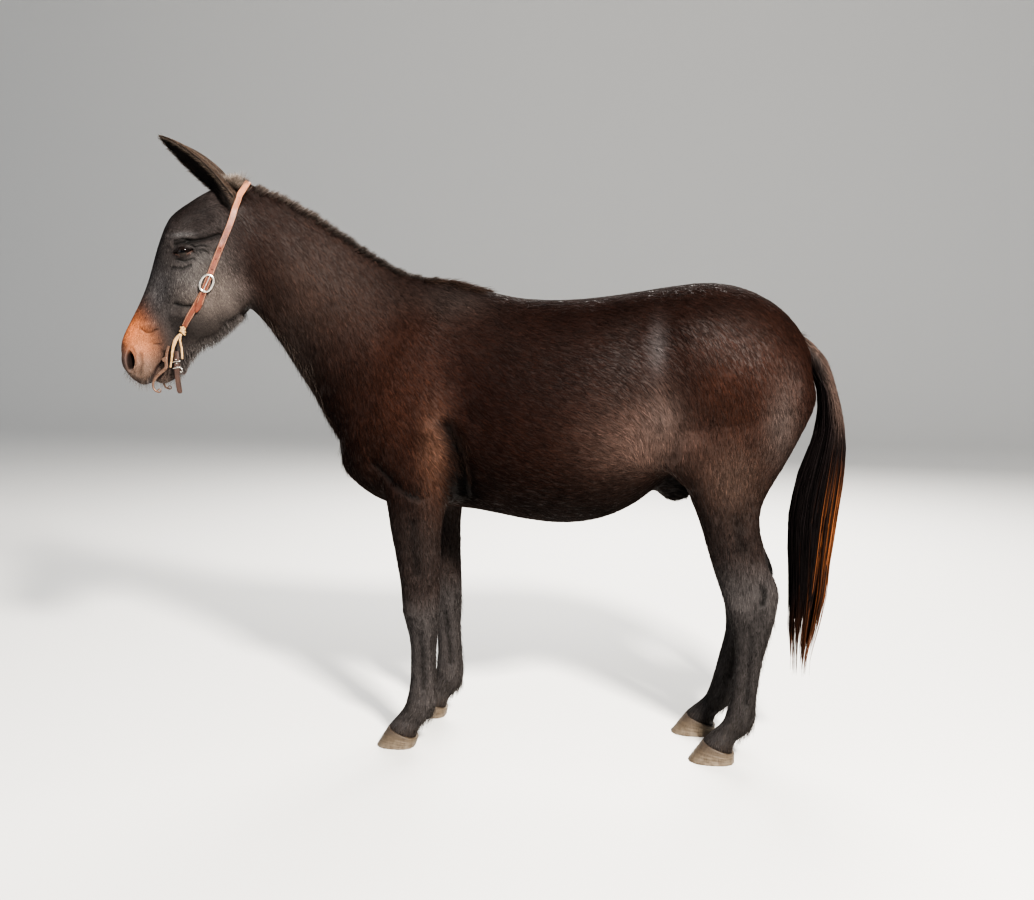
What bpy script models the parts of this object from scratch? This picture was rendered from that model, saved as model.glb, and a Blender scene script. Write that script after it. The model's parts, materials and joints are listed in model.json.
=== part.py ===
# A standing mule in a plain leather headstall, at life size, divided into its named parts.
# Metres, Z up. The mule faces -X and its left side faces -Y. Every outline is given for a mule
# with a straight neck, and posed() then turns the neck a little toward the left.

import math
import random

import bmesh
import bpy
import numpy as np
from mathutils import Matrix, Vector
from mathutils.bvhtree import BVHTree

# Driving sizes
GAP = 0.0003  # clearance between touching pieces
VOXEL = 0.0055  # grain of the modelled flesh before it is thinned out
SIDES = {"left": -1, "right": 1}
NECK_TURN = math.radians(-11)  # whole turn of the head toward the left
NECK_BASE = -0.50  # x where the neck starts to turn
NECK_REACH = 0.60  # length over which it turns

# Sections of the flesh: upper or front point (x, z), lower or back point (x, z), half width,
# place of the widest line from back to front, power of the front half, power of the back half,
# and, on a leg, the distance of its centre from the middle of the body.
TORSO = (
    (-0.752, 1.00, -0.752, 0.86, 0.050, 0.50, 2.0, 2.0, 0),
    (-0.725, 1.10, -0.725, 0.825, 0.115, 0.45, 2.0, 2.2, 0),
    (-0.665, 1.22, -0.665, 0.775, 0.165, 0.45, 2.0, 2.2, 0),
    (-0.590, 1.32, -0.590, 0.740, 0.190, 0.45, 2.0, 2.2, 0),
    (-0.500, 1.410, -0.500, 0.728, 0.203, 0.42, 1.8, 2.2, 0),
    (-0.400, 1.440, -0.400, 0.735, 0.210, 0.42, 1.6, 2.2, 0),
    (-0.300, 1.415, -0.300, 0.728, 0.225, 0.42, 1.7, 2.2, 0),
    (-0.180, 1.388, -0.180, 0.708, 0.252, 0.42, 1.9, 2.2, 0),
    (-0.050, 1.383, -0.050, 0.697, 0.268, 0.43, 2.0, 2.2, 0),
    (0.070, 1.392, 0.070, 0.714, 0.268, 0.44, 2.1, 2.2, 0),
    (0.180, 1.408, 0.180, 0.765, 0.255, 0.45, 2.1, 2.1, 0),
    (0.280, 1.424, 0.280, 0.850, 0.240, 0.48, 2.1, 2.0, 0),
    (0.380, 1.434, 0.380, 0.880, 0.240, 0.48, 2.0, 2.0, 0),
    (0.480, 1.420, 0.480, 0.880, 0.235, 0.46, 2.0, 2.0, 0),
    (0.570, 1.378, 0.570, 0.900, 0.215, 0.45, 2.0, 2.0, 0),
    (0.640, 1.315, 0.640, 0.950, 0.170, 0.45, 2.0, 2.0, 0),
    (0.688, 1.235, 0.688, 1.020, 0.095, 0.50, 2.0, 2.0, 0),
)
NECK = (
    (-1.110, 1.700, -1.060, 1.380, 0.066, 0.42, 1.8, 2.2, 0),
    (-1.030, 1.714, -1.030, 1.345, 0.072, 0.42, 1.7, 2.2, 0),
    (-0.950, 1.688, -1.000, 1.315, 0.076, 0.42, 1.6, 2.2, 0),
    (-0.850, 1.640, -0.950, 1.250, 0.082, 0.42, 1.6, 2.2, 0),
    (-0.740, 1.565, -0.890, 1.155, 0.095, 0.42, 1.6, 2.2, 0),
    (-0.640, 1.498, -0.838, 1.075, 0.115, 0.42, 1.6, 2.2, 0),
    (-0.550, 1.456, -0.795, 0.995, 0.140, 0.42, 1.6, 2.2, 0),
    (-0.460, 1.446, -0.745, 0.930, 0.165, 0.42, 1.6, 2.2, 0),
    (-0.380, 1.440, -0.660, 0.880, 0.180, 0.45, 1.7, 2.2, 0),
)
SKULL = (
    (-1.000, 1.690, -0.975, 1.470, 0.040, 0.50, 2.0, 2.0, 0),
    (-1.040, 1.722, -1.005, 1.395, 0.066, 0.45, 2.0, 2.0, 0),
    (-1.090, 1.735, -1.045, 1.350, 0.078, 0.45, 2.3, 2.2, 0),
    (-1.150, 1.716, -1.085, 1.312, 0.087, 0.48, 2.6, 2.4, 0),
    (-1.215, 1.677, -1.125, 1.276, 0.094, 0.55, 2.8, 2.5, 0),
    (-1.270, 1.634, -1.165, 1.249, 0.097, 0.62, 2.8, 2.3, 0),
    (-1.302, 1.572, -1.200, 1.236, 0.088, 0.62, 2.6, 2.2, 0),
    (-1.325, 1.510, -1.225, 1.220, 0.072, 0.60, 2.5, 2.1, 0),
    (-1.345, 1.450, -1.247, 1.190, 0.060, 0.56, 2.5, 2.1, 0),
    (-1.372, 1.385, -1.268, 1.160, 0.053, 0.52, 2.5, 2.1, 0),
    (-1.402, 1.328, -1.288, 1.150, 0.052, 0.50, 2.4, 2.1, 0),
    (-1.430, 1.275, -1.312, 1.145, 0.056, 0.48, 2.3, 2.1, 0),
    (-1.442, 1.235, -1.335, 1.132, 0.058, 0.46, 2.2, 2.2, 0),
    (-1.437, 1.190, -1.360, 1.116, 0.050, 0.50, 2.1, 2.2, 0),
    (-1.424, 1.152, -1.382, 1.113, 0.034, 0.50, 2.0, 2.0, 0),
)
JAW = (
    (-1.200, 1.320, -1.150, 1.262, 0.044, 0.50, 2.0, 2.0, 0),
    (-1.262, 1.250, -1.205, 1.226, 0.040, 0.50, 2.0, 2.0, 0),
    (-1.300, 1.200, -1.242, 1.180, 0.036, 0.50, 2.0, 2.0, 0),
    (-1.325, 1.160, -1.272, 1.138, 0.037, 0.50, 2.0, 2.0, 0),
    (-1.338, 1.136, -1.296, 1.122, 0.034, 0.50, 2.0, 2.0, 0),
    (-1.336, 1.124, -1.312, 1.116, 0.022, 0.50, 2.0, 2.0, 0),
)
FORELEG = (
    (-0.620, 1.060, -0.400, 1.060, 0.070, 0.50, 2.0, 2.0, 0.128),
    (-0.612, 0.950, -0.376, 0.940, 0.074, 0.50, 2.0, 2.0, 0.132),
    (-0.598, 0.860, -0.370, 0.850, 0.071, 0.50, 2.0, 2.0, 0.136),
    (-0.580, 0.775, -0.383, 0.765, 0.065, 0.52, 2.0, 2.0, 0.140),
    (-0.566, 0.690, -0.399, 0.690, 0.058, 0.55, 2.0, 2.0, 0.143),
    (-0.546, 0.600, -0.405, 0.600, 0.050, 0.55, 2.0, 2.0, 0.145),
    (-0.532, 0.520, -0.408, 0.520, 0.044, 0.55, 2.2, 2.0, 0.146),
    (-0.525, 0.455, -0.411, 0.450, 0.045, 0.60, 2.6, 2.0, 0.146),
    (-0.518, 0.410, -0.413, 0.405, 0.044, 0.60, 2.6, 2.0, 0.146),
    (-0.507, 0.360, -0.417, 0.355, 0.037, 0.60, 2.4, 2.0, 0.146),
    (-0.502, 0.300, -0.421, 0.295, 0.030, 0.58, 2.2, 2.0, 0.146),
    (-0.504, 0.220, -0.421, 0.210, 0.030, 0.56, 2.2, 2.0, 0.146),
    (-0.512, 0.165, -0.420, 0.150, 0.035, 0.54, 2.2, 2.0, 0.146),
    (-0.525, 0.125, -0.433, 0.104, 0.035, 0.52, 2.2, 2.0, 0.146),
    (-0.549, 0.094, -0.464, 0.074, 0.032, 0.52, 2.1, 2.0, 0.146),
    (-0.572, 0.068, -0.484, 0.046, 0.042, 0.52, 2.0, 2.1, 0.146),
    (-0.585, 0.030, -0.486, -0.020, 0.043, 0.52, 2.0, 2.1, 0.146),
)
HINDLEG = (
    (0.250, 1.200, 0.672, 1.220, 0.085, 0.50, 2.0, 2.4, 0.100),
    (0.255, 1.080, 0.704, 1.110, 0.098, 0.50, 2.0, 2.6, 0.112),
    (0.272, 0.980, 0.674, 1.020, 0.096, 0.52, 2.0, 2.4, 0.120),
    (0.300, 0.895, 0.622, 0.910, 0.084, 0.52, 2.0, 2.2, 0.125),
    (0.335, 0.815, 0.572, 0.820, 0.070, 0.52, 2.0, 2.0, 0.126),
    (0.364, 0.745, 0.552, 0.755, 0.060, 0.50, 2.0, 2.0, 0.125),
    (0.390, 0.665, 0.558, 0.680, 0.050, 0.50, 2.0, 2.0, 0.123),
    (0.417, 0.585, 0.574, 0.610, 0.041, 0.55, 2.2, 1.6, 0.121),
    (0.438, 0.525, 0.608, 0.545, 0.037, 0.60, 2.4, 1.5, 0.120),
    (0.455, 0.475, 0.609, 0.485, 0.041, 0.60, 2.6, 1.7, 0.120),
    (0.471, 0.415, 0.594, 0.410, 0.038, 0.58, 2.4, 2.0, 0.120),
    (0.484, 0.350, 0.573, 0.335, 0.032, 0.56, 2.2, 2.0, 0.120),
    (0.480, 0.280, 0.560, 0.260, 0.029, 0.56, 2.2, 2.0, 0.120),
    (0.474, 0.210, 0.552, 0.190, 0.031, 0.54, 2.2, 2.0, 0.120),
    (0.464, 0.155, 0.552, 0.140, 0.036, 0.54, 2.2, 2.0, 0.120),
    (0.451, 0.121, 0.536, 0.100, 0.036, 0.52, 2.2, 2.0, 0.120),
    (0.424, 0.094, 0.506, 0.076, 0.033, 0.52, 2.1, 2.0, 0.120),
    (0.398, 0.069, 0.486, 0.047, 0.042, 0.52, 2.0, 2.1, 0.120),
    (0.386, 0.030, 0.490, -0.020, 0.043, 0.52, 2.0, 2.1, 0.120),
)
# How far each leg stands forward or back of the near one, by height: (z, shift in x)
STANCE = {
    ("front", "left"): ((0.0, 0.0), (1.0, 0.0)),
    ("front", "right"): ((0.0, 0.032), (0.2, 0.020), (0.6, 0.0)),
    ("hind", "left"): ((0.0, 0.0), (1.0, 0.0)),
    ("hind", "right"): ((0.0, -0.062), (0.2, -0.050), (0.4, -0.020), (0.6, 0.0)),
}
# Plain masses under the skin, mirrored on both sides: centre, half sizes
MASSES = (
    ((-0.625, 0.080, 0.905), (0.100, 0.085, 0.115)),  # breast
    ((-0.545, 0.098, 1.090), (0.110, 0.088, 0.210)),  # shoulder
    ((-0.465, 0.122, 0.975), (0.095, 0.078, 0.130)),  # long muscle above the elbow
    ((0.340, 0.112, 1.250), (0.150, 0.108, 0.130)),  # haunch
    ((0.560, 0.095, 1.140), (0.125, 0.095, 0.160)),  # buttock
    ((0.350, 0.135, 0.965), (0.095, 0.082, 0.130)),  # stifle
    ((-1.118, 0.048, 1.405), (0.092, 0.036, 0.095)),  # jowl
    ((-1.216, 0.056, 1.528), (0.062, 0.044, 0.050)),  # eye socket
    ((-1.410, 0.030, 1.195), (0.026, 0.028, 0.042)),  # nostril
)
SHEATH = ((0.275, 0.0, 0.845), (0.062, 0.034, 0.072))

# Modelling of the surface, seen from the side: path of (x, z), radius, height, and which legs
# the path moves with. Each form is made on both sides, and a minus height is a hollow.
BODY_FORMS = (
    (((-0.545, 1.350), (-0.585, 1.240), (-0.650, 1.090)), 0.100, -0.009),  # before the shoulder
    (((-0.430, 1.350), (-0.520, 1.220), (-0.600, 1.060)), 0.080, 0.004),  # shoulder blade
    (((-0.345, 1.130), (-0.338, 1.020), (-0.335, 0.880)), 0.100, -0.013),  # behind the elbow
    (((-0.450, 0.985), (-0.425, 0.900)), 0.095, 0.010),  # elbow
    (((-0.620, 0.890), (-0.540, 0.835), (-0.440, 0.795)), 0.034, -0.005),  # breast fold
    (((0.200, 1.280), (0.225, 1.180), (0.250, 1.080)), 0.130, -0.012),  # flank
    (((0.275, 1.320), (0.310, 1.290)), 0.100, 0.006),  # point of the hip
    (((0.300, 1.020), (0.288, 0.930), (0.270, 0.885)), 0.055, 0.007),  # fold of the flank
    (((0.612, 1.060), (0.570, 0.900), (0.505, 0.740)), 0.045, -0.006),  # back of the thigh
    (((0.500, 1.180), (0.560, 1.020)), 0.110, 0.005),  # thigh
    (((-0.960, 1.560), (-0.800, 1.400), (-0.680, 1.250)), 0.100, 0.003),  # neck muscle
    (((-1.000, 1.430), (-0.900, 1.280), (-0.810, 1.130)), 0.060, -0.005),  # groove of the neck
)
HEAD_FORMS = (
    (((-1.192, 1.468), (-1.252, 1.410), (-1.300, 1.360)), 0.030, 0.0050),  # crest of the face
    (((-1.256, 1.548), (-1.224, 1.562), (-1.190, 1.560)), 0.018, 0.0040),  # brow
    (((-1.172, 1.530), (-1.118, 1.546)), 0.024, 0.0045),  # arch behind the eye
    (((-1.165, 1.588), (-1.110, 1.602)), 0.022, 0.0030),  # edge of the forehead
    (((-1.208, 1.556), (-1.162, 1.562), (-1.107, 1.576)), 0.014, -0.0040),  # crease of the temple
    (((-1.195, 1.622), (-1.160, 1.632)), 0.045, -0.0070),  # hollow above the eye
    (((-1.275, 1.472), (-1.318, 1.412)), 0.042, -0.0045),  # side of the nose
    (((-1.250, 1.366), (-1.205, 1.361), (-1.175, 1.362)), 0.015, -0.0040),  # cheek crease
    (((-1.262, 1.330), (-1.222, 1.332)), 0.026, 0.0045),  # fullness under the crease
    (((-1.150, 1.330), (-1.105, 1.340)), 0.050, 0.0040),  # rim of the jaw
    (((-1.270, 1.285), (-1.255, 1.240)), 0.036, -0.0060),  # before the jowl
    (((-1.412, 1.240), (-1.421, 1.200), (-1.410, 1.158)), 0.018, 0.0030),  # wing of the nostril
    (((-1.380, 1.226), (-1.376, 1.178)), 0.020, 0.0030),  # rear rim of the nostril
    (((-1.366, 1.288), (-1.343, 1.276), (-1.318, 1.288)), 0.012, -0.0030),  # fold of the nose
    (((-1.352, 1.298), (-1.332, 1.298)), 0.020, 0.0030),  # fullness over the fold
    (((-1.327, 1.243), (-1.308, 1.242)), 0.010, -0.0015),  # second fold
    (((-1.325, 1.205), (-1.345, 1.165), (-1.365, 1.135)), 0.022, 0.0030),  # upper lip
    (((-1.300, 1.165), (-1.318, 1.135)), 0.022, 0.0025),  # lower lip
)
LEG_FORMS = {
    "front": (
        (((-0.520, 0.445), (-0.490, 0.425)), 0.040, 0.004),  # knee
        (((-0.462, 0.365), (-0.456, 0.190)), 0.016, -0.005),  # before the tendon
        (((-0.420, 0.470), (-0.418, 0.430)), 0.024, 0.004),  # bone behind the knee
        (((-0.480, 0.720), (-0.470, 0.560)), 0.030, -0.004),  # between the forearm muscles
        (((-0.460, 0.130), (-0.450, 0.150)), 0.022, 0.003),  # fetlock
    ),
    "hind": (
        (((0.568, 0.610), (0.564, 0.570), (0.560, 0.545)), 0.026, -0.007),  # hollow of the hock
        (((0.536, 0.400), (0.522, 0.190)), 0.016, -0.005),  # before the tendon
        (((0.490, 0.480), (0.515, 0.440)), 0.040, 0.004),  # hock
        (((0.480, 0.760), (0.500, 0.660)), 0.030, -0.004),  # between the gaskin muscles
        (((0.510, 0.130), (0.515, 0.150)), 0.022, 0.003),  # fetlock
    ),
}

# Hooves, as places from a leg's own centre: toe and heel at the ground, then at the coronet
HOOVES = {
    "front": ((-0.615, 0.000, -0.492, 0.000), (-0.576, 0.062, -0.482, 0.026)),
    "hind": ((0.352, 0.000, 0.490, 0.000), (0.395, 0.062, 0.490, 0.026)),
}
HOOF_HALF = (0.051, 0.046)  # half widths at the ground and at the coronet
HOOF_SIDES = 24

# Head
EYE_CENTRE = (-1.219, 0.0775, 1.526)
EYE_RADIUS = 0.0270
LID = 0.0032  # thickness of a lid over the eyeball
LID_REACH = 0.041  # how far round the eye the skin follows the ball
EYE_SLIT = (0.0255, 0.0098, 0.0102)  # half length, height above the line, depth below it
EYE_TILT = math.radians(9)
MOUTH = ((-1.303, 1.197), (-1.322, 1.173), (-1.337, 1.148), (-1.358, 1.120), (-1.372, 1.090))
MOUTH_OPEN = 0.0025
NOSTRIL = ((-1.401, 0.054, 1.192), (0.0095, 0.020, 0.028))
EAR_BASE = (-1.068, 0.045, 1.665)
EAR_TIP = (-1.283, 0.078, 1.872)
EAR_OPENS = (-0.50, 0.55, -0.60)  # way that the cup of the right ear faces
EAR_RIM = 0.004  # thickness of the ear's edge
EAR_CURVE = 0.010  # how far the middle of the ear bows back
# Along an ear: place, half width, depth of its back, height of its front (minus is hollow)
EAR_SHAPE = (
    (0.00, 0.032, 0.027, 0.032),
    (0.12, 0.034, 0.030, 0.028),
    (0.24, 0.037, 0.031, 0.010),
    (0.36, 0.043, 0.032, -0.014),
    (0.50, 0.045, 0.030, -0.024),
    (0.64, 0.041, 0.026, -0.021),
    (0.78, 0.031, 0.020, -0.015),
    (0.90, 0.018, 0.012, -0.008),
    (0.97, 0.008, 0.006, -0.003),
    (1.00, 0.003, 0.003, 0.000),
)

# Tail: back edge, front edge, half width, then the shape of the section as for the flesh
TAIL = (
    (0.694, 1.262, 0.660, 1.205, 0.024, 0.50, 2.0, 2.0, 0),
    (0.733, 1.205, 0.692, 1.160, 0.030, 0.50, 2.0, 2.0, 0),
    (0.766, 1.120, 0.713, 1.085, 0.035, 0.50, 2.0, 2.0, 0),
    (0.789, 1.040, 0.716, 1.010, 0.040, 0.50, 2.0, 2.0, 0),
    (0.797, 0.960, 0.690, 0.930, 0.046, 0.50, 2.0, 2.0, 0),
    (0.794, 0.860, 0.655, 0.840, 0.051, 0.50, 2.0, 2.0, 0),
    (0.781, 0.740, 0.636, 0.730, 0.052, 0.50, 2.0, 2.0, 0),
    (0.770, 0.620, 0.635, 0.615, 0.049, 0.50, 2.0, 2.0, 0),
    (0.759, 0.500, 0.640, 0.500, 0.042, 0.50, 2.0, 2.0, 0),
    (0.742, 0.400, 0.656, 0.400, 0.030, 0.50, 2.0, 2.0, 0),
    (0.712, 0.300, 0.676, 0.300, 0.012, 0.50, 2.0, 2.0, 0),
)

TAIL_CORE = (1.00, 1.00, 0.95, 0.80, 0.62, 0.54, 0.50, 0.44, 0.34)  # share of each row, from the top
TAIL_LOCKS = 19

# Mane: crest line (x, z) with the hair's height over it
CREST = (
    (-1.060, 1.736, 0.020),
    (-0.990, 1.706, 0.022),
    (-0.930, 1.682, 0.022),
    (-0.856, 1.643, 0.022),
    (-0.791, 1.600, 0.021),
    (-0.725, 1.556, 0.019),
    (-0.624, 1.490, 0.018),
    (-0.542, 1.450, 0.015),
    (-0.470, 1.438, 0.010),
)

MANE_HALF = 0.012
MANE_LOCKS = 18
MANE_SPAN = (-0.998, -0.462)  # x of the first and the last lock
MANE_SKIP = 0.030  # nearest that a lock comes to the cut of the neck

# Other long hair: root and tip at each end of a row, x, z, how many locks, half width and the
# spread across
POLL_HAIR = (((-1.136, 1.722), (-1.158, 1.748)), ((-1.068, 1.728), (-1.076, 1.766)), 4, 0.019, 0.009)
JAW_HAIR = (((-1.216, 1.252), (-1.200, 1.212)), ((-1.110, 1.318), (-1.086, 1.288)), 6, 0.021, 0.012)
FETLOCK_HAIR = {"front": ((-0.456, 0.128), (-0.427, 0.076)), "hind": ((0.512, 0.124), (0.531, 0.072))}
FETLOCK_LOCKS = 3
# Along a lock: share of its length, of its width and of its thickness
LONG_LOCK = ((0.0, 0.80, 1.0), (0.38, 1.0, 0.9), (0.74, 0.62, 0.6), (1.0, 0.07, 0.12))
SHORT_LOCK = ((0.0, 0.80, 1.0), (0.45, 1.0, 0.9), (0.82, 0.78, 0.6), (1.0, 0.28, 0.2))

# Thin cuts between the parts: point, normal, the lowest and highest corners of the box that the
# cut stays in, and whether there is one on each side
CUTS = (
    ((-1.000, 0, 1.540), (-0.99, 0, -0.13), (-1.20, -0.3, 1.25), (-0.85, 0.3, 1.85), False),
    ((-0.640, 0, 1.270), (-0.80, 0, 0.42), (-0.98, -0.4, 0.88), (-0.35, 0.4, 1.60), False),
    ((-0.490, 0, 0.715), (0, 0, -1), (-0.66, 0.01, 0.60), (-0.33, 0.3, 0.85), True),
    ((0.460, 0, 0.775), (0, 0, -1), (0.30, 0.01, 0.66), (0.66, 0.3, 0.88), True),
)
RIM_REACH = 0.004  # how far a rim's points can stray from their cut when the mesh is thinned
# Triangles that each part of the flesh is thinned to
BUDGET = {"torso": 1750, "neck": 700, "head": 2050, "leg_front": 440, "leg_hind": 500}
KEEP_STRENGTH = 0.02
HEAD_DETAIL = (
    (EYE_CENTRE, 0.050),
    (NOSTRIL[0], 0.050),
    ((-1.330, 0.045, 1.160), 0.055),
)

# Headstall. The routes are on the right side: x, y, z, lift over the skin, half width.
STRAP_HALF = 0.0095
STRAP_THICK = 0.0035
STRAP_LIFT = 0.0016
CROWN_LOW = 0.0062  # lift where the crown strap lies over the cheek strap
CROWN_ROUTE = (
    (-1.186, 0.09, 1.342, CROWN_LOW, 0.0020),
    (-1.182, 0.09, 1.351, CROWN_LOW, 0.0070),
    (-1.175, 0.09, 1.366, CROWN_LOW, STRAP_HALF),
    (-1.163, 0.09, 1.398, CROWN_LOW, STRAP_HALF),
    (-1.150, 0.09, 1.431, CROWN_LOW, STRAP_HALF),
    (-1.128, 0.09, 1.486, 0.0030, STRAP_HALF),
    (-1.100, 0.09, 1.554, STRAP_LIFT, STRAP_HALF),
    (-1.070, 0.09, 1.621, STRAP_LIFT, STRAP_HALF),
    (-1.049, 0.07, 1.686, STRAP_LIFT, STRAP_HALF),
    (-1.036, 0.04, 1.732, STRAP_LIFT, STRAP_HALF),
    (-1.032, 0.00, 1.745, STRAP_LIFT, STRAP_HALF),
)
CHEEK_ROUTE = (
    (-1.152, 0.09, 1.428, STRAP_LIFT, STRAP_HALF),
    (-1.166, 0.09, 1.399, STRAP_LIFT, STRAP_HALF),
    (-1.183, 0.09, 1.368, STRAP_LIFT, STRAP_HALF),
    (-1.208, 0.09, 1.328, STRAP_LIFT, STRAP_HALF),
    (-1.231, 0.08, 1.292, STRAP_LIFT, 0.0080),
)
BUCKLE_CENTRE = (-1.150, 0.09, 1.431)
BUCKLE_HALF = (0.0180, 0.0262)
BUCKLE_WIRE = 0.0028
KNOT_CENTRE = (-1.237, 0.08, 1.279)
KNOT_HALF = (0.0105, 0.0080, 0.0115)
STRAND_RADIUS = 0.0028
STRANDS = (
    ((-1.256, 0.073, 1.256), (-1.266, 0.073, 1.226), (-1.270, 0.072, 1.197), (-1.275, 0.071, 1.172)),
    ((-1.244, 0.073, 1.260), (-1.239, 0.073, 1.234), (-1.237, 0.073, 1.198)),
)
BIT_PLACE = (-1.297, 1.196)
BIT_RADIUS = 0.0065
SHANK_RADIUS = 0.0044
SHANK_OUT = 0.066
SHANK = (
    (-1.279, 1.238),
    (-1.285, 1.218),
    (-1.289, 1.195),
    (-1.290, 1.172),
    (-1.307, 1.156),
    (-1.321, 1.142),
    (-1.330, 1.127),
    (-1.331, 1.111),
    (-1.325, 1.100),
    (-1.314, 1.095),
)
# Strap under the chin, from one side to the other: y, z of its inner face, and the way out of it
CURB_X = -1.257
CURB = (
    (0.052, 1.222, 1.0, 0.0),
    (0.054, 1.190, 1.0, -0.2),
    (0.041, 1.160, 0.7, -0.7),
    (0.000, 1.147, 0.0, -1.0),
    (-0.041, 1.160, -0.7, -0.7),
    (-0.054, 1.190, -1.0, -0.2),
    (-0.052, 1.222, -1.0, 0.0),
)
CURB_HALF = 0.0078
CURB_THICK = 0.003
# Its hanging end on the left: x, y of its inner face, z and half width
CURB_END = (
    (-1.2580, -0.0550, 1.202, 0.0082),
    (-1.2575, -0.0600, 1.178, 0.0082),
    (-1.2570, -0.0605, 1.150, 0.0082),
    (-1.2520, -0.0605, 1.104, 0.0082),
    (-1.2500, -0.0605, 1.091, 0.0055),
)
CURB_END_THICK = 0.0048
LOOP_WIRE = 0.0015
LOOP_PLACE = (-1.2575, -0.0629, 1.171)
LOOP_HALF = (0.0116, 0.0049)

COLOURS = {
    "coat": (0.030, 0.017, 0.012),
    "dark": (0.020, 0.017, 0.016),
    "horn": (0.33, 0.26, 0.18),
    "eye": (0.012, 0.008, 0.006),
    "leather": (0.36, 0.11, 0.045),
    "rawhide": (0.70, 0.50, 0.25),
    "strap": (0.045, 0.022, 0.014),
    "metal": (0.62, 0.60, 0.56),
    "bronze": (0.42, 0.26, 0.19),
}
COLLECTION = "mule"


# Numbers


def refined(rows, steps):
    """Rows with steps - 1 more between each two, on a smooth curve through them."""
    rows = np.array(rows, float)
    padded = np.vstack([2 * rows[0] - rows[1], rows, 2 * rows[-1] - rows[-2]])
    found = []
    for k in range(1, len(padded) - 2):
        a, b, c, d = padded[k - 1 : k + 3]
        for j in range(steps):
            t = j / steps
            curve = 2 * b + (c - a) * t + (2 * a - 5 * b + 4 * c - d) * t**2
            found.append((curve + (3 * b - a - 3 * c + d) * t**3) / 2)
    found.append(rows[-1])
    return np.array(found)


def posed(points):
    """Points of the straight mule, moved to where the turned neck carries them."""
    points = np.array(points, float).reshape(-1, 3)
    steps = np.linspace(0, NECK_REACH, 61)
    part = steps / NECK_REACH
    turn = NECK_TURN * part * part * (3 - 2 * part)
    length = steps[1] - steps[0]
    middle = (turn[1:] + turn[:-1]) / 2
    line_x = np.concatenate([[0], np.cumsum(np.cos(middle)) * length])
    line_y = np.concatenate([[0], np.cumsum(np.sin(middle)) * length])
    along = np.maximum(NECK_BASE - points[:, 0], 0)
    beyond = np.maximum(along - NECK_REACH, 0)
    angle = np.interp(along, steps, turn)
    centre_x = np.interp(along, steps, line_x) + beyond * math.cos(NECK_TURN)
    centre_y = np.interp(along, steps, line_y) + beyond * math.sin(NECK_TURN)
    behind = points[:, 0] > NECK_BASE
    x = NECK_BASE - centre_x + points[:, 1] * np.sin(angle)
    y = centre_y + points[:, 1] * np.cos(angle)
    x = np.where(behind, points[:, 0], x)
    y = np.where(behind, points[:, 1], y)
    return np.column_stack([x, y, points[:, 2]])


def distance_to_path(points, path):
    """Distance of each point to a line of straight pieces, in as many dimensions as given."""
    best = np.full(len(points), np.inf)
    for start, end in zip(path, path[1:]):
        start, step = np.array(start), np.array(end) - np.array(start)
        part = np.clip((points - start) @ step / (step @ step), 0, 1)
        best = np.minimum(best, np.linalg.norm(points - start - part[:, None] * step, axis=1))
    return best


# Meshes


def mesh_object(name, bm, material="coat"):
    """An object in the mule's collection from a bmesh, which is freed."""
    mesh = bpy.data.meshes.new(name)
    bm.to_mesh(mesh)
    bm.free()
    mesh.materials.append(bpy.data.materials[material])
    obj = bpy.data.objects.new(name, mesh)
    bpy.data.collections[COLLECTION].objects.link(obj)
    return obj


def loft(name, rings, material="coat"):
    """A closed mesh through rings of equally many points, with flat ends."""
    bm = bmesh.new()
    loops = [[bm.verts.new(point) for point in ring] for ring in rings]
    for one, other in zip(loops, loops[1:]):
        for i in range(len(one)):
            j = (i + 1) % len(one)
            bm.faces.new((one[i], one[j], other[j], other[i]))
    bm.faces.new(loops[0][::-1])
    bm.faces.new(loops[-1])
    bmesh.ops.triangulate(bm, faces=bm.faces)
    bmesh.ops.recalc_face_normals(bm, faces=bm.faces)
    return mesh_object(name, bm, material)


def section(row, count):
    """The ring of one flesh section: two half super-ellipses on one widest line."""
    front_x, front_z, back_x, back_z, half, widest, front_power, back_power, y = row
    points = []
    for i in range(count):
        across, up = math.cos(math.tau * i / count), math.sin(math.tau * i / count)
        power = front_power if up >= 0 else back_power
        reach = 1 - widest if up >= 0 else widest
        t = widest + math.copysign(reach * abs(up) ** (2 / power), up)
        side = math.copysign(half * abs(across) ** (2 / power), across)
        x = back_x + (front_x - back_x) * t
        points.append((x, y + side, back_z + (front_z - back_z) * t))
    return points


def flesh(name, rows, steps=3, count=40):
    """A loft through refined sections."""
    return loft(name, [section(row, count) for row in refined(rows, steps)])


def ellipsoid(name, centre, half, segments=28):
    bm = bmesh.new()
    bmesh.ops.create_uvsphere(bm, u_segments=segments, v_segments=segments * 2 // 3, radius=1)
    bmesh.ops.scale(bm, vec=half, verts=bm.verts)
    bmesh.ops.translate(bm, vec=centre, verts=bm.verts)
    return mesh_object(name, bm)


def coordinates(obj):
    points = np.empty(len(obj.data.vertices) * 3)
    obj.data.vertices.foreach_get("co", points)
    return points.reshape(-1, 3)


def set_coordinates(obj, points):
    obj.data.vertices.foreach_set("co", points.ravel())
    obj.data.update()


def bend(obj):
    set_coordinates(obj, posed(coordinates(obj)))
    return obj


def join(pieces, name):
    """One object that holds the meshes of all the pieces, still as separate shells."""
    bm = bmesh.new()
    material = pieces[0].data.materials[0].name
    for piece in pieces:
        bm.from_mesh(piece.data)
        remove(piece)
    return mesh_object(name, bm, material)


def remove(obj):
    mesh = obj.data
    bpy.data.objects.remove(obj)
    bpy.data.meshes.remove(mesh)


def applied(obj):
    """Makes what the object's modifiers give its own mesh."""
    graph = bpy.context.evaluated_depsgraph_get()
    graph.update()
    mesh = bpy.data.meshes.new_from_object(obj.evaluated_get(graph))
    old, obj.data = obj.data, mesh
    obj.modifiers.clear()
    mesh.name = obj.name
    bpy.data.meshes.remove(old)
    return obj


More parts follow.
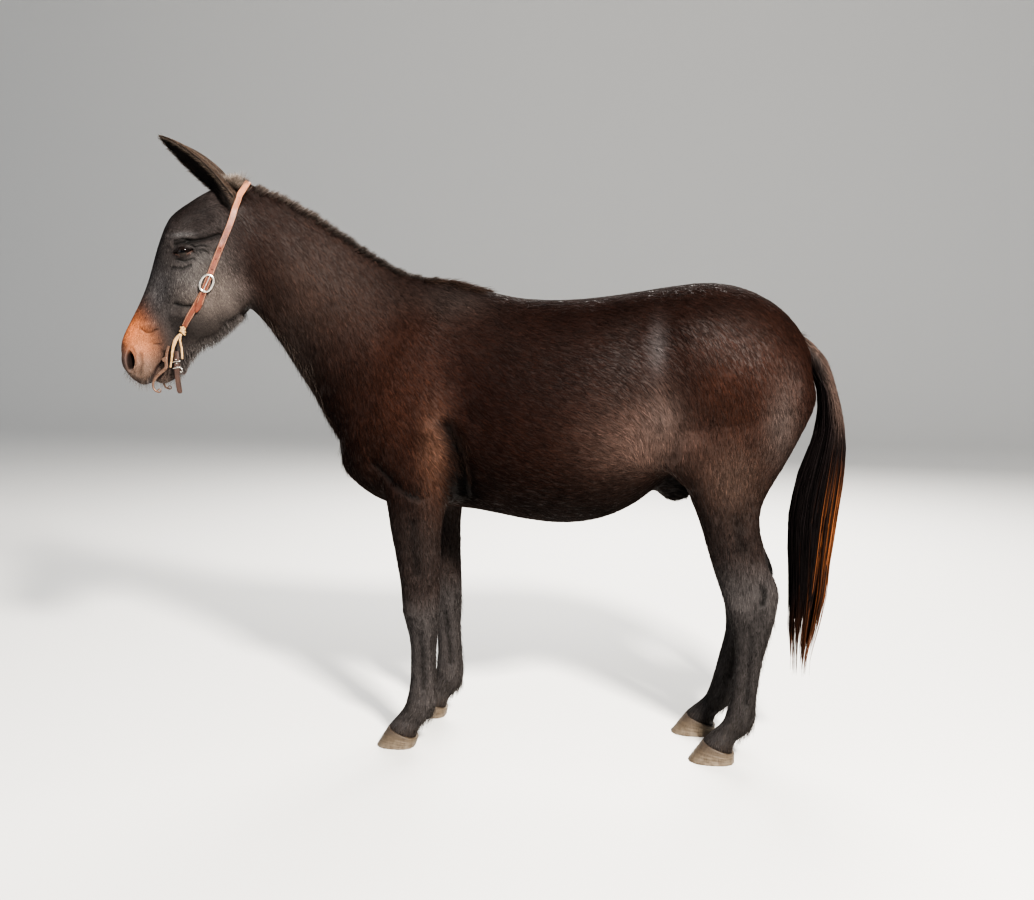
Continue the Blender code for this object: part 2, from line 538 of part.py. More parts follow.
def boolean(obj, others, operation, solver="EXACT"):
    """Joins to, or cuts from, the object all the others at once, and removes them."""
    group = bpy.data.collections.new("cutters of " + obj.name)
    bpy.context.scene.collection.children.link(group)
    for other in others:
        bpy.data.collections[COLLECTION].objects.unlink(other)
        group.objects.link(other)
        other.hide_render = True
        other.display_type = "WIRE"
    modifier = obj.modifiers.new(operation.lower(), "BOOLEAN")
    modifier.operation = operation
    modifier.solver = solver
    modifier.operand_type = "COLLECTION"
    modifier.collection = group
    applied(obj)
    for other in others:
        remove(other)
    bpy.data.collections.remove(group)
    return largest(obj)


def shells(bm):
    """Lists of vertices, one for each connected surface."""
    left = set(bm.verts)
    found = []
    while left:
        stack = [left.pop()]
        shell = []
        while stack:
            vert = stack.pop()
            shell.append(vert)
            for edge in vert.link_edges:
                other = edge.other_vert(vert)
                if other in left:
                    left.remove(other)
                    stack.append(other)
        found.append(shell)
    return found


def largest(obj):
    """Keeps only the largest closed surface, made of triangles."""
    bm = bmesh.new()
    bm.from_mesh(obj.data)
    found = sorted(shells(bm), key=len)
    bmesh.ops.delete(bm, geom=[vert for shell in found[:-1] for vert in shell], context="VERTS")
    bmesh.ops.dissolve_degenerate(bm, edges=bm.edges, dist=0.00002)
    bmesh.ops.triangulate(bm, faces=bm.faces)
    bm.to_mesh(obj.data)
    bm.free()
    return obj


def wire(name, points, radius, material, cyclic=False, sides=2):
    """A round tube through the points, made a mesh with its ends closed."""
    curve = bpy.data.curves.new(name, "CURVE")
    curve.dimensions = "3D"
    curve.bevel_depth = radius
    curve.bevel_resolution = sides
    curve.use_fill_caps = not cyclic
    spline = curve.splines.new("POLY")
    spline.points.add(len(points) - 1)
    for target, point in zip(spline.points, points):
        target.co = (*point, 1)
    spline.use_cyclic_u = cyclic
    holder = bpy.data.objects.new(name, curve)
    bpy.context.scene.collection.objects.link(holder)
    graph = bpy.context.evaluated_depsgraph_get()
    graph.update()
    mesh = bpy.data.meshes.new_from_object(holder.evaluated_get(graph))
    bpy.data.objects.remove(holder)
    bpy.data.curves.remove(curve)
    bm = bmesh.new()
    bm.from_mesh(mesh)
    bpy.data.meshes.remove(mesh)
    bmesh.ops.remove_doubles(bm, verts=bm.verts, dist=0.00002)
    bmesh.ops.triangulate(bm, faces=bm.faces)
    bmesh.ops.recalc_face_normals(bm, faces=bm.faces)
    return mesh_object(name, bm, material)


# Flesh


def mirrored(point, side):
    return (point[0], side * point[1], point[2])


def stance(end, side, z):
    rows = np.array(STANCE[end, side])
    return np.interp(z, rows[:, 0], rows[:, 1])


def leg_rows(end, side):
    """The sections of one leg, set where that leg stands."""
    rows = np.array(FORELEG if end == "front" else HINDLEG)
    rows[:, 8] *= SIDES[side]
    for column in (0, 2):
        rows[:, column] += stance(end, side, rows[:, column + 1])
    return rows


def joined_flesh():
    """The whole body as one skin of even grain, still coarse in its forms."""
    pieces = [flesh("torso", TORSO), flesh("neck", NECK), flesh("skull", SKULL), flesh("jaw", JAW)]
    for side in SIDES:
        for end in ("front", "hind"):
            pieces.append(flesh("leg", leg_rows(end, side), steps=2))
        for centre, half in MASSES:
            pieces.append(ellipsoid("mass", mirrored(centre, SIDES[side]), half))
    pieces.append(ellipsoid("sheath", *SHEATH))
    mane = [(x, z + hair, x, z - 0.03, MANE_HALF, 0.5, 2.0, 2.0, 0) for x, z, hair in CREST]
    pieces.append(flesh("mane", mane, count=16))
    body = join(pieces, "body")
    remesh = body.modifiers.new("skin", "REMESH")
    remesh.mode = "VOXEL"
    remesh.voxel_size = VOXEL
    applied(body)
    soften(body, 12, lambda points: np.ones(len(points)))
    soften(body, 90, trunk)
    return body


def trunk(points):
    """1 where the body is broad, falling to 0 on the legs and the head."""
    above = np.clip((points[:, 2] - 0.62) / 0.12, 0, 1)
    behind = np.clip((points[:, 0] + 1.12) / 0.14, 0, 1)
    return above * behind


def soften(obj, rounds, share):
    """Smooths the surface, as much as share says at each point."""
    group = obj.vertex_groups.new(name="share")
    for index, weight in enumerate(share(coordinates(obj))):
        if weight > 0:
            group.add([index], float(weight), "REPLACE")
    smooth = obj.modifiers.new("soften", "SMOOTH")
    smooth.factor = 0.5
    smooth.iterations = rounds
    smooth.vertex_group = "share"
    applied(obj)
    obj.vertex_groups.clear()


def model_surface(body):
    """Raises and hollows the forms that show under the coat, then sets the lids."""
    points = coordinates(body)
    seen = points[:, [0, 2]]
    for path, radius, height in BODY_FORMS + HEAD_FORMS:
        points = raised(body, points, seen, path, radius, height, 0)
    for (end, side), _ in STANCE.items():
        for path, radius, height in LEG_FORMS[end]:
            moved = [(x + stance(end, side, z), z) for x, z in path]
            points = raised(body, points, seen, moved, radius, height, SIDES[side])
    for side in SIDES.values():
        points = with_lids(points, side)
    set_coordinates(body, points)
    soften(body, 3, lambda found: np.ones(len(found)))


def with_lids(points, side):
    """Lays the skin round one eye over its ball, as thick as a lid."""
    centre = np.array(mirrored(EYE_CENTRE, side))
    far = np.linalg.norm((points - centre)[:, [0, 2]], axis=1)
    over = np.sqrt((EYE_RADIUS + LID) ** 2 - np.minimum(far, EYE_RADIUS * 0.9) ** 2)
    share = np.clip((LID_REACH - far) / (LID_REACH * 0.55), 0, 1)
    share = share * share * (3 - 2 * share) * (points[:, 1] * side > 0.05)
    points[:, 1] += (centre[1] + side * over - points[:, 1]) * share
    return points


def raised(body, points, seen, path, radius, height, side):
    """The points with one form raised on both sides, or on one leg only."""
    near = distance_to_path(seen, path) / radius
    falls = np.exp(-3 * near**2)
    normals = np.empty(len(points) * 3)
    body.data.vertices.foreach_get("normal", normals)
    normals = normals.reshape(-1, 3)
    falls *= np.clip(np.abs(normals[:, 1]) * 1.5, 0, 1)
    if side:
        falls *= points[:, 1] * side > 0
    return points + normals * (height * falls)[:, None]


def parted(body):
    """Cuts the body into head, neck, torso and legs, as open shells that meet at the cuts."""
    bm = bmesh.new()
    bm.from_mesh(body.data)
    planes = []
    for place, way, low, high, keep_both in cut_places():
        cut(bm, place, way, low, high, keep_both)
        planes.append((place, way))
    bm.to_mesh(body.data)
    bm.free()
    bpy.ops.object.select_all(action="DESELECT")
    body.select_set(True)
    bpy.context.view_layer.objects.active = body
    bpy.ops.object.mode_set(mode="EDIT")
    bpy.ops.mesh.select_all(action="SELECT")
    bpy.ops.mesh.separate(type="LOOSE")
    bpy.ops.object.mode_set(mode="OBJECT")
    parts = {}
    for piece in list(bpy.context.selected_objects):
        name = part_name(coordinates(piece))
        if name:
            piece.name = piece.data.name = name
            parts[name] = piece
        else:
            remove(piece)
    return parts, planes


def cut_places():
    """Every thin cut: point, direction, lowest and highest corner, and if both sides stay."""
    found = []
    for point, normal, low, high, paired in CUTS:
        for side in (-1, 1) if paired else (1,):
            spot, way = mirrored(point, side), mirrored(normal, side)
            ahead = posed([spot, Vector(spot) + Vector(way) * 0.01])
            corners = [low, high]
            if side < 0:
                corners = [(low[0], -high[1], low[2]), (high[0], -low[1], high[2])]
            found.append((Vector(ahead[0]), Vector(ahead[1] - ahead[0]).normalized(), *corners, True))
    for end, side in STANCE:
        toe, heel = coronet_ends(end, side)
        slope = (heel - toe).normalized()
        low = (toe.x - 0.05, min(toe.y * 0.1, toe.y * 2), -0.1)
        high = (heel.x + 0.05, max(toe.y * 0.1, toe.y * 2), 0.10)
        found.append((toe, slope.cross(Vector((0, 1, 0))).normalized(), low, high, False))
    return found


def coronet_ends(end, side):
    """The front and back ends of the top of one hoof."""
    front_x, front_z, back_x, back_z = HOOVES[end][1]
    y = (FORELEG if end == "front" else HINDLEG)[-1][8] * SIDES[side]
    shift = stance(end, side, 0)
    return Vector((front_x + shift, y, front_z)), Vector((back_x + shift, y, back_z))


def cut(bm, place, way, low, high, keep_both):
    """Splits the surface along a plane inside a box, or drops what the direction leaves behind."""
    inside = []
    for face in bm.faces:
        middle = face.calc_center_median()
        if all(low[k] < middle[k] < high[k] for k in range(3)):
            inside.append(face)
    geometry = set(inside)
    for face in inside:
        geometry.update(face.edges)
        geometry.update(face.verts)
    made = bmesh.ops.bisect_plane(
        bm,
        geom=list(geometry),
        dist=0.00001,
        plane_co=place,
        plane_no=way,
        clear_inner=not keep_both,
    )["geom_cut"]
    if keep_both:
        edges = [item for item in made if isinstance(item, bmesh.types.BMEdge)]
        bmesh.ops.split_edges(bm, edges=edges)


def part_name(points):
    """Which part a shell is, by where it lies."""
    low, high = points.min(axis=0), points.max(axis=0)
    side = "left" if low[1] + high[1] < 0 else "right"
    if high[2] < 0.12:
        return None
    if high[2] < 0.85:
        return ("leg_front_" if high[0] < 0 else "leg_hind_") + side
    if high[0] > 0.3:
        return "torso"
    return "neck" if high[0] > -0.8 else "head"


def thinned(obj, target, keep=None):
    """Thins the mesh to about this many triangles, finer where keep is near 1."""
    triangles = sum(len(face.vertices) - 2 for face in obj.data.polygons)
    modifier = obj.modifiers.new("thin", "DECIMATE")
    modifier.ratio = target / triangles
    if keep:
        group = obj.vertex_groups.new(name="keep")
        for index, weight in enumerate(keep(coordinates(obj))):
            group.add([index], float(weight), "REPLACE")
        modifier.vertex_group = "keep"
        modifier.invert_vertex_group = True
        modifier.vertex_group_factor = KEEP_STRENGTH
    applied(obj)
    obj.vertex_groups.clear()


def head_detail(points):
    """How finely each place on the head is kept, from 0 to 1."""
    weight = np.zeros(len(points))
    for side in SIDES.values():
        for spot, reach in HEAD_DETAIL:
            far = np.linalg.norm(points - posed(mirrored(spot, side)), axis=1) / reach
            weight = np.maximum(weight, np.clip(1.5 - far, 0, 1))
    return weight


def closed(obj, planes):
    """Moves each open rim half a gap back from its cut and fills it with a flat face."""
    bm = bmesh.new()
    bm.from_mesh(obj.data)
    for place, way in planes:
        rim = [v for v in bm.verts if v.is_boundary and abs((v.co - place).dot(way)) < RIM_REACH]
        rim = [v for v in rim if (v.co - place).length < 0.35]
        if len(rim) < 6:
            continue
        inner = {edge.other_vert(v) for v in rim for edge in v.link_edges} - set(rim)
        side = math.copysign(1, sum((v.co - place).dot(way) for v in inner))
        for vert in rim:
            vert.co -= way * ((vert.co - place).dot(way) - side * GAP / 2)
        edges = {edge for v in rim for edge in v.link_edges if edge.is_boundary}
        bmesh.ops.triangle_fill(bm, edges=list(edges), use_beauty=True)
    bmesh.ops.recalc_face_normals(bm, faces=bm.faces)
    if bm.calc_volume(signed=True) < 0:
        bmesh.ops.reverse_faces(bm, faces=bm.faces)
    bmesh.ops.dissolve_degenerate(bm, edges=bm.edges, dist=0.00002)
    bmesh.ops.triangulate(bm, faces=bm.faces)
    bm.to_mesh(obj.data)
    bm.free()


def grown(obj, amount):
    """A copy of the object whose surface stands this much further out."""
    bm = bmesh.new()
    bm.from_mesh(obj.data)
    bm.normal_update()
    moved = [vert.co + vert.normal * amount * vert.calc_shell_factor() for vert in bm.verts]
    for vert, place in zip(bm.verts, moved):
        vert.co = place
    return mesh_object("grown", bm)


def clear_of(obj, *others):
    """Cuts the object back so that it keeps the gap to each of the others."""
    for other in others:
        boolean(obj, [grown(other, GAP * 1.2)], "DIFFERENCE")
    return obj


# Head


def eye_line(along):
    """Height of the upper and the lower lid over the line of the eye, from -1 to 1 along it."""
    half, above, below = EYE_SLIT
    return above * (1 - along**2) ** 0.7, -below * (1 - along**2)


def eye_opening(side):
    """What is cut away between the lids, in front of the eyeball."""
    count = 12
    along = [math.cos(math.pi * i / count) for i in range(count + 1)]
    outline = [(t, eye_line(t)[0]) for t in along] + [(t, eye_line(t)[1]) for t in along[-2:0:-1]]
    rings = []
    for depth, spread in ((0.008, 0.80), (0.020, 1.0), (0.045, 1.12)):
        ring = []
        for t, up in outline:
            x = t * EYE_SLIT[0] * spread
            rise = up * spread
            across = x * math.cos(EYE_TILT) - rise * math.sin(EYE_TILT)
            height = x * math.sin(EYE_TILT) + rise * math.cos(EYE_TILT)
            y = side * (EYE_CENTRE[1] + depth)
            ring.append((EYE_CENTRE[0] + across, y, EYE_CENTRE[2] + height))
        rings.append(ring)
    return bend(loft("opening", rings))


def eyeball(name, side, radius):
    bm = bmesh.new()
    bmesh.ops.create_uvsphere(bm, u_segments=14, v_segments=8, radius=radius)
    bmesh.ops.triangulate(bm, faces=bm.faces)
    obj = mesh_object(name, bm, "eye")
    set_coordinates(obj, coordinates(obj) + posed(mirrored(EYE_CENTRE, side)))
    return obj


def mouth_slit():
    """A thin blade along the line of the mouth, right through between the lips."""
    line = refined(MOUTH, 2)
    ways = np.gradient(line, axis=0)
    ways /= np.linalg.norm(ways, axis=1)[:, None]
    rings = []
    for (x, z), (dx, dz) in zip(line, ways):
        offset = np.array((-dz, dx)) * MOUTH_OPEN / 2
        above, below = np.array((x, z)) + offset, np.array((x, z)) - offset
        corners = ((above, -0.1), (above, 0.1), (below, 0.1), (below, -0.1))
        rings.append([(spot[0], y, spot[1]) for spot, y in corners])
    return bend(loft("slit", rings))


def rod(name, centre, radius, half_length, material="coat"):
    """A round bar across the head."""
    ends = [(centre[0], -half_length, centre[1]), (centre[0], half_length, centre[1])]
    return bend(wire(name, ends, radius, material, sides=4))


def nostril(side):
    obj = ellipsoid("hole", (0, 0, 0), NOSTRIL[1], segments=14)
    turn = Matrix.Rotation(side * math.radians(22), 3, "Z") @ Matrix.Rotation(math.radians(-14), 3, "Y")
    points = coordinates(obj) @ np.array(turn).T
    set_coordinates(obj, posed(points + np.array(mirrored(NOSTRIL[0], side))))
    return obj


def finish_head(head):
    """Opens the eyes, the nostrils and the mouth, with a bore for the bit at its corner."""
    cutters = [mouth_slit(), rod("bore", BIT_PLACE, BIT_RADIUS + GAP, 0.1)]
    for side in SIDES.values():
        cutters += [eye_opening(side), eyeball("socket", side, EYE_RADIUS + GAP), nostril(side)]
    for cutter in cutters:
        boolean(head, [cutter], "DIFFERENCE")


def ear(side_name):
    """One ear: a closed base that opens into a cup, and a thin pointed tip."""
    side = SIDES[side_name]
    base, tip = Vector(mirrored(EAR_BASE, side)), Vector(mirrored(EAR_TIP, side))
    axis = (tip - base).normalized()
    opens = Vector(mirrored(EAR_OPENS, side))
    opens = (opens - axis * opens.dot(axis)).normalized()
    wide = axis.cross(opens)
    turns = [math.pi / 2 * (2 * i / 6 - 1) for i in range(7)]
    rings = []
    for place, half, back, front in EAR_SHAPE:
        lean = opens * (EAR_CURVE * 4 * place * (1 - place))
        centre = base + (tip - base) * place - lean
        inner = max(half - EAR_RIM, half * 0.3)
        ring = [centre + wide * half * math.sin(t) - opens * back * math.cos(t) for t in turns]
        ring += [centre + wide * inner * math.sin(t) + opens * front * math.cos(t) for t in turns[::-1]]
        rings.append(ring)
    return bend(loft("ear_" + side_name, rings))


# Hooves and tail


def hoof(end, side):
    """A hoof from the ground to the coronet, with a flat sole and a flat sloping top."""
    (toe, _, heel, _), _ = HOOVES[end]
    front, back = coronet_ends(end, side)
    shift = stance(end, side, 0)
    drop = Vector((0, 0, GAP / 2 + 0.0001))
    front, back = front - drop, back - drop
    sole = (toe + shift, 0.0, heel + shift, 0.0, HOOF_HALF[0], 0.5, 2.2, 2.8, front.y)
    top = (front.x, front.z, back.x, back.z, HOOF_HALF[1], 0.5, 2.2, 2.4, front.y)
    rows = [sole, top]
    rings = [section(row, HOOF_SIDES) for row in rows]
    return loft(f"hoof_{end}_{side}", rings, "horn")


# Long hair


def lock(path, half, thick, facing, shape=SHORT_LOCK):
    """A flat, tapered lock along a path from its root to its tip."""
    path = refined(path, 4)
    places = np.linspace(0, 1, len(path))
    facing = Vector(facing)
    rings = []
    for place, wide, deep in shape:
        centre = Vector([np.interp(place, places, path[:, k]) for k in range(3)])
        before = Vector([np.interp(place - 0.1, places, path[:, k]) for k in range(3)])
        after = Vector([np.interp(place + 0.1, places, path[:, k]) for k in range(3)])
        along = (after - before).normalized()
        across = along.cross(facing).normalized()
        up = across.cross(along)
        across, up = across * half * wide, up * thick / 2 * deep
        rings.append([centre - across, centre - up, centre + across, centre + up])
    return bend(loft("lock", rings))


def fuse(obj, locks):
    """Makes the locks one with what they grow from."""
    return boolean(obj, locks, "UNION")


def mane(neck, torso, rng):
    """Short locks that stand along the crest, in two staggered rows."""
    crest = np.array(CREST)
    groups = {neck.name: [], torso.name: []}
    edge = CUTS[1]
    for i in range(MANE_LOCKS):
        x = np.interp(i, (0, MANE_LOCKS - 1), MANE_SPAN)
        z, hair = np.interp(x, crest[:, 0], crest[:, 1]), np.interp(x, crest[:, 0], crest[:, 2])
        slope = np.interp(x + 0.02, crest[:, 0], crest[:, 1]) - np.interp(x - 0.02, crest[:, 0], crest[:, 1])
        along = Vector((0.04, 0, slope)).normalized()
        up = Vector((-along.z, 0, along.x))
        side = 0.004 if i % 2 else -0.004
        root = Vector((x, 0, z)) - up * 0.016 - along * 0.004
        tip = Vector((x, side * 1.5, z)) + up * (hair * rng.uniform(0.85, 1.10)) + along * 0.014
        middle = (root + tip) / 2 + Vector((0, side, 0))
        near = (Vector((x, 0, z)) - Vector(edge[0])).dot(Vector(edge[1]).normalized())
        if abs(near) > MANE_SKIP:
            name = neck.name if near > 0 else torso.name
            path = [tuple(root), tuple(middle), tuple(tip)]
            groups[name].append(lock(path, 0.0260, 0.013, (0, 1, 0)))
    fuse(neck, groups[neck.name])
    fuse(torso, groups[torso.name])


def hair_row(row, rng):
    """Locks along a row on the middle of the head."""
    first, last, count, half, spread = row
    locks = []
    for i in range(count):
        t = i / (count - 1)
        root = [np.interp(t, (0, 1), (first[0][k], last[0][k])) for k in range(2)]
        tip = [np.interp(t, (0, 1), (first[1][k], last[1][k])) for k in range(2)]
        y = spread * (i % 3 - 1)
        middle = ((root[0] + tip[0]) / 2, y, (root[1] + tip[1]) / 2)
        end = (tip[0] + rng.uniform(-0.004, 0.004), y * 1.3, tip[1] + rng.uniform(-0.004, 0.004))
        locks.append(lock([(root[0], y * 0.7, root[1]), middle, end], half, 0.012, (0, 1, 0)))
    return locks


def fetlock_hair(leg, end, side):
    """The tuft behind one fetlock."""
    root, tip = FETLOCK_HAIR[end]
    y = (FORELEG if end == "front" else HINDLEG)[-1][8] * SIDES[side]
    shift = stance(end, side, root[1])
    locks = []
    for i in range(FETLOCK_LOCKS):
        across = (i - 1) * 0.014
        drop = 0.006 * abs(i - 1)
        path = [
            (root[0] + shift, y + across * 0.8, root[1]),
            ((root[0] + tip[0]) / 2 + 0.010 + shift, y + across * 1.1, (root[1] + tip[1]) / 2),
            (tip[0] + shift - drop, y + across * 0.9, tip[1] + drop),
        ]
        locks.append(lock(path, 0.0125, 0.013, (1, 0, 0)))
    fuse(leg, locks)


def tail_place(z, around, reach):
    """A point at a height of the tail, around its middle and out toward its surface."""
    rows = np.array(TAIL)[::-1]
    heights = (rows[:, 1] + rows[:, 3]) / 2
    back, front, half = (np.interp(z, heights, rows[:, k]) for k in (0, 2, 4))
    x = (back + front) / 2 + (back - front) / 2 * reach * math.cos(around)
    return x, half * reach * math.sin(around), z


def tail(torso, rng):
    """The dock and the heart of the hair, with long locks over it down to their tips."""
    rows = []
    for row, share in zip(TAIL, TAIL_CORE):
        back_x, back_z, front_x, front_z, half = row[:5]
        x, z = (back_x + front_x) / 2, (back_z + front_z) / 2
        back = (x + (back_x - x) * share, z + (back_z - z) * share)
        front = (x + (front_x - x) * share, z + (front_z - z) * share)
        rows.append((*back, *front, half * share, *row[5:]))
    core = loft("tail", [section(row, 14) for row in rows])
    locks = []
    for i in range(TAIL_LOCKS):
        around = i * 2.4
        top = 1.10 - 0.46 * (i * 0.618 % 1)
        end = max(top - rng.uniform(0.34, 0.52), 0.275 + 0.10 * rng.random())
        path = []
        for t, reach in ((0, 0.45), (0.25, 0.90), (0.62, 0.97), (1, 0.80)):
            path.append(tail_place(top + (end - top) * t, around + 0.3 * t, reach))
        out = (math.cos(around + 0.2), math.sin(around + 0.2), 0)
        locks.append(lock(path, 0.0245, 0.017, out, LONG_LOCK))
    fuse(core, locks)
    return clear_of(core, torso)


# Headstall


def seated(surface, point, lift):
    """The place this far over the surface nearest to a point, and the way up from it."""
    place, normal, _, _ = surface.find_nearest(Vector(point))
    return place + normal * lift, normal


def strap(name, surface, rows, thick, material):
    """A flat strap laid over the head. Rows: x, y, z, lift over the skin, half width."""
    rows = refined(rows, 2)
    centres, ups = [], []
    for x, y, z, lift, _ in rows:
        place, up = seated(surface, (x, y, z), lift)
        centres.append(place)
        ups.append(up)
    rings = []
    for i, (centre, up) in enumerate(zip(centres, ups)):
        along = centres[min(i + 1, len(rows) - 1)] - centres[max(i - 1, 0)]
        across = along.cross(up).normalized()
        ring = []
        for side, rise in ((-1, 0), (1, 0), (1, thick), (-1, thick)):
            edge = centre + across * side * rows[i][4]
            place, normal, _, _ = surface.find_nearest(edge)
            short = rows[i][3] - (edge - place).dot(normal)
            ring.append(edge + up * (max(short, 0) + rise))
        rings.append(ring)
    return bend(loft(name, rings, material))


def both_ways(rows):
    """A route given on the right side, from its end up to the middle, and back down the left."""
    return [mirrored(row[:3], -1) + tuple(row[3:]) for row in rows] + [tuple(r) for r in rows[-2::-1]]


def on_side(rows, side):
    return [mirrored(row[:3], side) + tuple(row[3:]) for row in rows]


def buckle(side_name, surface):
    """An oval ring with its tongue, lying on the strap."""
    side = SIDES[side_name]
    rise = CROWN_LOW + STRAP_THICK + BUCKLE_WIRE + GAP
    centre, up = seated(surface, mirrored(BUCKLE_CENTRE, side), rise)
    low, _ = seated(surface, mirrored(CHEEK_ROUTE[1][:3], side), rise)
    along = (low - centre).normalized()
    along = (along - up * along.dot(up)).normalized()
    across = along.cross(up)
    ring = []
    for i in range(16):
        t = math.tau * i / 16
        ring.append(centre + across * BUCKLE_HALF[0] * math.cos(t) + along * BUCKLE_HALF[1] * math.sin(t))
    obj = wire("buckle_" + side_name, ring, BUCKLE_WIRE, "metal", cyclic=True)
    pin = [centre + along * BUCKLE_HALF[1] * t for t in (-1.0, 0.98)]
    tongue = wire("tongue", pin, BUCKLE_WIRE * 0.7, "metal")
    return bend(boolean(obj, [tongue], "UNION"))


def knot(side_name, surface):
    """The tied rawhide below the cheek strap, with two strands down to the bit."""
    side = SIDES[side_name]
    centre, _ = seated(surface, mirrored(KNOT_CENTRE, side), KNOT_HALF[1] + 0.001)
    obj = ellipsoid("tie_" + side_name, centre, KNOT_HALF, segments=9)
    obj.data.materials[0] = bpy.data.materials["rawhide"]
    ring = []
    for i in range(8):
        t = math.tau * i / 8
        x, y = math.cos(t) * KNOT_HALF[0], math.sin(t) * KNOT_HALF[1]
        ring.append(centre + Vector((x, y, 0.35 * x)))
    pieces = [wire("wrap", ring, STRAND_RADIUS * 0.9, "rawhide", cyclic=True)]
    for route in STRANDS:
        line = [centre] + [Vector(mirrored(point, side)) for point in route]
        pieces.append(wire("strand", line, STRAND_RADIUS, "rawhide"))
    boolean(obj, pieces, "UNION")
    return bend(obj)


def bit():
    """The curb bit: an S-shaped shank on each side and the bar between them."""
    pieces = []
    for side in SIDES.values():
        line = [Vector(mirrored((x, SHANK_OUT, z), side)) for x, z in SHANK]
        pieces.append(wire("shank", line, SHANK_RADIUS, "bronze"))
    bar = [(BIT_PLACE[0], y, BIT_PLACE[1]) for y in (-SHANK_OUT, 0, SHANK_OUT)]
    obj = wire("curb_bit", bar, BIT_RADIUS, "bronze", sides=4)
    boolean(obj, pieces, "UNION")
    return bend(obj)


def curb_strap():
    """The dark strap under the chin, with its end hanging on the left through a metal loop."""
    rings = []
    for y, z, out_y, out_z in refined(CURB, 2):
        out = Vector((0, out_y, out_z)).normalized() * CURB_THICK
        low, high = Vector((CURB_X - CURB_HALF, y, z)), Vector((CURB_X + CURB_HALF, y, z))
        rings.append([low, high, high + out, low + out])
    obj = loft("curb_strap", rings, "strap")
    rings = []
    for x, near, z, half in CURB_END:
        far = near - CURB_END_THICK
        rings.append([(x - half, near, z), (x + half, near, z), (x + half, far, z), (x - half, far, z)])
    boolean(obj, [loft("end", rings, "strap")], "UNION")
    ring = []
    for i in range(12):
        t = math.tau * i / 12
        across = math.copysign(abs(math.cos(t)) ** 0.5 * LOOP_HALF[0], math.cos(t))
        out = math.copysign(abs(math.sin(t)) ** 0.5 * LOOP_HALF[1], math.sin(t))
        ring.append(Vector(LOOP_PLACE) + Vector((across, out, 0)))
    loop = wire("curb_loop", ring, LOOP_WIRE, "metal", cyclic=True)
    bend(loop)
    return bend(obj)


def headstall(straight, head):
    """Every piece of the tack, laid over the straight skin and then turned with the head."""
    crown = strap("headstall_crown", straight, both_ways(CROWN_ROUTE), STRAP_THICK, "leather")
    clear_of(crown, head)
    for name, side in SIDES.items():
        clear_of(bpy.data.objects["ear_" + name], crown)
        cheek = strap("cheek_" + name, straight, on_side(CHEEK_ROUTE, side), STRAP_THICK, "leather")
        clear_of(cheek, head)
        clear_of(crown, cheek)
        clear_of(buckle(name, straight), crown)
        tie = knot(name, straight)
        clear_of(tie, head, cheek)
    shanks = bit()
    for name in SIDES:
        clear_of(bpy.data.objects["tie_" + name], shanks)
    curb_strap()


def centred():
    """Moves every part so that the middle of the whole model's box stands on the origin."""
    parts = list(bpy.data.collections[COLLECTION].objects)
    points = np.vstack([coordinates(obj) for obj in parts])
    middle = (points.min(axis=0) + points.max(axis=0)) / 2
    for obj in parts:
        set_coordinates(obj, coordinates(obj) - np.array((middle[0], middle[1], 0)))
        obj.data.shade_smooth()
        obj.data.set_sharp_from_angle(angle=math.radians(50))


def start():
    """Clears the scene and makes the collection and the materials."""
    for obj in list(bpy.data.objects):
        bpy.data.objects.remove(obj)
    group = bpy.data.collections.new(COLLECTION)
    bpy.context.scene.collection.children.link(group)
    for name, colour in COLOURS.items():
        material = bpy.data.materials.new(name)
        material.use_nodes = True
        shader = material.node_tree.nodes["Principled BSDF"]
        shader.inputs["Base Color"].default_value = (*colour, 1)
        shader.inputs["Roughness"].default_value = 0.3 if name in ("metal", "bronze") else 0.55
        shader.inputs["Metallic"].default_value = float(name in ("metal", "bronze"))


def main():
    start()
    body = joined_flesh()
    model_surface(body)
    straight = BVHTree.FromPolygons(
        [tuple(point) for point in coordinates(body)],
        [tuple(face.vertices) for face in body.data.polygons],
    )
    bend(body)
    parts, planes = parted(body)
    for name, piece in parts.items():
        thinned(piece, BUDGET[name.rsplit("_", 1)[0]], head_detail if name == "head" else None)
        closed(piece, planes)
    head, torso = parts["head"], parts["torso"]
    rng = random.Random(5)
    fuse(head, hair_row(POLL_HAIR, rng) + hair_row(JAW_HAIR, rng))
    for name, side in SIDES.items():
        clear_of(ear(name), head)
        eyeball("eye_" + name, side, EYE_RADIUS)
        for end in HOOVES:
            hoof(end, name)
            fetlock_hair(parts[f"leg_{end}_{name}"], end, name)
    finish_head(head)
    mane(parts["neck"], torso, rng)
    tail(torso, rng)
    headstall(straight, head)
    centred()


if __name__ == "__main__":
    main()
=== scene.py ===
import json
import math

import bmesh
import bpy
import numpy as np
from mathutils import Matrix, Vector
from mathutils.bvhtree import BVHTree

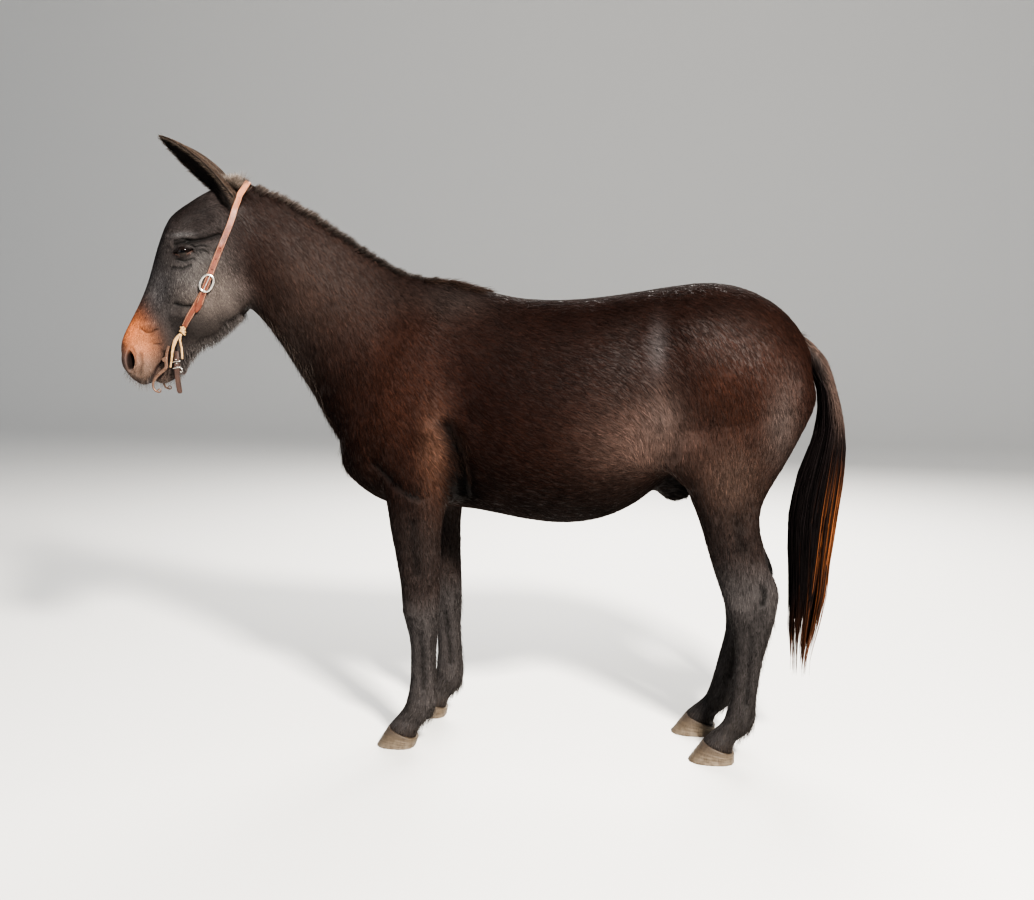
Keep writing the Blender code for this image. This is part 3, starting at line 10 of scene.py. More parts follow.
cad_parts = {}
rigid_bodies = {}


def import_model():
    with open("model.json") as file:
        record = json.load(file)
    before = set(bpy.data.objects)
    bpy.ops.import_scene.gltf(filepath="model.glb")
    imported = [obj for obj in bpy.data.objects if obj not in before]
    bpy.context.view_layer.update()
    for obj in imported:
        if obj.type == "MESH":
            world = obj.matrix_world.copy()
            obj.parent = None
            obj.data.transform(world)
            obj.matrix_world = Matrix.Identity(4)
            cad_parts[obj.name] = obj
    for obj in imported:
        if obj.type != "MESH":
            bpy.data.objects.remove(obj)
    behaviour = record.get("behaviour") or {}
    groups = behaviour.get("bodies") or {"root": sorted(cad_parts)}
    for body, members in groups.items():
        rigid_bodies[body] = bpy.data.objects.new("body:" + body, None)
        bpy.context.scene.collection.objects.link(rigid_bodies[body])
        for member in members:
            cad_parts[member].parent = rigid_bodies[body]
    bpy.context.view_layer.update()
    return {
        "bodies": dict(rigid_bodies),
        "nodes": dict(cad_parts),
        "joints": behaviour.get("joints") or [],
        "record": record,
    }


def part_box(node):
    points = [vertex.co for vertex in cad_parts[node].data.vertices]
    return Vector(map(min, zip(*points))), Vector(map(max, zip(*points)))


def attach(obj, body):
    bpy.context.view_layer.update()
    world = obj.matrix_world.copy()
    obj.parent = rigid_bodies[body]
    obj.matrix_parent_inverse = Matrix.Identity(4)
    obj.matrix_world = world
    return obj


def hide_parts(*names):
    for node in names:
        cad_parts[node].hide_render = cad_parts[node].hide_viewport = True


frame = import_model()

# The mule is shaped with a straight neck, and settle() turns the neck and sets the piece in place.
pose = {
    "neckTurn": math.radians(-11),  # whole turn of the head to the left
    "neckBase": -0.50,  # x where the neck starts to turn
    "neckReach": 0.60,
    "hoofToe": -0.615,  # x of the near front toe before the model is centred
    "hoofMiddle": -0.146,
}
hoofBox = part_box("hoof_front_left")
shift = np.array((hoofBox[0][0] - pose["hoofToe"], (hoofBox[0][1] + hoofBox[1][1]) / 2 - pose["hoofMiddle"], 0.0))
sides = {"left": -1, "right": 1}


def say(words):
    print("stage:", words, flush=True)


# small helpers


def refined(rows, steps):  # more rows between, on a smooth curve
    rows = np.array(rows, float)
    padded = np.vstack([2 * rows[0] - rows[1], rows, 2 * rows[-1] - rows[-2]])
    found = []
    for k in range(1, len(padded) - 2):
        a, b, c, d = padded[k - 1 : k + 3]
        for j in range(steps):
            t = j / steps
            curve = 2 * b + (c - a) * t + (2 * a - 5 * b + 4 * c - d) * t**2
            found.append((curve + (3 * b - a - 3 * c + d) * t**3) / 2)
    found.append(rows[-1])
    return np.array(found)


def posed(points):  # where the turned neck carries points of the straight mule
    points = np.array(points, float).reshape(-1, 3)
    steps = np.linspace(0, pose["neckReach"], 61)
    part = steps / pose["neckReach"]
    turn = pose["neckTurn"] * part * part * (3 - 2 * part)
    length = steps[1] - steps[0]
    middle = (turn[1:] + turn[:-1]) / 2
    lineX = np.concatenate([[0], np.cumsum(np.cos(middle)) * length])
    lineY = np.concatenate([[0], np.cumsum(np.sin(middle)) * length])
    along = np.maximum(pose["neckBase"] - points[:, 0], 0)
    beyond = np.maximum(along - pose["neckReach"], 0)
    angle = np.interp(along, steps, turn)
    centreX = np.interp(along, steps, lineX) + beyond * math.cos(pose["neckTurn"])
    centreY = np.interp(along, steps, lineY) + beyond * math.sin(pose["neckTurn"])
    behind = points[:, 0] > pose["neckBase"]
    x = np.where(behind, points[:, 0], pose["neckBase"] - centreX + points[:, 1] * np.sin(angle))
    y = np.where(behind, points[:, 1], centreY + points[:, 1] * np.cos(angle))
    return np.column_stack([x, y, points[:, 2]])


def pathDistance(points, path):  # distance of each point to a line of straight pieces
    best = np.full(len(points), np.inf)
    for start, end in zip(path, path[1:]):
        start, step = np.array(start), np.array(end) - np.array(start)
        part = np.clip((points - start) @ step / (step @ step), 0, 1)
        best = np.minimum(best, np.linalg.norm(points - start - part[:, None] * step, axis=1))
    return best


def ramp(values, low, high):  # 0 at low, 1 at high, smooth between
    t = np.clip((values - low) / (high - low), 0, 1)
    return t * t * (3 - 2 * t)


def blob(points, centre, radii):  # 1 at the centre, fading to 0 at about the radii
    far = (points - np.array(centre)) / np.array(radii)
    return np.exp(-2 * (far**2).sum(axis=1))


def unit(vectors):
    return vectors / np.maximum(np.linalg.norm(vectors, axis=1), 1e-9)[:, None]


def mirrored(point, side):
    return (point[0], side * point[1], point[2])


def deselect():
    for obj in bpy.context.selected_objects:
        obj.select_set(False)


def choose(obj):
    deselect()
    obj.select_set(True)
    bpy.context.view_layer.objects.active = obj
    return obj


def newObject(name, vertices, faces):
    mesh = bpy.data.meshes.new(name)
    mesh.from_pydata([tuple(v) for v in vertices], [], [tuple(f) for f in faces])
    obj = bpy.data.objects.new(name, mesh)
    bpy.context.scene.collection.objects.link(obj)
    return obj


def applyAll(obj):
    choose(obj)
    for modifier in list(obj.modifiers):
        bpy.ops.object.modifier_apply(modifier=modifier.name)
    return obj


def getPoints(obj):
    points = np.empty(len(obj.data.vertices) * 3)
    obj.data.vertices.foreach_get("co", points)
    return points.reshape(-1, 3)


def setPoints(obj, points):
    obj.data.vertices.foreach_set("co", np.ascontiguousarray(points).ravel())
    obj.data.update()


def getNormals(obj):
    normals = np.empty(len(obj.data.vertices) * 3)
    obj.data.vertices.foreach_get("normal", normals)
    return normals.reshape(-1, 3)


def settle(obj):  # from the straight mule to the model's own frame
    setPoints(obj, posed(getPoints(obj)) + shift)
    return obj


def paint(obj, name, colours):  # one row for each vertex: a colour, and its shine if there is a fourth value
    layer = obj.data.color_attributes.new(name, "FLOAT_COLOR", "POINT")
    rows = np.full((len(colours), 4), 0.3, np.float32)
    rows[:, : colours.shape[1]] = colours
    layer.data.foreach_set("color", rows.ravel())


def loft(name, rings, closeEnds=True):  # one closed skin through rings of equally many points
    rings = np.array(rings, float)
    count, around = rings.shape[:2]
    faces = []
    for i in range(count - 1):
        for j in range(around):
            k = (j + 1) % around
            faces.append((i * around + j, i * around + k, (i + 1) * around + k, (i + 1) * around + j))
    if closeEnds:
        faces.append(tuple(range(around))[::-1])
        faces.append(tuple((count - 1) * around + j for j in range(around)))
    obj = newObject(name, rings.reshape(-1, 3), faces)
    turnOut(obj)
    return obj


def turnOut(obj):  # faces point outwards
    bm = bmesh.new()
    bm.from_mesh(obj.data)
    bmesh.ops.recalc_face_normals(bm, faces=bm.faces)
    if bm.calc_volume(signed=True) < 0:
        bmesh.ops.reverse_faces(bm, faces=bm.faces)
    bm.to_mesh(obj.data)
    bm.free()


def section(row, count):  # ring of a flesh section: two half super-ellipses on one widest line
    frontX, frontZ, backX, backZ, half, widest, frontPower, backPower, y = row
    points = []
    for i in range(count):
        across, up = math.cos(math.tau * i / count), math.sin(math.tau * i / count)
        power = frontPower if up >= 0 else backPower
        reach = 1 - widest if up >= 0 else widest
        t = widest + math.copysign(reach * abs(up) ** (2 / power), up)
        wide = math.copysign(half * abs(across) ** (2 / power), across)
        points.append((backX + (frontX - backX) * t, y + wide, backZ + (frontZ - backZ) * t))
    return points


def joinAll(pieces, name):
    deselect()
    for piece in pieces:
        piece.select_set(True)
    bpy.context.view_layer.objects.active = pieces[0]
    bpy.ops.object.join()
    pieces[0].name = pieces[0].data.name = name
    return pieces[0]


# Finishes


def put(tree, kind, inputs=(), **settings):  # a node with its sockets set or linked
    node = tree.nodes.new("ShaderNode" + kind)
    for name, value in settings.items():
        setattr(node, name, value)
    for name, value in dict(inputs).items():
        socket = node.inputs[name]
        if isinstance(value, bpy.types.NodeSocket):
            tree.links.new(value, socket)
        else:
            socket.default_value = value
    return node


def blend(tree, share, first, second, way="MIX"):  # two colours into one
    node = put(tree, "Mix", data_type="RGBA", blend_type=way)
    for index, value in ((0, share), (6, first), (7, second)):
        if isinstance(value, bpy.types.NodeSocket):
            tree.links.new(value, node.inputs[index])
        else:
            node.inputs[index].default_value = value if index == 0 else (*value, 1)
    return node.outputs[2]


def sums(tree, way, a, b=0.0, clamp=False):
    return put(tree, "Math", {0: a, 1: b}, operation=way, use_clamp=clamp).outputs[0]


def spread(tree, value, low, high, first=0.0, last=1.0):  # a value drawn out between two limits
    sockets = {"Value": value, "From Min": low, "From Max": high, "To Min": first, "To Max": last}
    return put(tree, "MapRange", sockets).outputs[0]


def newGroup(name, inputs, outputs):
    group = bpy.data.node_groups.new(name, "ShaderNodeTree")
    for socketName, kind, value in inputs:
        socket = group.interface.new_socket(socketName, in_out="INPUT", socket_type="NodeSocket" + kind)
        if value is not None:
            socket.default_value = value
    for socketName, kind in outputs:
        group.interface.new_socket(socketName, in_out="OUTPUT", socket_type="NodeSocket" + kind)
    start = group.nodes.new("NodeGroupInput")
    end = group.nodes.new("NodeGroupOutput")
    return group, start.outputs, end.inputs


def make(group, output, end, value):
    group.links.new(value, end[output])


def groupStreaks():  # fine lines that run along one axis, as in hair, horn and drawn metal
    group, into, out = newGroup(
        "fineStreaks",
        (("Vector", "Vector", None), ("Scale", "Float", 200.0), ("Stretch", "Vector", (1, 1, 0.1)), ("Low", "Float", 0.35), ("High", "Float", 0.65)),
        (("Mask", "Float"), ("Height", "Float")),
    )
    drawn = put(group, "VectorMath", {0: into["Vector"], 1: into["Stretch"]}, operation="MULTIPLY").outputs[0]
    noise = put(group, "TexNoise", {"Vector": drawn, "Scale": into["Scale"], "Detail": 4.0, "Roughness": 0.6})
    make(group, "Mask", out, spread(group, noise.outputs[0], into["Low"], into["High"]))
    make(group, "Height", out, noise.outputs[0])
    return group


def groupDust():  # pale dust that thins out upwards from the floor
    group, into, out = newGroup(
        "dustFromFloor",
        (("Colour", "Color", (0.1, 0.1, 0.1, 1)), ("Dust", "Color", (0.36, 0.31, 0.25, 1)), ("Height", "Float", 0.05), ("Amount", "Float", 0.5)),
        (("Colour", "Color"), ("Mask", "Float")),
    )
    spot = put(group, "TexCoord").outputs["Object"]
    height = put(group, "SeparateXYZ", {0: spot}).outputs[2]
    noise = put(group, "TexNoise", {"Vector": spot, "Scale": 60.0, "Detail": 5.0})
    fade = put(group, "MapRange", {"Value": height, "From Min": 0.0, "From Max": into["Height"], "To Min": 1.0, "To Max": 0.0}).outputs[0]
    speck = spread(group, noise.outputs[0], 0.36, 0.64)
    mask = sums(group, "MULTIPLY", sums(group, "MULTIPLY", fade, speck), into["Amount"], clamp=True)
    make(group, "Colour", out, blend(group, mask, into["Colour"], into["Dust"]))
    make(group, "Mask", out, mask)
    return group


def groupGrain():  # pores and creases of leather and skin
    group, into, out = newGroup(
        "leatherGrain",
        (("Scale", "Float", 900.0), ("Creases", "Float", 0.5), ("Colour", "Color", (0.3, 0.1, 0.04, 1)), ("Deep", "Color", (0.1, 0.03, 0.015, 1))),
        (("Colour", "Color"), ("Height", "Float"), ("Mask", "Float")),
    )
    spot = put(group, "TexCoord").outputs["Object"]
    cells = put(group, "TexVoronoi", {"Vector": spot, "Scale": into["Scale"], "Randomness": 1.0}, feature="DISTANCE_TO_EDGE")
    pores = spread(group, cells.outputs["Distance"], 0.0, 0.22)
    folds = put(group, "TexNoise", {"Vector": spot, "Scale": 130.0, "Detail": 6.0, "Roughness": 0.65})
    crease = sums(group, "MULTIPLY", spread(group, folds.outputs[0], 0.40, 0.60), into["Creases"])
    height = sums(group, "ADD", sums(group, "MULTIPLY", pores, 0.5), crease)
    blot = put(group, "TexNoise", {"Vector": spot, "Scale": 45.0, "Detail": 5.0, "Roughness": 0.6})
    dark = sums(group, "MULTIPLY", spread(group, blot.outputs[0], 0.44, 0.66), 0.65)
    both = sums(group, "MAXIMUM", dark, sums(group, "MULTIPLY", sums(group, "SUBTRACT", 1.0, pores), 0.45), clamp=True)
    make(group, "Colour", out, blend(group, both, into["Colour"], into["Deep"]))
    make(group, "Height", out, height)
    make(group, "Mask", out, both)
    return group


groups = {"streaks": groupStreaks(), "dust": groupDust(), "grain": groupGrain()}
finishes = {}


def newFinish(name, **sockets):
    material = bpy.data.materials.new(name)
    material.use_nodes = True
    tree = material.node_tree
    shader = tree.nodes["Principled BSDF"]
    for socket, value in sockets.items():
        shader.inputs[socket.replace("_", " ")].default_value = value
    finishes[name] = material
    return tree, shader


def place(tree, group, inputs=()):
    node = tree.nodes.new("ShaderNodeGroup")
    node.node_tree = groups[group]
    for name, value in dict(inputs).items():
        if isinstance(value, bpy.types.NodeSocket):
            tree.links.new(value, node.inputs[name])
        else:
            node.inputs[name].default_value = value
    return node.outputs


def bump(tree, shader, height, strength, distance):
    node = put(tree, "Bump", {"Height": height, "Strength": strength, "Distance": distance})
    tree.links.new(node.outputs[0], shader.inputs["Normal"])


def finishCoat():  # hair, coloured by the markings and their painted sheen and shade
    tree, shader = newFinish("coat", Roughness=0.50, Specular_IOR_Level=0.09)
    spot = put(tree, "TexCoord").outputs["Object"]
    tone = put(tree, "Attribute", attribute_name="coatColour").outputs["Color"]
    lines = place(tree, "streaks", {"Vector": spot, "Scale": 420.0, "Stretch": (1.0, 1.0, 0.35), "Low": 0.30, "High": 0.70})
    tone = blend(tree, 0.5, tone, blend(tree, lines["Mask"], (0.55, 0.55, 0.55), (1.35, 1.30, 1.28)), "MULTIPLY")
    dusty = place(tree, "dust", {"Colour": tone, "Height": 0.30, "Amount": 0.12, "Dust": (0.13, 0.11, 0.09, 1)})
    tree.links.new(dusty["Colour"], shader.inputs["Base Color"])
    dull = spread(tree, put(tree, "Attribute", attribute_name="coatColour").outputs["Alpha"], 0.0, 1.0, 0.66, 0.27)
    tree.links.new(sums(tree, "ADD", dull, spread(tree, lines["Height"], 0.3, 0.7, -0.04, 0.08)), shader.inputs["Roughness"])
    bump(tree, shader, lines["Height"], 0.25, 0.0006)


def finishSkin():  # under the coat, and bare at the lips, lids and nostrils
    tree, shader = newFinish("skin", Roughness=0.5, Specular_IOR_Level=0.16)
    spot = put(tree, "TexCoord").outputs["Object"]
    tone = put(tree, "Attribute", attribute_name="coatColour").outputs["Color"]
    lines = place(tree, "streaks", {"Vector": spot, "Scale": 520.0, "Stretch": (1.0, 1.0, 0.40), "Low": 0.32, "High": 0.68})
    pores = place(tree, "grain", {"Scale": 1500.0, "Creases": 0.4})
    tone = blend(tree, 0.55, tone, blend(tree, lines["Mask"], (0.5, 0.5, 0.5), (1.3, 1.28, 1.26)), "MULTIPLY")
    tree.links.new(tone, shader.inputs["Base Color"])
    height = sums(tree, "ADD", lines["Height"], sums(tree, "MULTIPLY", pores["Height"], 0.35))
    tree.links.new(spread(tree, height, 0.3, 1.1, 0.42, 0.58), shader.inputs["Roughness"])
    bump(tree, shader, height, 0.45, 0.0010)


def finishEye():
    tree, shader = newFinish("eye", Roughness=0.12, Specular_IOR_Level=0.2, Coat_Weight=0.45, Coat_Roughness=0.02, Coat_IOR=1.35)
    look = put(tree, "Attribute", attribute_name="look")
    parts = put(tree, "SeparateXYZ", {0: look.outputs["Vector"]}).outputs
    wide = sums(tree, "DIVIDE", parts[0], 0.34)
    tall = sums(tree, "DIVIDE", parts[1], 0.15)
    power = sums(tree, "ADD", sums(tree, "POWER", sums(tree, "ABSOLUTE", wide), 2.6), sums(tree, "POWER", sums(tree, "ABSOLUTE", tall), 2.2))
    pupil = spread(tree, power, 0.8, 1.25, 1.0, 0.0)
    angle = put(tree, "Math", {0: parts[1], 1: parts[0]}, operation="ARCTAN2").outputs[0]
    rays = put(tree, "CombineXYZ", {0: sums(tree, "MULTIPLY", angle, 9.0), 1: parts[2], 2: 0.0}).outputs[0]
    fibres = put(tree, "TexNoise", {"Vector": rays, "Scale": 3.5, "Detail": 5.0, "Roughness": 0.7}).outputs[0]
    iris = blend(tree, spread(tree, fibres, 0.35, 0.68), (0.004, 0.0025, 0.002), (0.014, 0.007, 0.004))
    edge = spread(tree, parts[2], 0.58, 0.68)
    white = blend(tree, spread(tree, fibres, 0.4, 0.7), (0.007, 0.0045, 0.004), (0.014, 0.0085, 0.007))
    colour = blend(tree, edge, blend(tree, pupil, iris, (0.0015, 0.0015, 0.002)), white)
    tree.links.new(colour, shader.inputs["Base Color"])
    tree.links.new(spread(tree, fibres, 0.3, 0.7, 0.06, 0.16), shader.inputs["Roughness"])


def finishHorn():
    tree, shader = newFinish("horn", Roughness=0.55, Specular_IOR_Level=0.35)
    spot = put(tree, "TexCoord").outputs["Object"]
    height = put(tree, "SeparateXYZ", {0: spot}).outputs[2]
    fibres = place(tree, "streaks", {"Vector": spot, "Scale": 420.0, "Stretch": (1.0, 1.0, 0.07), "Low": 0.34, "High": 0.66})
    rings = place(tree, "streaks", {"Vector": spot, "Scale": 60.0, "Stretch": (0.10, 0.10, 4.2), "Low": 0.40, "High": 0.60})
    tone = blend(tree, fibres["Mask"], (0.038, 0.027, 0.018), (0.096, 0.070, 0.046))
    tone = blend(tree, sums(tree, "MULTIPLY", rings["Mask"], 0.45), tone, (0.122, 0.092, 0.062))
    top = spread(tree, sums(tree, "ADD", height, sums(tree, "MULTIPLY", rings["Height"], 0.012)), 0.030, 0.066)
    tone = blend(tree, sums(tree, "MULTIPLY", top, 0.75), tone, (0.035, 0.026, 0.021))
    dusty = place(tree, "dust", {"Colour": tone, "Height": 0.034, "Amount": 0.80, "Dust": (0.162, 0.130, 0.096, 1)})
    tree.links.new(dusty["Colour"], shader.inputs["Base Color"])
    tree.links.new(spread(tree, fibres["Height"], 0.3, 0.7, 0.45, 0.70), shader.inputs["Roughness"])
    bump(tree, shader, sums(tree, "ADD", fibres["Height"], rings["Height"]), 0.5, 0.0009)


def leatherFinish(name, colour, deep, pale, rough, scale):
    tree, shader = newFinish(name, Roughness=rough, Specular_IOR_Level=0.5)
    spot = put(tree, "TexCoord").outputs["Object"]
    height = put(tree, "SeparateXYZ", {0: spot}).outputs[2]
    grain = place(tree, "grain", {"Scale": scale, "Creases": 0.5, "Colour": (*colour, 1), "Deep": (*deep, 1)})
    way = put(tree, "UVMap", uv_map="strapWay").outputs[0]
    across = sums(tree, "ABSOLUTE", put(tree, "SeparateXYZ", {0: way}).outputs[1])
    wear = put(tree, "TexNoise", {"Vector": spot, "Scale": 210.0, "Detail": 4.0}).outputs[0]
    edge = sums(tree, "MULTIPLY", spread(tree, across, 0.84, 1.0), spread(tree, wear, 0.35, 0.6))
    tone = blend(tree, sums(tree, "MULTIPLY", edge, 0.75), grain["Colour"], deep)
    groove = sums(tree, "SUBTRACT", 1.0, spread(tree, sums(tree, "ABSOLUTE", sums(tree, "SUBTRACT", across, 0.78)), 0.0, 0.06))
    tone = blend(tree, sums(tree, "MULTIPLY", groove, 0.6), tone, deep)
    # the pale top of the straps is painted highlight
    paintedTopHighlight = sums(tree, "MULTIPLY", spread(tree, height, 1.60, 1.73), 0.78)
    tone = blend(tree, paintedTopHighlight, tone, pale)
    tree.links.new(tone, shader.inputs["Base Color"])
    tree.links.new(spread(tree, grain["Height"], 0.1, 0.9, rough - 0.10, rough + 0.14), shader.inputs["Roughness"])
    bump(tree, shader, sums(tree, "ADD", grain["Height"], sums(tree, "MULTIPLY", wear, 0.5)), 0.35, 0.0005)


def metalFinish(name, bright, dull, metallic, rough):
    tree, shader = newFinish(name, Roughness=rough, Metallic=metallic)
    spot = put(tree, "TexCoord").outputs["Object"]
    lines = place(tree, "streaks", {"Vector": spot, "Scale": 900.0, "Stretch": (1.0, 0.3, 0.25), "Low": 0.38, "High": 0.66})
    stain = put(tree, "TexNoise", {"Vector": spot, "Scale": 160.0, "Detail": 6.0, "Roughness": 0.65}).outputs[0]
    share = sums(tree, "MULTIPLY", spread(tree, stain, 0.44, 0.66), 0.8)
    tone = blend(tree, share, blend(tree, lines["Mask"], bright, [c * 0.8 for c in bright]), dull)
    tree.links.new(tone, shader.inputs["Base Color"])
    tree.links.new(spread(tree, stain, 0.35, 0.7, rough - 0.08, rough + 0.22), shader.inputs["Roughness"])
    bump(tree, shader, sums(tree, "ADD", lines["Height"], stain), 0.18, 0.0003)


def fibreFinish(name, first, second, rough, scale, stretch, strength):
    tree, shader = newFinish(name, Roughness=rough, Specular_IOR_Level=0.35)
    spot = put(tree, "TexCoord").outputs["Object"]
    lines = place(tree, "streaks", {"Vector": spot, "Scale": scale, "Stretch": stretch, "Low": 0.34, "High": 0.68})
    blot = put(tree, "TexNoise", {"Vector": spot, "Scale": 120.0, "Detail": 4.0}).outputs[0]
    tone = blend(tree, lines["Mask"], first, second)
    tone = blend(tree, sums(tree, "MULTIPLY", spread(tree, blot, 0.50, 0.68), 0.5), tone, [c * 0.5 for c in first])
    tree.links.new(tone, shader.inputs["Base Color"])
    tree.links.new(spread(tree, lines["Height"], 0.3, 0.7, rough - 0.08, rough + 0.10), shader.inputs["Roughness"])
    bump(tree, shader, lines["Height"], strength, 0.0006)


finishCoat()
finishSkin()
finishEye()
finishHorn()
leatherFinish("leather", (0.150, 0.040, 0.019), (0.036, 0.010, 0.006), (0.44, 0.20, 0.115), 0.40, 1100.0)
leatherFinish("darkLeather", (0.050, 0.024, 0.016), (0.018, 0.010, 0.008), (0.05, 0.03, 0.02), 0.40, 1100.0)
metalFinish("silver", (0.72, 0.69, 0.63), (0.30, 0.25, 0.20), 1.0, 0.28)
metalFinish("bronze", (0.21, 0.128, 0.092), (0.075, 0.040, 0.028), 0.80, 0.42)
fibreFinish("rawhide", (0.27, 0.155, 0.066), (0.52, 0.345, 0.175), 0.50, 500.0, (1.0, 1.0, 0.22), 0.6)
fibreFinish("thread", (0.42, 0.26, 0.15), (0.66, 0.46, 0.30), 0.65, 1500.0, (1.0, 1.0, 1.0), 0.5)


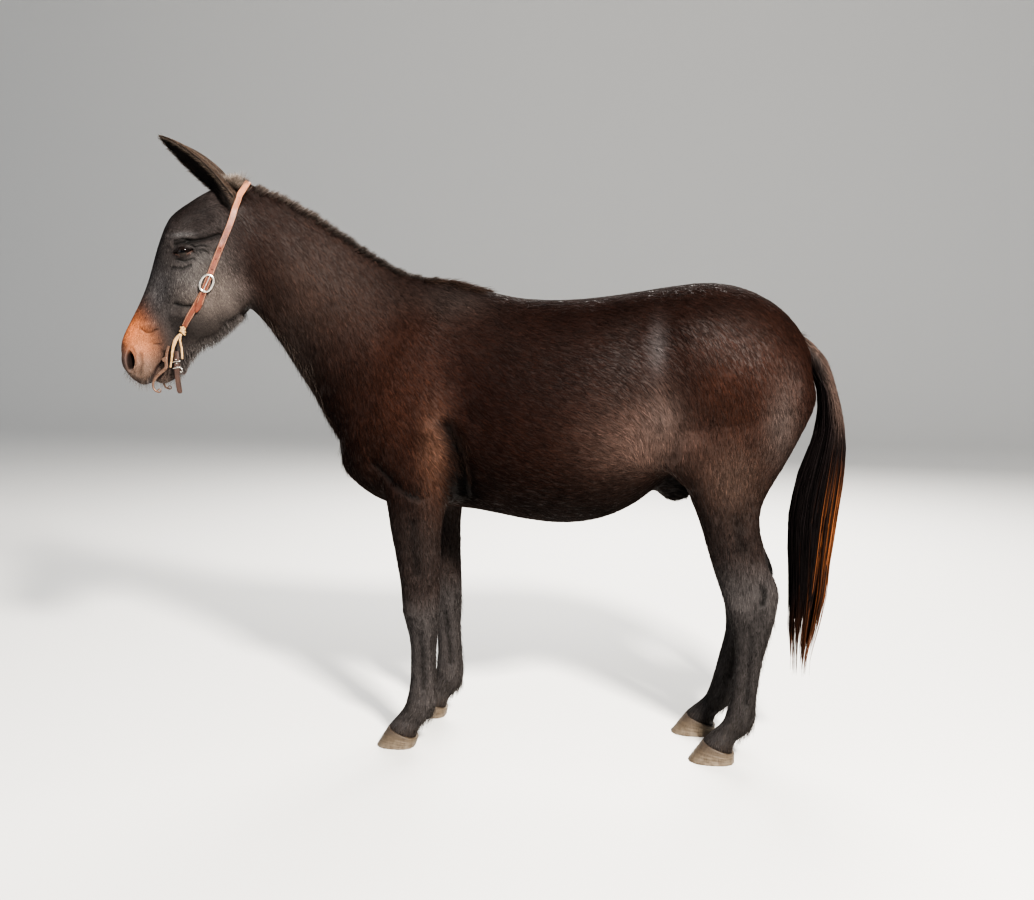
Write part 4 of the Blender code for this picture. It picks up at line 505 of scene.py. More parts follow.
# Skin. Rows: front or upper x, z, back or lower x, z, half width, widest place, powers, middle y
skinForm = {
    "voxel": 0.0050,
    "smoothAll": 14,
    "smoothTrunk": 108,
    "trianglesKept": 180000,
    "depth": 0.0026,  # how far the skin lies under the coat
    "depthHead": 0.0012,
    "torso": (
        (-0.752, 1.00, -0.752, 0.86, 0.050, 0.50, 2.0, 2.0, 0),
        (-0.725, 1.10, -0.725, 0.825, 0.115, 0.45, 2.0, 2.2, 0),
        (-0.665, 1.22, -0.665, 0.775, 0.165, 0.45, 2.0, 2.2, 0),
        (-0.590, 1.32, -0.590, 0.740, 0.190, 0.45, 2.0, 2.2, 0),
        (-0.500, 1.410, -0.500, 0.728, 0.203, 0.42, 1.8, 2.2, 0),
        (-0.400, 1.440, -0.400, 0.735, 0.210, 0.42, 1.6, 2.2, 0),
        (-0.300, 1.415, -0.300, 0.728, 0.225, 0.42, 1.7, 2.2, 0),
        (-0.180, 1.388, -0.180, 0.708, 0.252, 0.42, 1.9, 2.2, 0),
        (-0.050, 1.383, -0.050, 0.697, 0.268, 0.43, 2.0, 2.2, 0),
        (0.070, 1.392, 0.070, 0.714, 0.268, 0.44, 2.1, 2.2, 0),
        (0.180, 1.408, 0.180, 0.765, 0.255, 0.45, 2.1, 2.1, 0),
        (0.280, 1.424, 0.280, 0.850, 0.240, 0.48, 2.1, 2.0, 0),
        (0.380, 1.434, 0.380, 0.880, 0.240, 0.48, 2.0, 2.0, 0),
        (0.480, 1.420, 0.480, 0.880, 0.235, 0.46, 2.0, 2.0, 0),
        (0.570, 1.378, 0.570, 0.900, 0.215, 0.45, 2.0, 2.0, 0),
        (0.640, 1.315, 0.640, 0.950, 0.170, 0.45, 2.0, 2.0, 0),
        (0.688, 1.235, 0.688, 1.020, 0.095, 0.50, 2.0, 2.0, 0),
    ),
    "neck": (
        (-1.110, 1.700, -1.060, 1.380, 0.066, 0.42, 1.8, 2.2, 0),
        (-1.030, 1.714, -1.030, 1.345, 0.072, 0.42, 1.7, 2.2, 0),
        (-0.950, 1.688, -1.000, 1.315, 0.076, 0.42, 1.6, 2.2, 0),
        (-0.850, 1.640, -0.950, 1.250, 0.082, 0.42, 1.6, 2.2, 0),
        (-0.740, 1.565, -0.890, 1.155, 0.095, 0.42, 1.6, 2.2, 0),
        (-0.640, 1.498, -0.838, 1.075, 0.115, 0.42, 1.6, 2.2, 0),
        (-0.550, 1.456, -0.795, 0.995, 0.140, 0.42, 1.6, 2.2, 0),
        (-0.460, 1.446, -0.745, 0.930, 0.165, 0.42, 1.6, 2.2, 0),
        (-0.380, 1.440, -0.660, 0.880, 0.180, 0.45, 1.7, 2.2, 0),
    ),
    "skull": (
        (-1.000, 1.690, -0.975, 1.470, 0.040, 0.50, 2.0, 2.0, 0),
        (-1.040, 1.722, -1.005, 1.395, 0.066, 0.45, 2.0, 2.0, 0),
        (-1.090, 1.735, -1.045, 1.350, 0.078, 0.45, 2.3, 2.2, 0),
        (-1.150, 1.716, -1.085, 1.312, 0.087, 0.48, 2.6, 2.4, 0),
        (-1.215, 1.677, -1.125, 1.276, 0.094, 0.55, 2.8, 2.5, 0),
        (-1.270, 1.634, -1.165, 1.249, 0.097, 0.62, 2.8, 2.3, 0),
        (-1.302, 1.572, -1.200, 1.236, 0.088, 0.62, 2.6, 2.2, 0),
        (-1.325, 1.510, -1.225, 1.220, 0.072, 0.60, 2.5, 2.1, 0),
        (-1.345, 1.450, -1.247, 1.190, 0.060, 0.56, 2.5, 2.1, 0),
        (-1.372, 1.385, -1.268, 1.160, 0.053, 0.52, 2.5, 2.1, 0),
        (-1.402, 1.328, -1.288, 1.150, 0.052, 0.50, 2.4, 2.1, 0),
        (-1.430, 1.275, -1.312, 1.145, 0.056, 0.48, 2.3, 2.1, 0),
        (-1.442, 1.235, -1.335, 1.132, 0.058, 0.46, 2.2, 2.2, 0),
        (-1.437, 1.190, -1.360, 1.116, 0.050, 0.50, 2.1, 2.2, 0),
        (-1.424, 1.152, -1.382, 1.113, 0.034, 0.50, 2.0, 2.0, 0),
    ),
    "jaw": (
        (-1.200, 1.320, -1.150, 1.262, 0.044, 0.50, 2.0, 2.0, 0),
        (-1.262, 1.250, -1.205, 1.226, 0.040, 0.50, 2.0, 2.0, 0),
        (-1.300, 1.200, -1.242, 1.180, 0.036, 0.50, 2.0, 2.0, 0),
        (-1.325, 1.160, -1.272, 1.138, 0.037, 0.50, 2.0, 2.0, 0),
        (-1.338, 1.136, -1.296, 1.122, 0.034, 0.50, 2.0, 2.0, 0),
        (-1.336, 1.124, -1.312, 1.116, 0.022, 0.50, 2.0, 2.0, 0),
    ),
    "front": (
        (-0.620, 1.060, -0.400, 1.060, 0.070, 0.50, 2.0, 2.0, 0.128),
        (-0.612, 0.950, -0.376, 0.940, 0.074, 0.50, 2.0, 2.0, 0.132),
        (-0.598, 0.860, -0.370, 0.850, 0.071, 0.50, 2.0, 2.0, 0.136),
        (-0.580, 0.775, -0.383, 0.765, 0.065, 0.52, 2.0, 2.0, 0.140),
        (-0.566, 0.690, -0.399, 0.690, 0.058, 0.55, 2.0, 2.0, 0.143),
        (-0.546, 0.600, -0.405, 0.600, 0.050, 0.55, 2.0, 2.0, 0.145),
        (-0.532, 0.520, -0.408, 0.520, 0.044, 0.55, 2.2, 2.0, 0.146),
        (-0.525, 0.455, -0.411, 0.450, 0.045, 0.60, 2.6, 2.0, 0.146),
        (-0.518, 0.410, -0.413, 0.405, 0.044, 0.60, 2.6, 2.0, 0.146),
        (-0.507, 0.360, -0.417, 0.355, 0.037, 0.60, 2.4, 2.0, 0.146),
        (-0.502, 0.300, -0.421, 0.295, 0.030, 0.58, 2.2, 2.0, 0.146),
        (-0.504, 0.220, -0.421, 0.210, 0.030, 0.56, 2.2, 2.0, 0.146),
        (-0.512, 0.165, -0.420, 0.150, 0.035, 0.54, 2.2, 2.0, 0.146),
        (-0.525, 0.125, -0.433, 0.104, 0.035, 0.52, 2.2, 2.0, 0.146),
        (-0.549, 0.094, -0.464, 0.074, 0.032, 0.52, 2.1, 2.0, 0.146),
        (-0.572, 0.068, -0.484, 0.046, 0.042, 0.52, 2.0, 2.1, 0.146),
        (-0.580, 0.040, -0.488, 0.014, 0.042, 0.52, 2.0, 2.1, 0.146),
    ),
    "hind": (
        (0.250, 1.200, 0.672, 1.220, 0.085, 0.50, 2.0, 2.4, 0.100),
        (0.255, 1.080, 0.704, 1.110, 0.098, 0.50, 2.0, 2.6, 0.112),
        (0.272, 0.980, 0.674, 1.020, 0.096, 0.52, 2.0, 2.4, 0.120),
        (0.300, 0.895, 0.622, 0.910, 0.084, 0.52, 2.0, 2.2, 0.125),
        (0.335, 0.815, 0.572, 0.820, 0.070, 0.52, 2.0, 2.0, 0.126),
        (0.364, 0.745, 0.552, 0.755, 0.060, 0.50, 2.0, 2.0, 0.125),
        (0.390, 0.665, 0.558, 0.680, 0.050, 0.50, 2.0, 2.0, 0.123),
        (0.417, 0.585, 0.574, 0.610, 0.041, 0.55, 2.2, 1.6, 0.121),
        (0.438, 0.525, 0.608, 0.545, 0.037, 0.60, 2.4, 1.5, 0.120),
        (0.455, 0.475, 0.609, 0.485, 0.041, 0.60, 2.6, 1.7, 0.120),
        (0.471, 0.415, 0.594, 0.410, 0.038, 0.58, 2.4, 2.0, 0.120),
        (0.484, 0.350, 0.573, 0.335, 0.032, 0.56, 2.2, 2.0, 0.120),
        (0.480, 0.280, 0.560, 0.260, 0.029, 0.56, 2.2, 2.0, 0.120),
        (0.474, 0.210, 0.552, 0.190, 0.031, 0.54, 2.2, 2.0, 0.120),
        (0.464, 0.155, 0.552, 0.140, 0.036, 0.54, 2.2, 2.0, 0.120),
        (0.451, 0.121, 0.536, 0.100, 0.036, 0.52, 2.2, 2.0, 0.120),
        (0.424, 0.094, 0.506, 0.076, 0.033, 0.52, 2.1, 2.0, 0.120),
        (0.398, 0.069, 0.486, 0.047, 0.042, 0.52, 2.0, 2.1, 0.120),
        (0.390, 0.040, 0.490, 0.014, 0.042, 0.52, 2.0, 2.1, 0.120),
    ),
    "stance": {  # how far a leg stands from the near one, by height
        ("front", "left"): ((0.0, 0.0), (1.0, 0.0)),
        ("front", "right"): ((0.0, 0.032), (0.2, 0.020), (0.6, 0.0)),
        ("hind", "left"): ((0.0, 0.0), (1.0, 0.0)),
        ("hind", "right"): ((0.0, -0.062), (0.2, -0.050), (0.4, -0.020), (0.6, 0.0)),
    },
    "masses": (  # on both sides: centre, half sizes
        ((-0.625, 0.080, 0.905), (0.100, 0.085, 0.115)),
        ((-0.545, 0.098, 1.090), (0.110, 0.088, 0.210)),
        ((-0.465, 0.122, 0.975), (0.095, 0.078, 0.130)),
        ((0.340, 0.112, 1.250), (0.150, 0.108, 0.130)),
        ((0.560, 0.095, 1.140), (0.125, 0.095, 0.160)),
        ((0.350, 0.135, 0.965), (0.095, 0.082, 0.130)),
        ((-1.118, 0.048, 1.405), (0.092, 0.036, 0.095)),
        ((-1.216, 0.056, 1.528), (0.062, 0.044, 0.050)),
        ((-1.410, 0.030, 1.195), (0.026, 0.028, 0.042)),
    ),
    "sheath": ((0.293, 0.0, 0.838), (0.070, 0.038, 0.074)),
    "crest": (  # x, z and height of the mane's hair
        (-1.060, 1.736, 0.020),
        (-0.990, 1.706, 0.022),
        (-0.930, 1.682, 0.022),
        (-0.856, 1.643, 0.022),
        (-0.791, 1.600, 0.021),
        (-0.725, 1.556, 0.019),
        (-0.624, 1.490, 0.018),
        (-0.542, 1.450, 0.015),
        (-0.470, 1.438, 0.010),
    ),
    "crestHalf": 0.012,
}
# Forms seen from the side: path of (x, z), radius, height (minus is a hollow)
bodyForms = (
    (((-0.545, 1.350), (-0.585, 1.240), (-0.650, 1.090)), 0.100, -0.009),  # before the shoulder
    (((-0.430, 1.350), (-0.520, 1.220), (-0.600, 1.060)), 0.080, 0.004),  # shoulder blade
    (((-0.345, 1.130), (-0.338, 1.020), (-0.335, 0.880)), 0.100, -0.013),  # behind the elbow
    (((-0.450, 0.985), (-0.425, 0.900)), 0.095, 0.010),  # elbow
    (((-0.620, 0.890), (-0.540, 0.835), (-0.440, 0.795)), 0.034, -0.005),  # breast fold
    (((-0.612, 0.890), (-0.572, 0.860), (-0.500, 0.806), (-0.455, 0.790)), 0.016, -0.0035),
    (((-0.374, 1.015), (-0.350, 0.950), (-0.332, 0.880), (-0.332, 0.800)), 0.024, -0.013),  # pit behind the elbow
    (((-0.415, 1.000), (-0.392, 0.930), (-0.400, 0.850)), 0.040, 0.008),  # point of the elbow
    (((0.286, 1.107), (0.312, 0.990), (0.294, 0.930)), 0.032, -0.006),  # fold before the stifle
    (((0.200, 1.280), (0.225, 1.180), (0.250, 1.080)), 0.130, -0.012),  # flank
    (((0.275, 1.320), (0.310, 1.290)), 0.100, 0.006),  # point of the hip
    (((0.300, 1.020), (0.288, 0.930), (0.270, 0.885)), 0.055, 0.007),  # fold of the flank
    (((0.612, 1.060), (0.570, 0.900), (0.505, 0.740)), 0.045, -0.006),  # back of the thigh
    (((0.500, 1.180), (0.560, 1.020)), 0.110, 0.005),  # thigh
    (((-0.960, 1.560), (-0.800, 1.400), (-0.680, 1.250)), 0.100, 0.003),  # neck muscle
    (((-1.000, 1.430), (-0.900, 1.280), (-0.810, 1.130)), 0.060, -0.005),  # groove of the neck
)
headForms = (
    (((-1.192, 1.468), (-1.252, 1.410), (-1.300, 1.360)), 0.030, 0.0050),  # crest of the face
    (((-1.256, 1.548), (-1.224, 1.562), (-1.190, 1.560)), 0.018, 0.0040),  # brow
    (((-1.172, 1.530), (-1.118, 1.546)), 0.024, 0.0045),  # arch behind the eye
    (((-1.165, 1.588), (-1.110, 1.602)), 0.022, 0.0030),  # edge of the forehead
    (((-1.208, 1.556), (-1.162, 1.562), (-1.107, 1.576)), 0.014, -0.0040),  # crease of the temple
    (((-1.195, 1.622), (-1.160, 1.632)), 0.045, -0.0070),  # hollow above the eye
    (((-1.275, 1.472), (-1.318, 1.412)), 0.042, -0.0045),  # side of the nose
    (((-1.250, 1.366), (-1.205, 1.361), (-1.175, 1.362)), 0.015, -0.0040),  # cheek crease
    (((-1.262, 1.330), (-1.222, 1.332)), 0.026, 0.0045),  # fullness under the crease
    (((-1.150, 1.330), (-1.105, 1.340)), 0.050, 0.0040),  # rim of the jaw
    (((-1.270, 1.285), (-1.255, 1.240)), 0.036, -0.0060),  # before the jowl
    (((-1.412, 1.240), (-1.421, 1.200), (-1.410, 1.158)), 0.018, 0.0030),  # wing of the nostril
    (((-1.380, 1.226), (-1.376, 1.178)), 0.020, 0.0030),  # rear rim of the nostril
    (((-1.366, 1.288), (-1.343, 1.276), (-1.318, 1.288)), 0.012, -0.0030),  # fold of the nose
    (((-1.352, 1.298), (-1.332, 1.298)), 0.020, 0.0030),  # fullness over the fold
    (((-1.327, 1.243), (-1.308, 1.242)), 0.010, -0.0015),  # second fold
    (((-1.325, 1.205), (-1.345, 1.165), (-1.365, 1.135)), 0.022, 0.0030),  # upper lip
    (((-1.300, 1.165), (-1.318, 1.135)), 0.022, 0.0025),  # lower lip
)
legForms = {
    "front": (
        (((-0.520, 0.445), (-0.490, 0.425)), 0.040, 0.004),  # knee
        (((-0.462, 0.365), (-0.456, 0.190)), 0.016, -0.005),  # before the tendon
        (((-0.420, 0.470), (-0.418, 0.430)), 0.024, 0.004),  # bone behind the knee
        (((-0.480, 0.720), (-0.470, 0.560)), 0.030, -0.004),  # between the forearm muscles
        (((-0.460, 0.130), (-0.450, 0.150)), 0.022, 0.003),  # fetlock
    ),
    "hind": (
        (((0.560, 0.548), (0.567, 0.520), (0.562, 0.498)), 0.018, -0.0055),  # hollow of the hock
        (((0.536, 0.400), (0.522, 0.190)), 0.016, -0.005),  # before the tendon
        (((0.490, 0.480), (0.515, 0.440)), 0.040, 0.004),  # hock
        (((0.480, 0.760), (0.500, 0.660)), 0.030, -0.004),  # between the gaskin muscles
        (((0.510, 0.130), (0.515, 0.150)), 0.022, 0.003),  # fetlock
    ),
}
# Fine folds, worked into the skin once the head is finer
fineForms = (
    (((-1.243, 1.547), (-1.225, 1.553), (-1.204, 1.551), (-1.188, 1.543)), 0.0045, -0.0022),  # fold of the lid
    (((-1.252, 1.571), (-1.226, 1.578), (-1.196, 1.577), (-1.160, 1.582)), 0.008, 0.0022),  # brow
    (((-1.244, 1.559), (-1.222, 1.564), (-1.200, 1.560)), 0.0050, -0.0020),  # under the brow
    (((-1.208, 1.557), (-1.180, 1.558), (-1.145, 1.567), (-1.108, 1.580)), 0.0075, -0.0044),  # dark crease
    (((-1.184, 1.540), (-1.164, 1.546), (-1.150, 1.543)), 0.0035, -0.0012),  # wrinkles behind the eye
    (((-1.178, 1.530), (-1.160, 1.533), (-1.146, 1.526)), 0.0035, -0.0011),
    (((-1.240, 1.503), (-1.216, 1.497), (-1.190, 1.506)), 0.0045, -0.0014),  # under the lower lid
    (((-1.252, 1.480), (-1.222, 1.476), (-1.196, 1.486)), 0.006, -0.0010),
    (((-1.367, 1.290), (-1.352, 1.279), (-1.335, 1.279), (-1.318, 1.289)), 0.0040, -0.0030),  # nose fold
    (((-1.360, 1.273), (-1.340, 1.271), (-1.324, 1.280)), 0.0050, 0.0018),
    (((-1.329, 1.244), (-1.307, 1.243)), 0.0035, -0.0016),
    (((-1.389, 1.236), (-1.380, 1.215), (-1.380, 1.185), (-1.388, 1.160)), 0.0060, 0.0016),  # nostril rim
    (((-1.413, 1.222), (-1.418, 1.200), (-1.414, 1.170)), 0.0055, 0.0016),
    (((-1.404, 1.166), (-1.392, 1.172)), 0.0070, 0.0026),  # its lower bulge
    (((-1.368, 1.215), (-1.364, 1.185), (-1.372, 1.155)), 0.0060, -0.0014),  # behind the nostril
    (((-1.254, 1.368), (-1.230, 1.362), (-1.205, 1.361)), 0.0060, -0.0032),  # cheek crease
    (((-1.298, 1.222), (-1.290, 1.205), (-1.288, 1.188)), 0.0040, -0.0014),  # behind the mouth's corner
    (((-1.306, 1.226), (-1.300, 1.212)), 0.0040, -0.0012),
    (((-1.318, 1.128), (-1.300, 1.140), (-1.290, 1.156)), 0.0050, -0.0018),  # chin groove
)
eyes = {
    "centre": (-1.219, 0.0775, 1.526),
    "radius": 0.0270,
    "lid": 0.0032,
    "lidReach": 0.041,
    "slit": (0.0275, 0.0090, 0.0092),  # half length, height over the line, depth under it
    "tilt": math.radians(9),
}
mouth = ((-1.303, 1.197), (-1.322, 1.173), (-1.337, 1.148), (-1.358, 1.120), (-1.372, 1.100))
nostril = {"centre": (-1.404, 0.054, 1.191), "half": (0.0145, 0.038), "depth": 0.028, "bow": 0.006}
ears = {
    "outer": (0.046, 0.0325, 0.0250),
    "cup": (0.011, 0.0085, 0.0075),
    "base": (-1.068, 0.045, 1.665),
    "tip": (-1.283, 0.078, 1.872),
    "opens": (-0.50, 0.55, -0.60),
    "rim": 0.004,
    "curve": 0.010,
    "shape": (  # place, half width, depth of the back, height of the front
        (0.00, 0.032, 0.027, 0.032),
        (0.12, 0.034, 0.030, 0.028),
        (0.24, 0.037, 0.031, 0.010),
        (0.36, 0.043, 0.032, -0.014),
        (0.50, 0.045, 0.030, -0.024),
        (0.64, 0.041, 0.026, -0.021),
        (0.78, 0.031, 0.020, -0.015),
        (0.90, 0.018, 0.012, -0.008),
        (0.97, 0.008, 0.006, -0.003),
        (1.00, 0.003, 0.003, 0.000),
    ),
}


def stance(end, side, z):
    rows = np.array(skinForm["stance"][end, side])
    return np.interp(z, rows[:, 0], rows[:, 1])


def legRows(end, side):
    rows = np.array(skinForm[end])
    rows[:, 8] *= sides[side]
    for column in (0, 2):
        rows[:, column] += stance(end, side, rows[:, column + 1])
    return rows


def flesh(name, rows, steps=3, count=40):
    return loft(name, [section(row, count) for row in refined(rows, steps)])


def ball(name, centre, half):
    deselect()
    bpy.ops.mesh.primitive_uv_sphere_add(segments=32, ring_count=20, radius=1)
    obj = bpy.context.active_object
    obj.name = obj.data.name = name
    setPoints(obj, getPoints(obj) * np.array(half) + np.array(centre))
    return obj


def soften(obj, rounds, share=None):
    smooth = obj.modifiers.new("soften", "SMOOTH")
    smooth.factor = 0.5
    smooth.iterations = rounds
    if share is not None:
        group = obj.vertex_groups.new(name="share")
        for index in np.nonzero(share > 0.01)[0]:
            group.add([int(index)], float(share[index]), "REPLACE")
        smooth.vertex_group = "share"
    applyAll(obj)
    obj.vertex_groups.clear()


def raised(obj, points, path, radius, height, side=0):
    normals = getNormals(obj)
    low, high = np.min(path, axis=0) - 2 * radius, np.max(path, axis=0) + 2 * radius
    seen = points[:, [0, 2]]
    near = np.nonzero(((seen > low) & (seen < high)).all(axis=1))[0]
    falls = np.exp(-3 * (pathDistance(seen[near], path) / radius) ** 2)
    falls *= np.clip(np.abs(normals[near, 1]) * 1.5, 0, 1)
    if side:
        falls *= points[near, 1] * side > 0
    points[near] += normals[near] * (height * falls)[:, None]
    return points


def lidsOver(points, side):  # lays the skin round an eye over its ball
    centre = np.array(mirrored(eyes["centre"], side))
    radius, reach = eyes["radius"], eyes["lidReach"]
    far = np.linalg.norm((points - centre)[:, [0, 2]], axis=1)
    over = np.sqrt((radius + eyes["lid"]) ** 2 - np.minimum(far, radius * 0.9) ** 2)
    share = np.clip((reach - far) / (reach * 0.55), 0, 1)
    share = share * share * (3 - 2 * share) * (points[:, 1] * side > 0.05)
    points[:, 1] += (centre[1] + side * over - points[:, 1]) * share
    return points


def finer(obj, inside):  # splits every face whose middle is inside
    bm = bmesh.new()
    bm.from_mesh(obj.data)
    edges = {edge for face in bm.faces if inside(face.calc_center_median()) for edge in face.edges}
    bmesh.ops.subdivide_edges(bm, edges=list(edges), cuts=1, use_grid_fill=True)
    bmesh.ops.triangulate(bm, faces=[face for face in bm.faces if len(face.verts) > 4])
    bm.to_mesh(obj.data)
    bm.free()


def earSection(row, side, inner=True, count=25, swell=0.0):
    place, half, back, front = row
    base, tip = Vector(mirrored(ears["base"], side)), Vector(mirrored(ears["tip"], side))
    axis = (tip - base).normalized()
    opens = Vector(mirrored(ears["opens"], side))
    opens = (opens - axis * opens.dot(axis)).normalized()
    wide = axis.cross(opens)
    centre = base + (tip - base) * place - opens * (ears["curve"] * 4 * place * (1 - place))
    turns = [math.pi / 2 * (2 * i / (count - 1) - 1) for i in range(count)]
    narrow = max(half - ears["rim"], half * 0.3)
    half, back = half + swell, back + swell
    ring = [centre + wide * half * math.sin(t) - opens * back * math.cos(t) for t in turns]
    ring += [centre + wide * narrow * math.sin(t) + opens * front * math.cos(t) for t in turns[::-1]]
    return ring


def slitPlace(points, side):  # along the eye's line from -1 to 1, and across from 0 at the line to 1 at a lid
    centre = np.array(mirrored(eyes["centre"], side))
    x, z = (points - centre)[:, 0], (points - centre)[:, 2]
    along = x * math.cos(eyes["tilt"]) + z * math.sin(eyes["tilt"])
    up = -x * math.sin(eyes["tilt"]) + z * math.cos(eyes["tilt"])
    half, above, below = eyes["slit"]
    t = np.clip(along / half, -1, 1)
    edge = np.where(up >= 0, above * (1 - t**2) ** 0.7, below * (1 - t**2) ** 0.9)
    beyond = np.maximum(np.abs(along) - half, 0)
    return t, np.hypot(np.maximum(np.abs(up) - edge, 0), beyond), edge - np.abs(up), np.where(up >= 0, 1, -1)


def openEyes(points):
    for side in sides.values():
        centre = np.array(mirrored(eyes["centre"], side))
        far = np.linalg.norm((points - centre)[:, [0, 2]], axis=1)
        near = np.nonzero((far < 0.05) & (points[:, 1] * side > 0.05))[0]
        t, outside, inside, _ = slitPlace(points[near], side)
        radius = eyes["radius"]
        surface = np.sqrt(np.maximum((radius + 0.0008) ** 2 - far[near] ** 2, 0.000004))
        wall = centre[1] + side * surface  # the ball's own surface
        margin = 1 - ramp(outside, 0.0, 0.0055)  # the lid thins toward its edge
        y = points[near, 1]
        y = y + (wall + side * 0.0012 - y) * margin * 0.75
        sunk = ramp(inside, 0.0002, 0.0022)  # inside the slit the skin goes behind the ball
        y = y * (1 - sunk) + (centre[1] + side * (surface - 0.0075)) * sunk
        points[near, 1] = y
    return points


def nostrilShare(points, side):  # 0 in the middle of a nostril, 1 at its rim, and more outside
    centre = np.array(mirrored(nostril["centre"], side))
    x, z = points[:, 0] - centre[0], points[:, 2] - centre[2]
    bow = x + nostril["bow"] * (np.clip(z / nostril["half"][1], -1.2, 1.2) ** 2 - 0.4)
    far = np.hypot(bow / nostril["half"][0], z / nostril["half"][1])
    return np.where((points[:, 1] * side > 0.008) & (points[:, 0] < -1.36), far, 9.0)


def openNostrils(points):
    for side in sides.values():
        far = nostrilShare(points, side)
        near = far < 1.25
        depth = nostril["depth"] * (1 - ramp(far, 0.45, 0.95))
        points[:, 1] -= np.where(near, side * depth, 0)
        points[:, 0] += np.where(near, 0.5 * depth, 0)
    return points


def openMouth(points):
    seen = points[:, [0, 2]]
    line = refined(mouth, 4)
    far = pathDistance(seen, line)
    depth = 0.0060 * np.exp(-((far / 0.0024) ** 2))
    corner = np.linalg.norm(seen - np.array((-1.3035, 1.193)), axis=1)
    depth += 0.0060 * np.exp(-((corner / 0.0075) ** 2))
    near = np.abs(points[:, 1]) > 0.004
    points[:, 1] -= np.where(near, np.sign(points[:, 1]) * depth, 0)
    front = far < 0.012
    drop = np.where(front & ~near, 0.5 * depth, 0)
    points[:, 0] += drop
    return points


def makeSkin():
    pieces = [flesh(name, skinForm[name]) for name in ("torso", "neck", "skull", "jaw")]
    for name, side in sides.items():
        for end in ("front", "hind"):
            pieces.append(flesh("leg", legRows(end, name), steps=2))
        for centre, half in skinForm["masses"]:
            pieces.append(ball("mass", mirrored(centre, side), half))
        stub = [row for row in ears["shape"] if row[0] < 0.3]
        pieces.append(loft("stub", [earSection(row, side, swell=-0.002) for row in stub]))
    pieces.append(ball("sheath", *skinForm["sheath"]))
    ridge = [(x, z + hair, x, z - 0.03, skinForm["crestHalf"], 0.5, 2.0, 2.0, 0) for x, z, hair in skinForm["crest"]]
    pieces.append(flesh("ridge", ridge, count=16))
    skin = joinAll(pieces, "skin")
    remesh = skin.modifiers.new("remesh", "REMESH")
    remesh.mode = "VOXEL"
    remesh.voxel_size = skinForm["voxel"]
    applyAll(skin)
    soften(skin, skinForm["smoothAll"])
    points = getPoints(skin)
    trunk = np.clip((points[:, 2] - 0.62) / 0.12, 0, 1) * np.clip((points[:, 0] + 1.12) / 0.14, 0, 1)
    soften(skin, skinForm["smoothTrunk"], trunk)
    points = getPoints(skin)
    for path, radius, height in bodyForms + headForms:
        points = raised(skin, points, path, radius, height)
    for end, name in skinForm["stance"]:
        for path, radius, height in legForms[end]:
            moved = [(x + stance(end, name, z), z) for x, z in path]
            points = raised(skin, points, moved, radius, height, sides[name])
    for side in sides.values():
        points = lidsOver(points, side)
    setPoints(skin, points)
    soften(skin, 3)
    return skin


def keepWeights(points):  # how finely each place is kept when the skin is thinned
    weight = 0.35 * (1 - ramp(points[:, 0], -1.06, -0.98)) * (points[:, 2] > 1.0)
    spots = [(eyes["centre"], 0.045), (nostril["centre"], 0.045), ((-1.330, 0.045, 1.160), 0.05)]
    for side in sides.values():
        for spot, reach in spots:
            far = np.linalg.norm(points - np.array(mirrored(spot, side)), axis=1) / reach
            weight = np.maximum(weight, np.clip(1.6 - far, 0, 1))
    return weight


skin = makeSkin()
say("skin formed")
surface = BVHTree.FromPolygons(  # the coat's outer face, on which the straps lie
    [tuple(point) for point in getPoints(skin)], [tuple(face.vertices) for face in skin.data.polygons]
)


def detailSkin(skin):
    finer(skin, lambda middle: middle.x < -1.02 and middle.z > 1.0)

    def close(middle):
        for side in sides.values():
            eye = Vector(mirrored(eyes["centre"], side))
            if (middle - eye).length < 0.052:
                return True
        return middle.x < -1.270 and middle.z < 1.265 and middle.z > 1.0

    finer(skin, close)
    soften(skin, 2)
    points = getPoints(skin)
    normals = getNormals(skin)
    shallow = skinForm["depthHead"] + (skinForm["depth"] - skinForm["depthHead"]) * ramp(points[:, 0], -1.15, -0.95)
    shallow = np.where(points[:, 2] < 0.62, 0.0016, shallow)
    points -= normals * shallow[:, None]
    setPoints(skin, points)
    for path, radius, height in fineForms:
        points = raised(skin, points, path, radius, height)
    points = openNostrils(points)
    points = openMouth(points)
    setPoints(skin, points)
    soften(skin, 1)
    points = openEyes(getPoints(skin))
    setPoints(skin, points)
    triangles = sum(len(face.vertices) - 2 for face in skin.data.polygons)
    group = skin.vertex_groups.new(name="keep")
    weights = keepWeights(points)
    for index in np.nonzero(weights > 0)[0]:
        group.add([int(index)], float(weights[index]), "REPLACE")
    thin = skin.modifiers.new("thin", "DECIMATE")
    thin.ratio = skinForm["trianglesKept"] / triangles
    thin.vertex_group = "keep"
    thin.invert_vertex_group = True
    thin.vertex_group_factor = 0.05
    applyAll(skin)
    skin.vertex_groups.clear()
    print("skin triangles", sum(len(face.vertices) - 2 for face in skin.data.polygons), "from", triangles)


detailSkin(skin)
say("skin detailed")

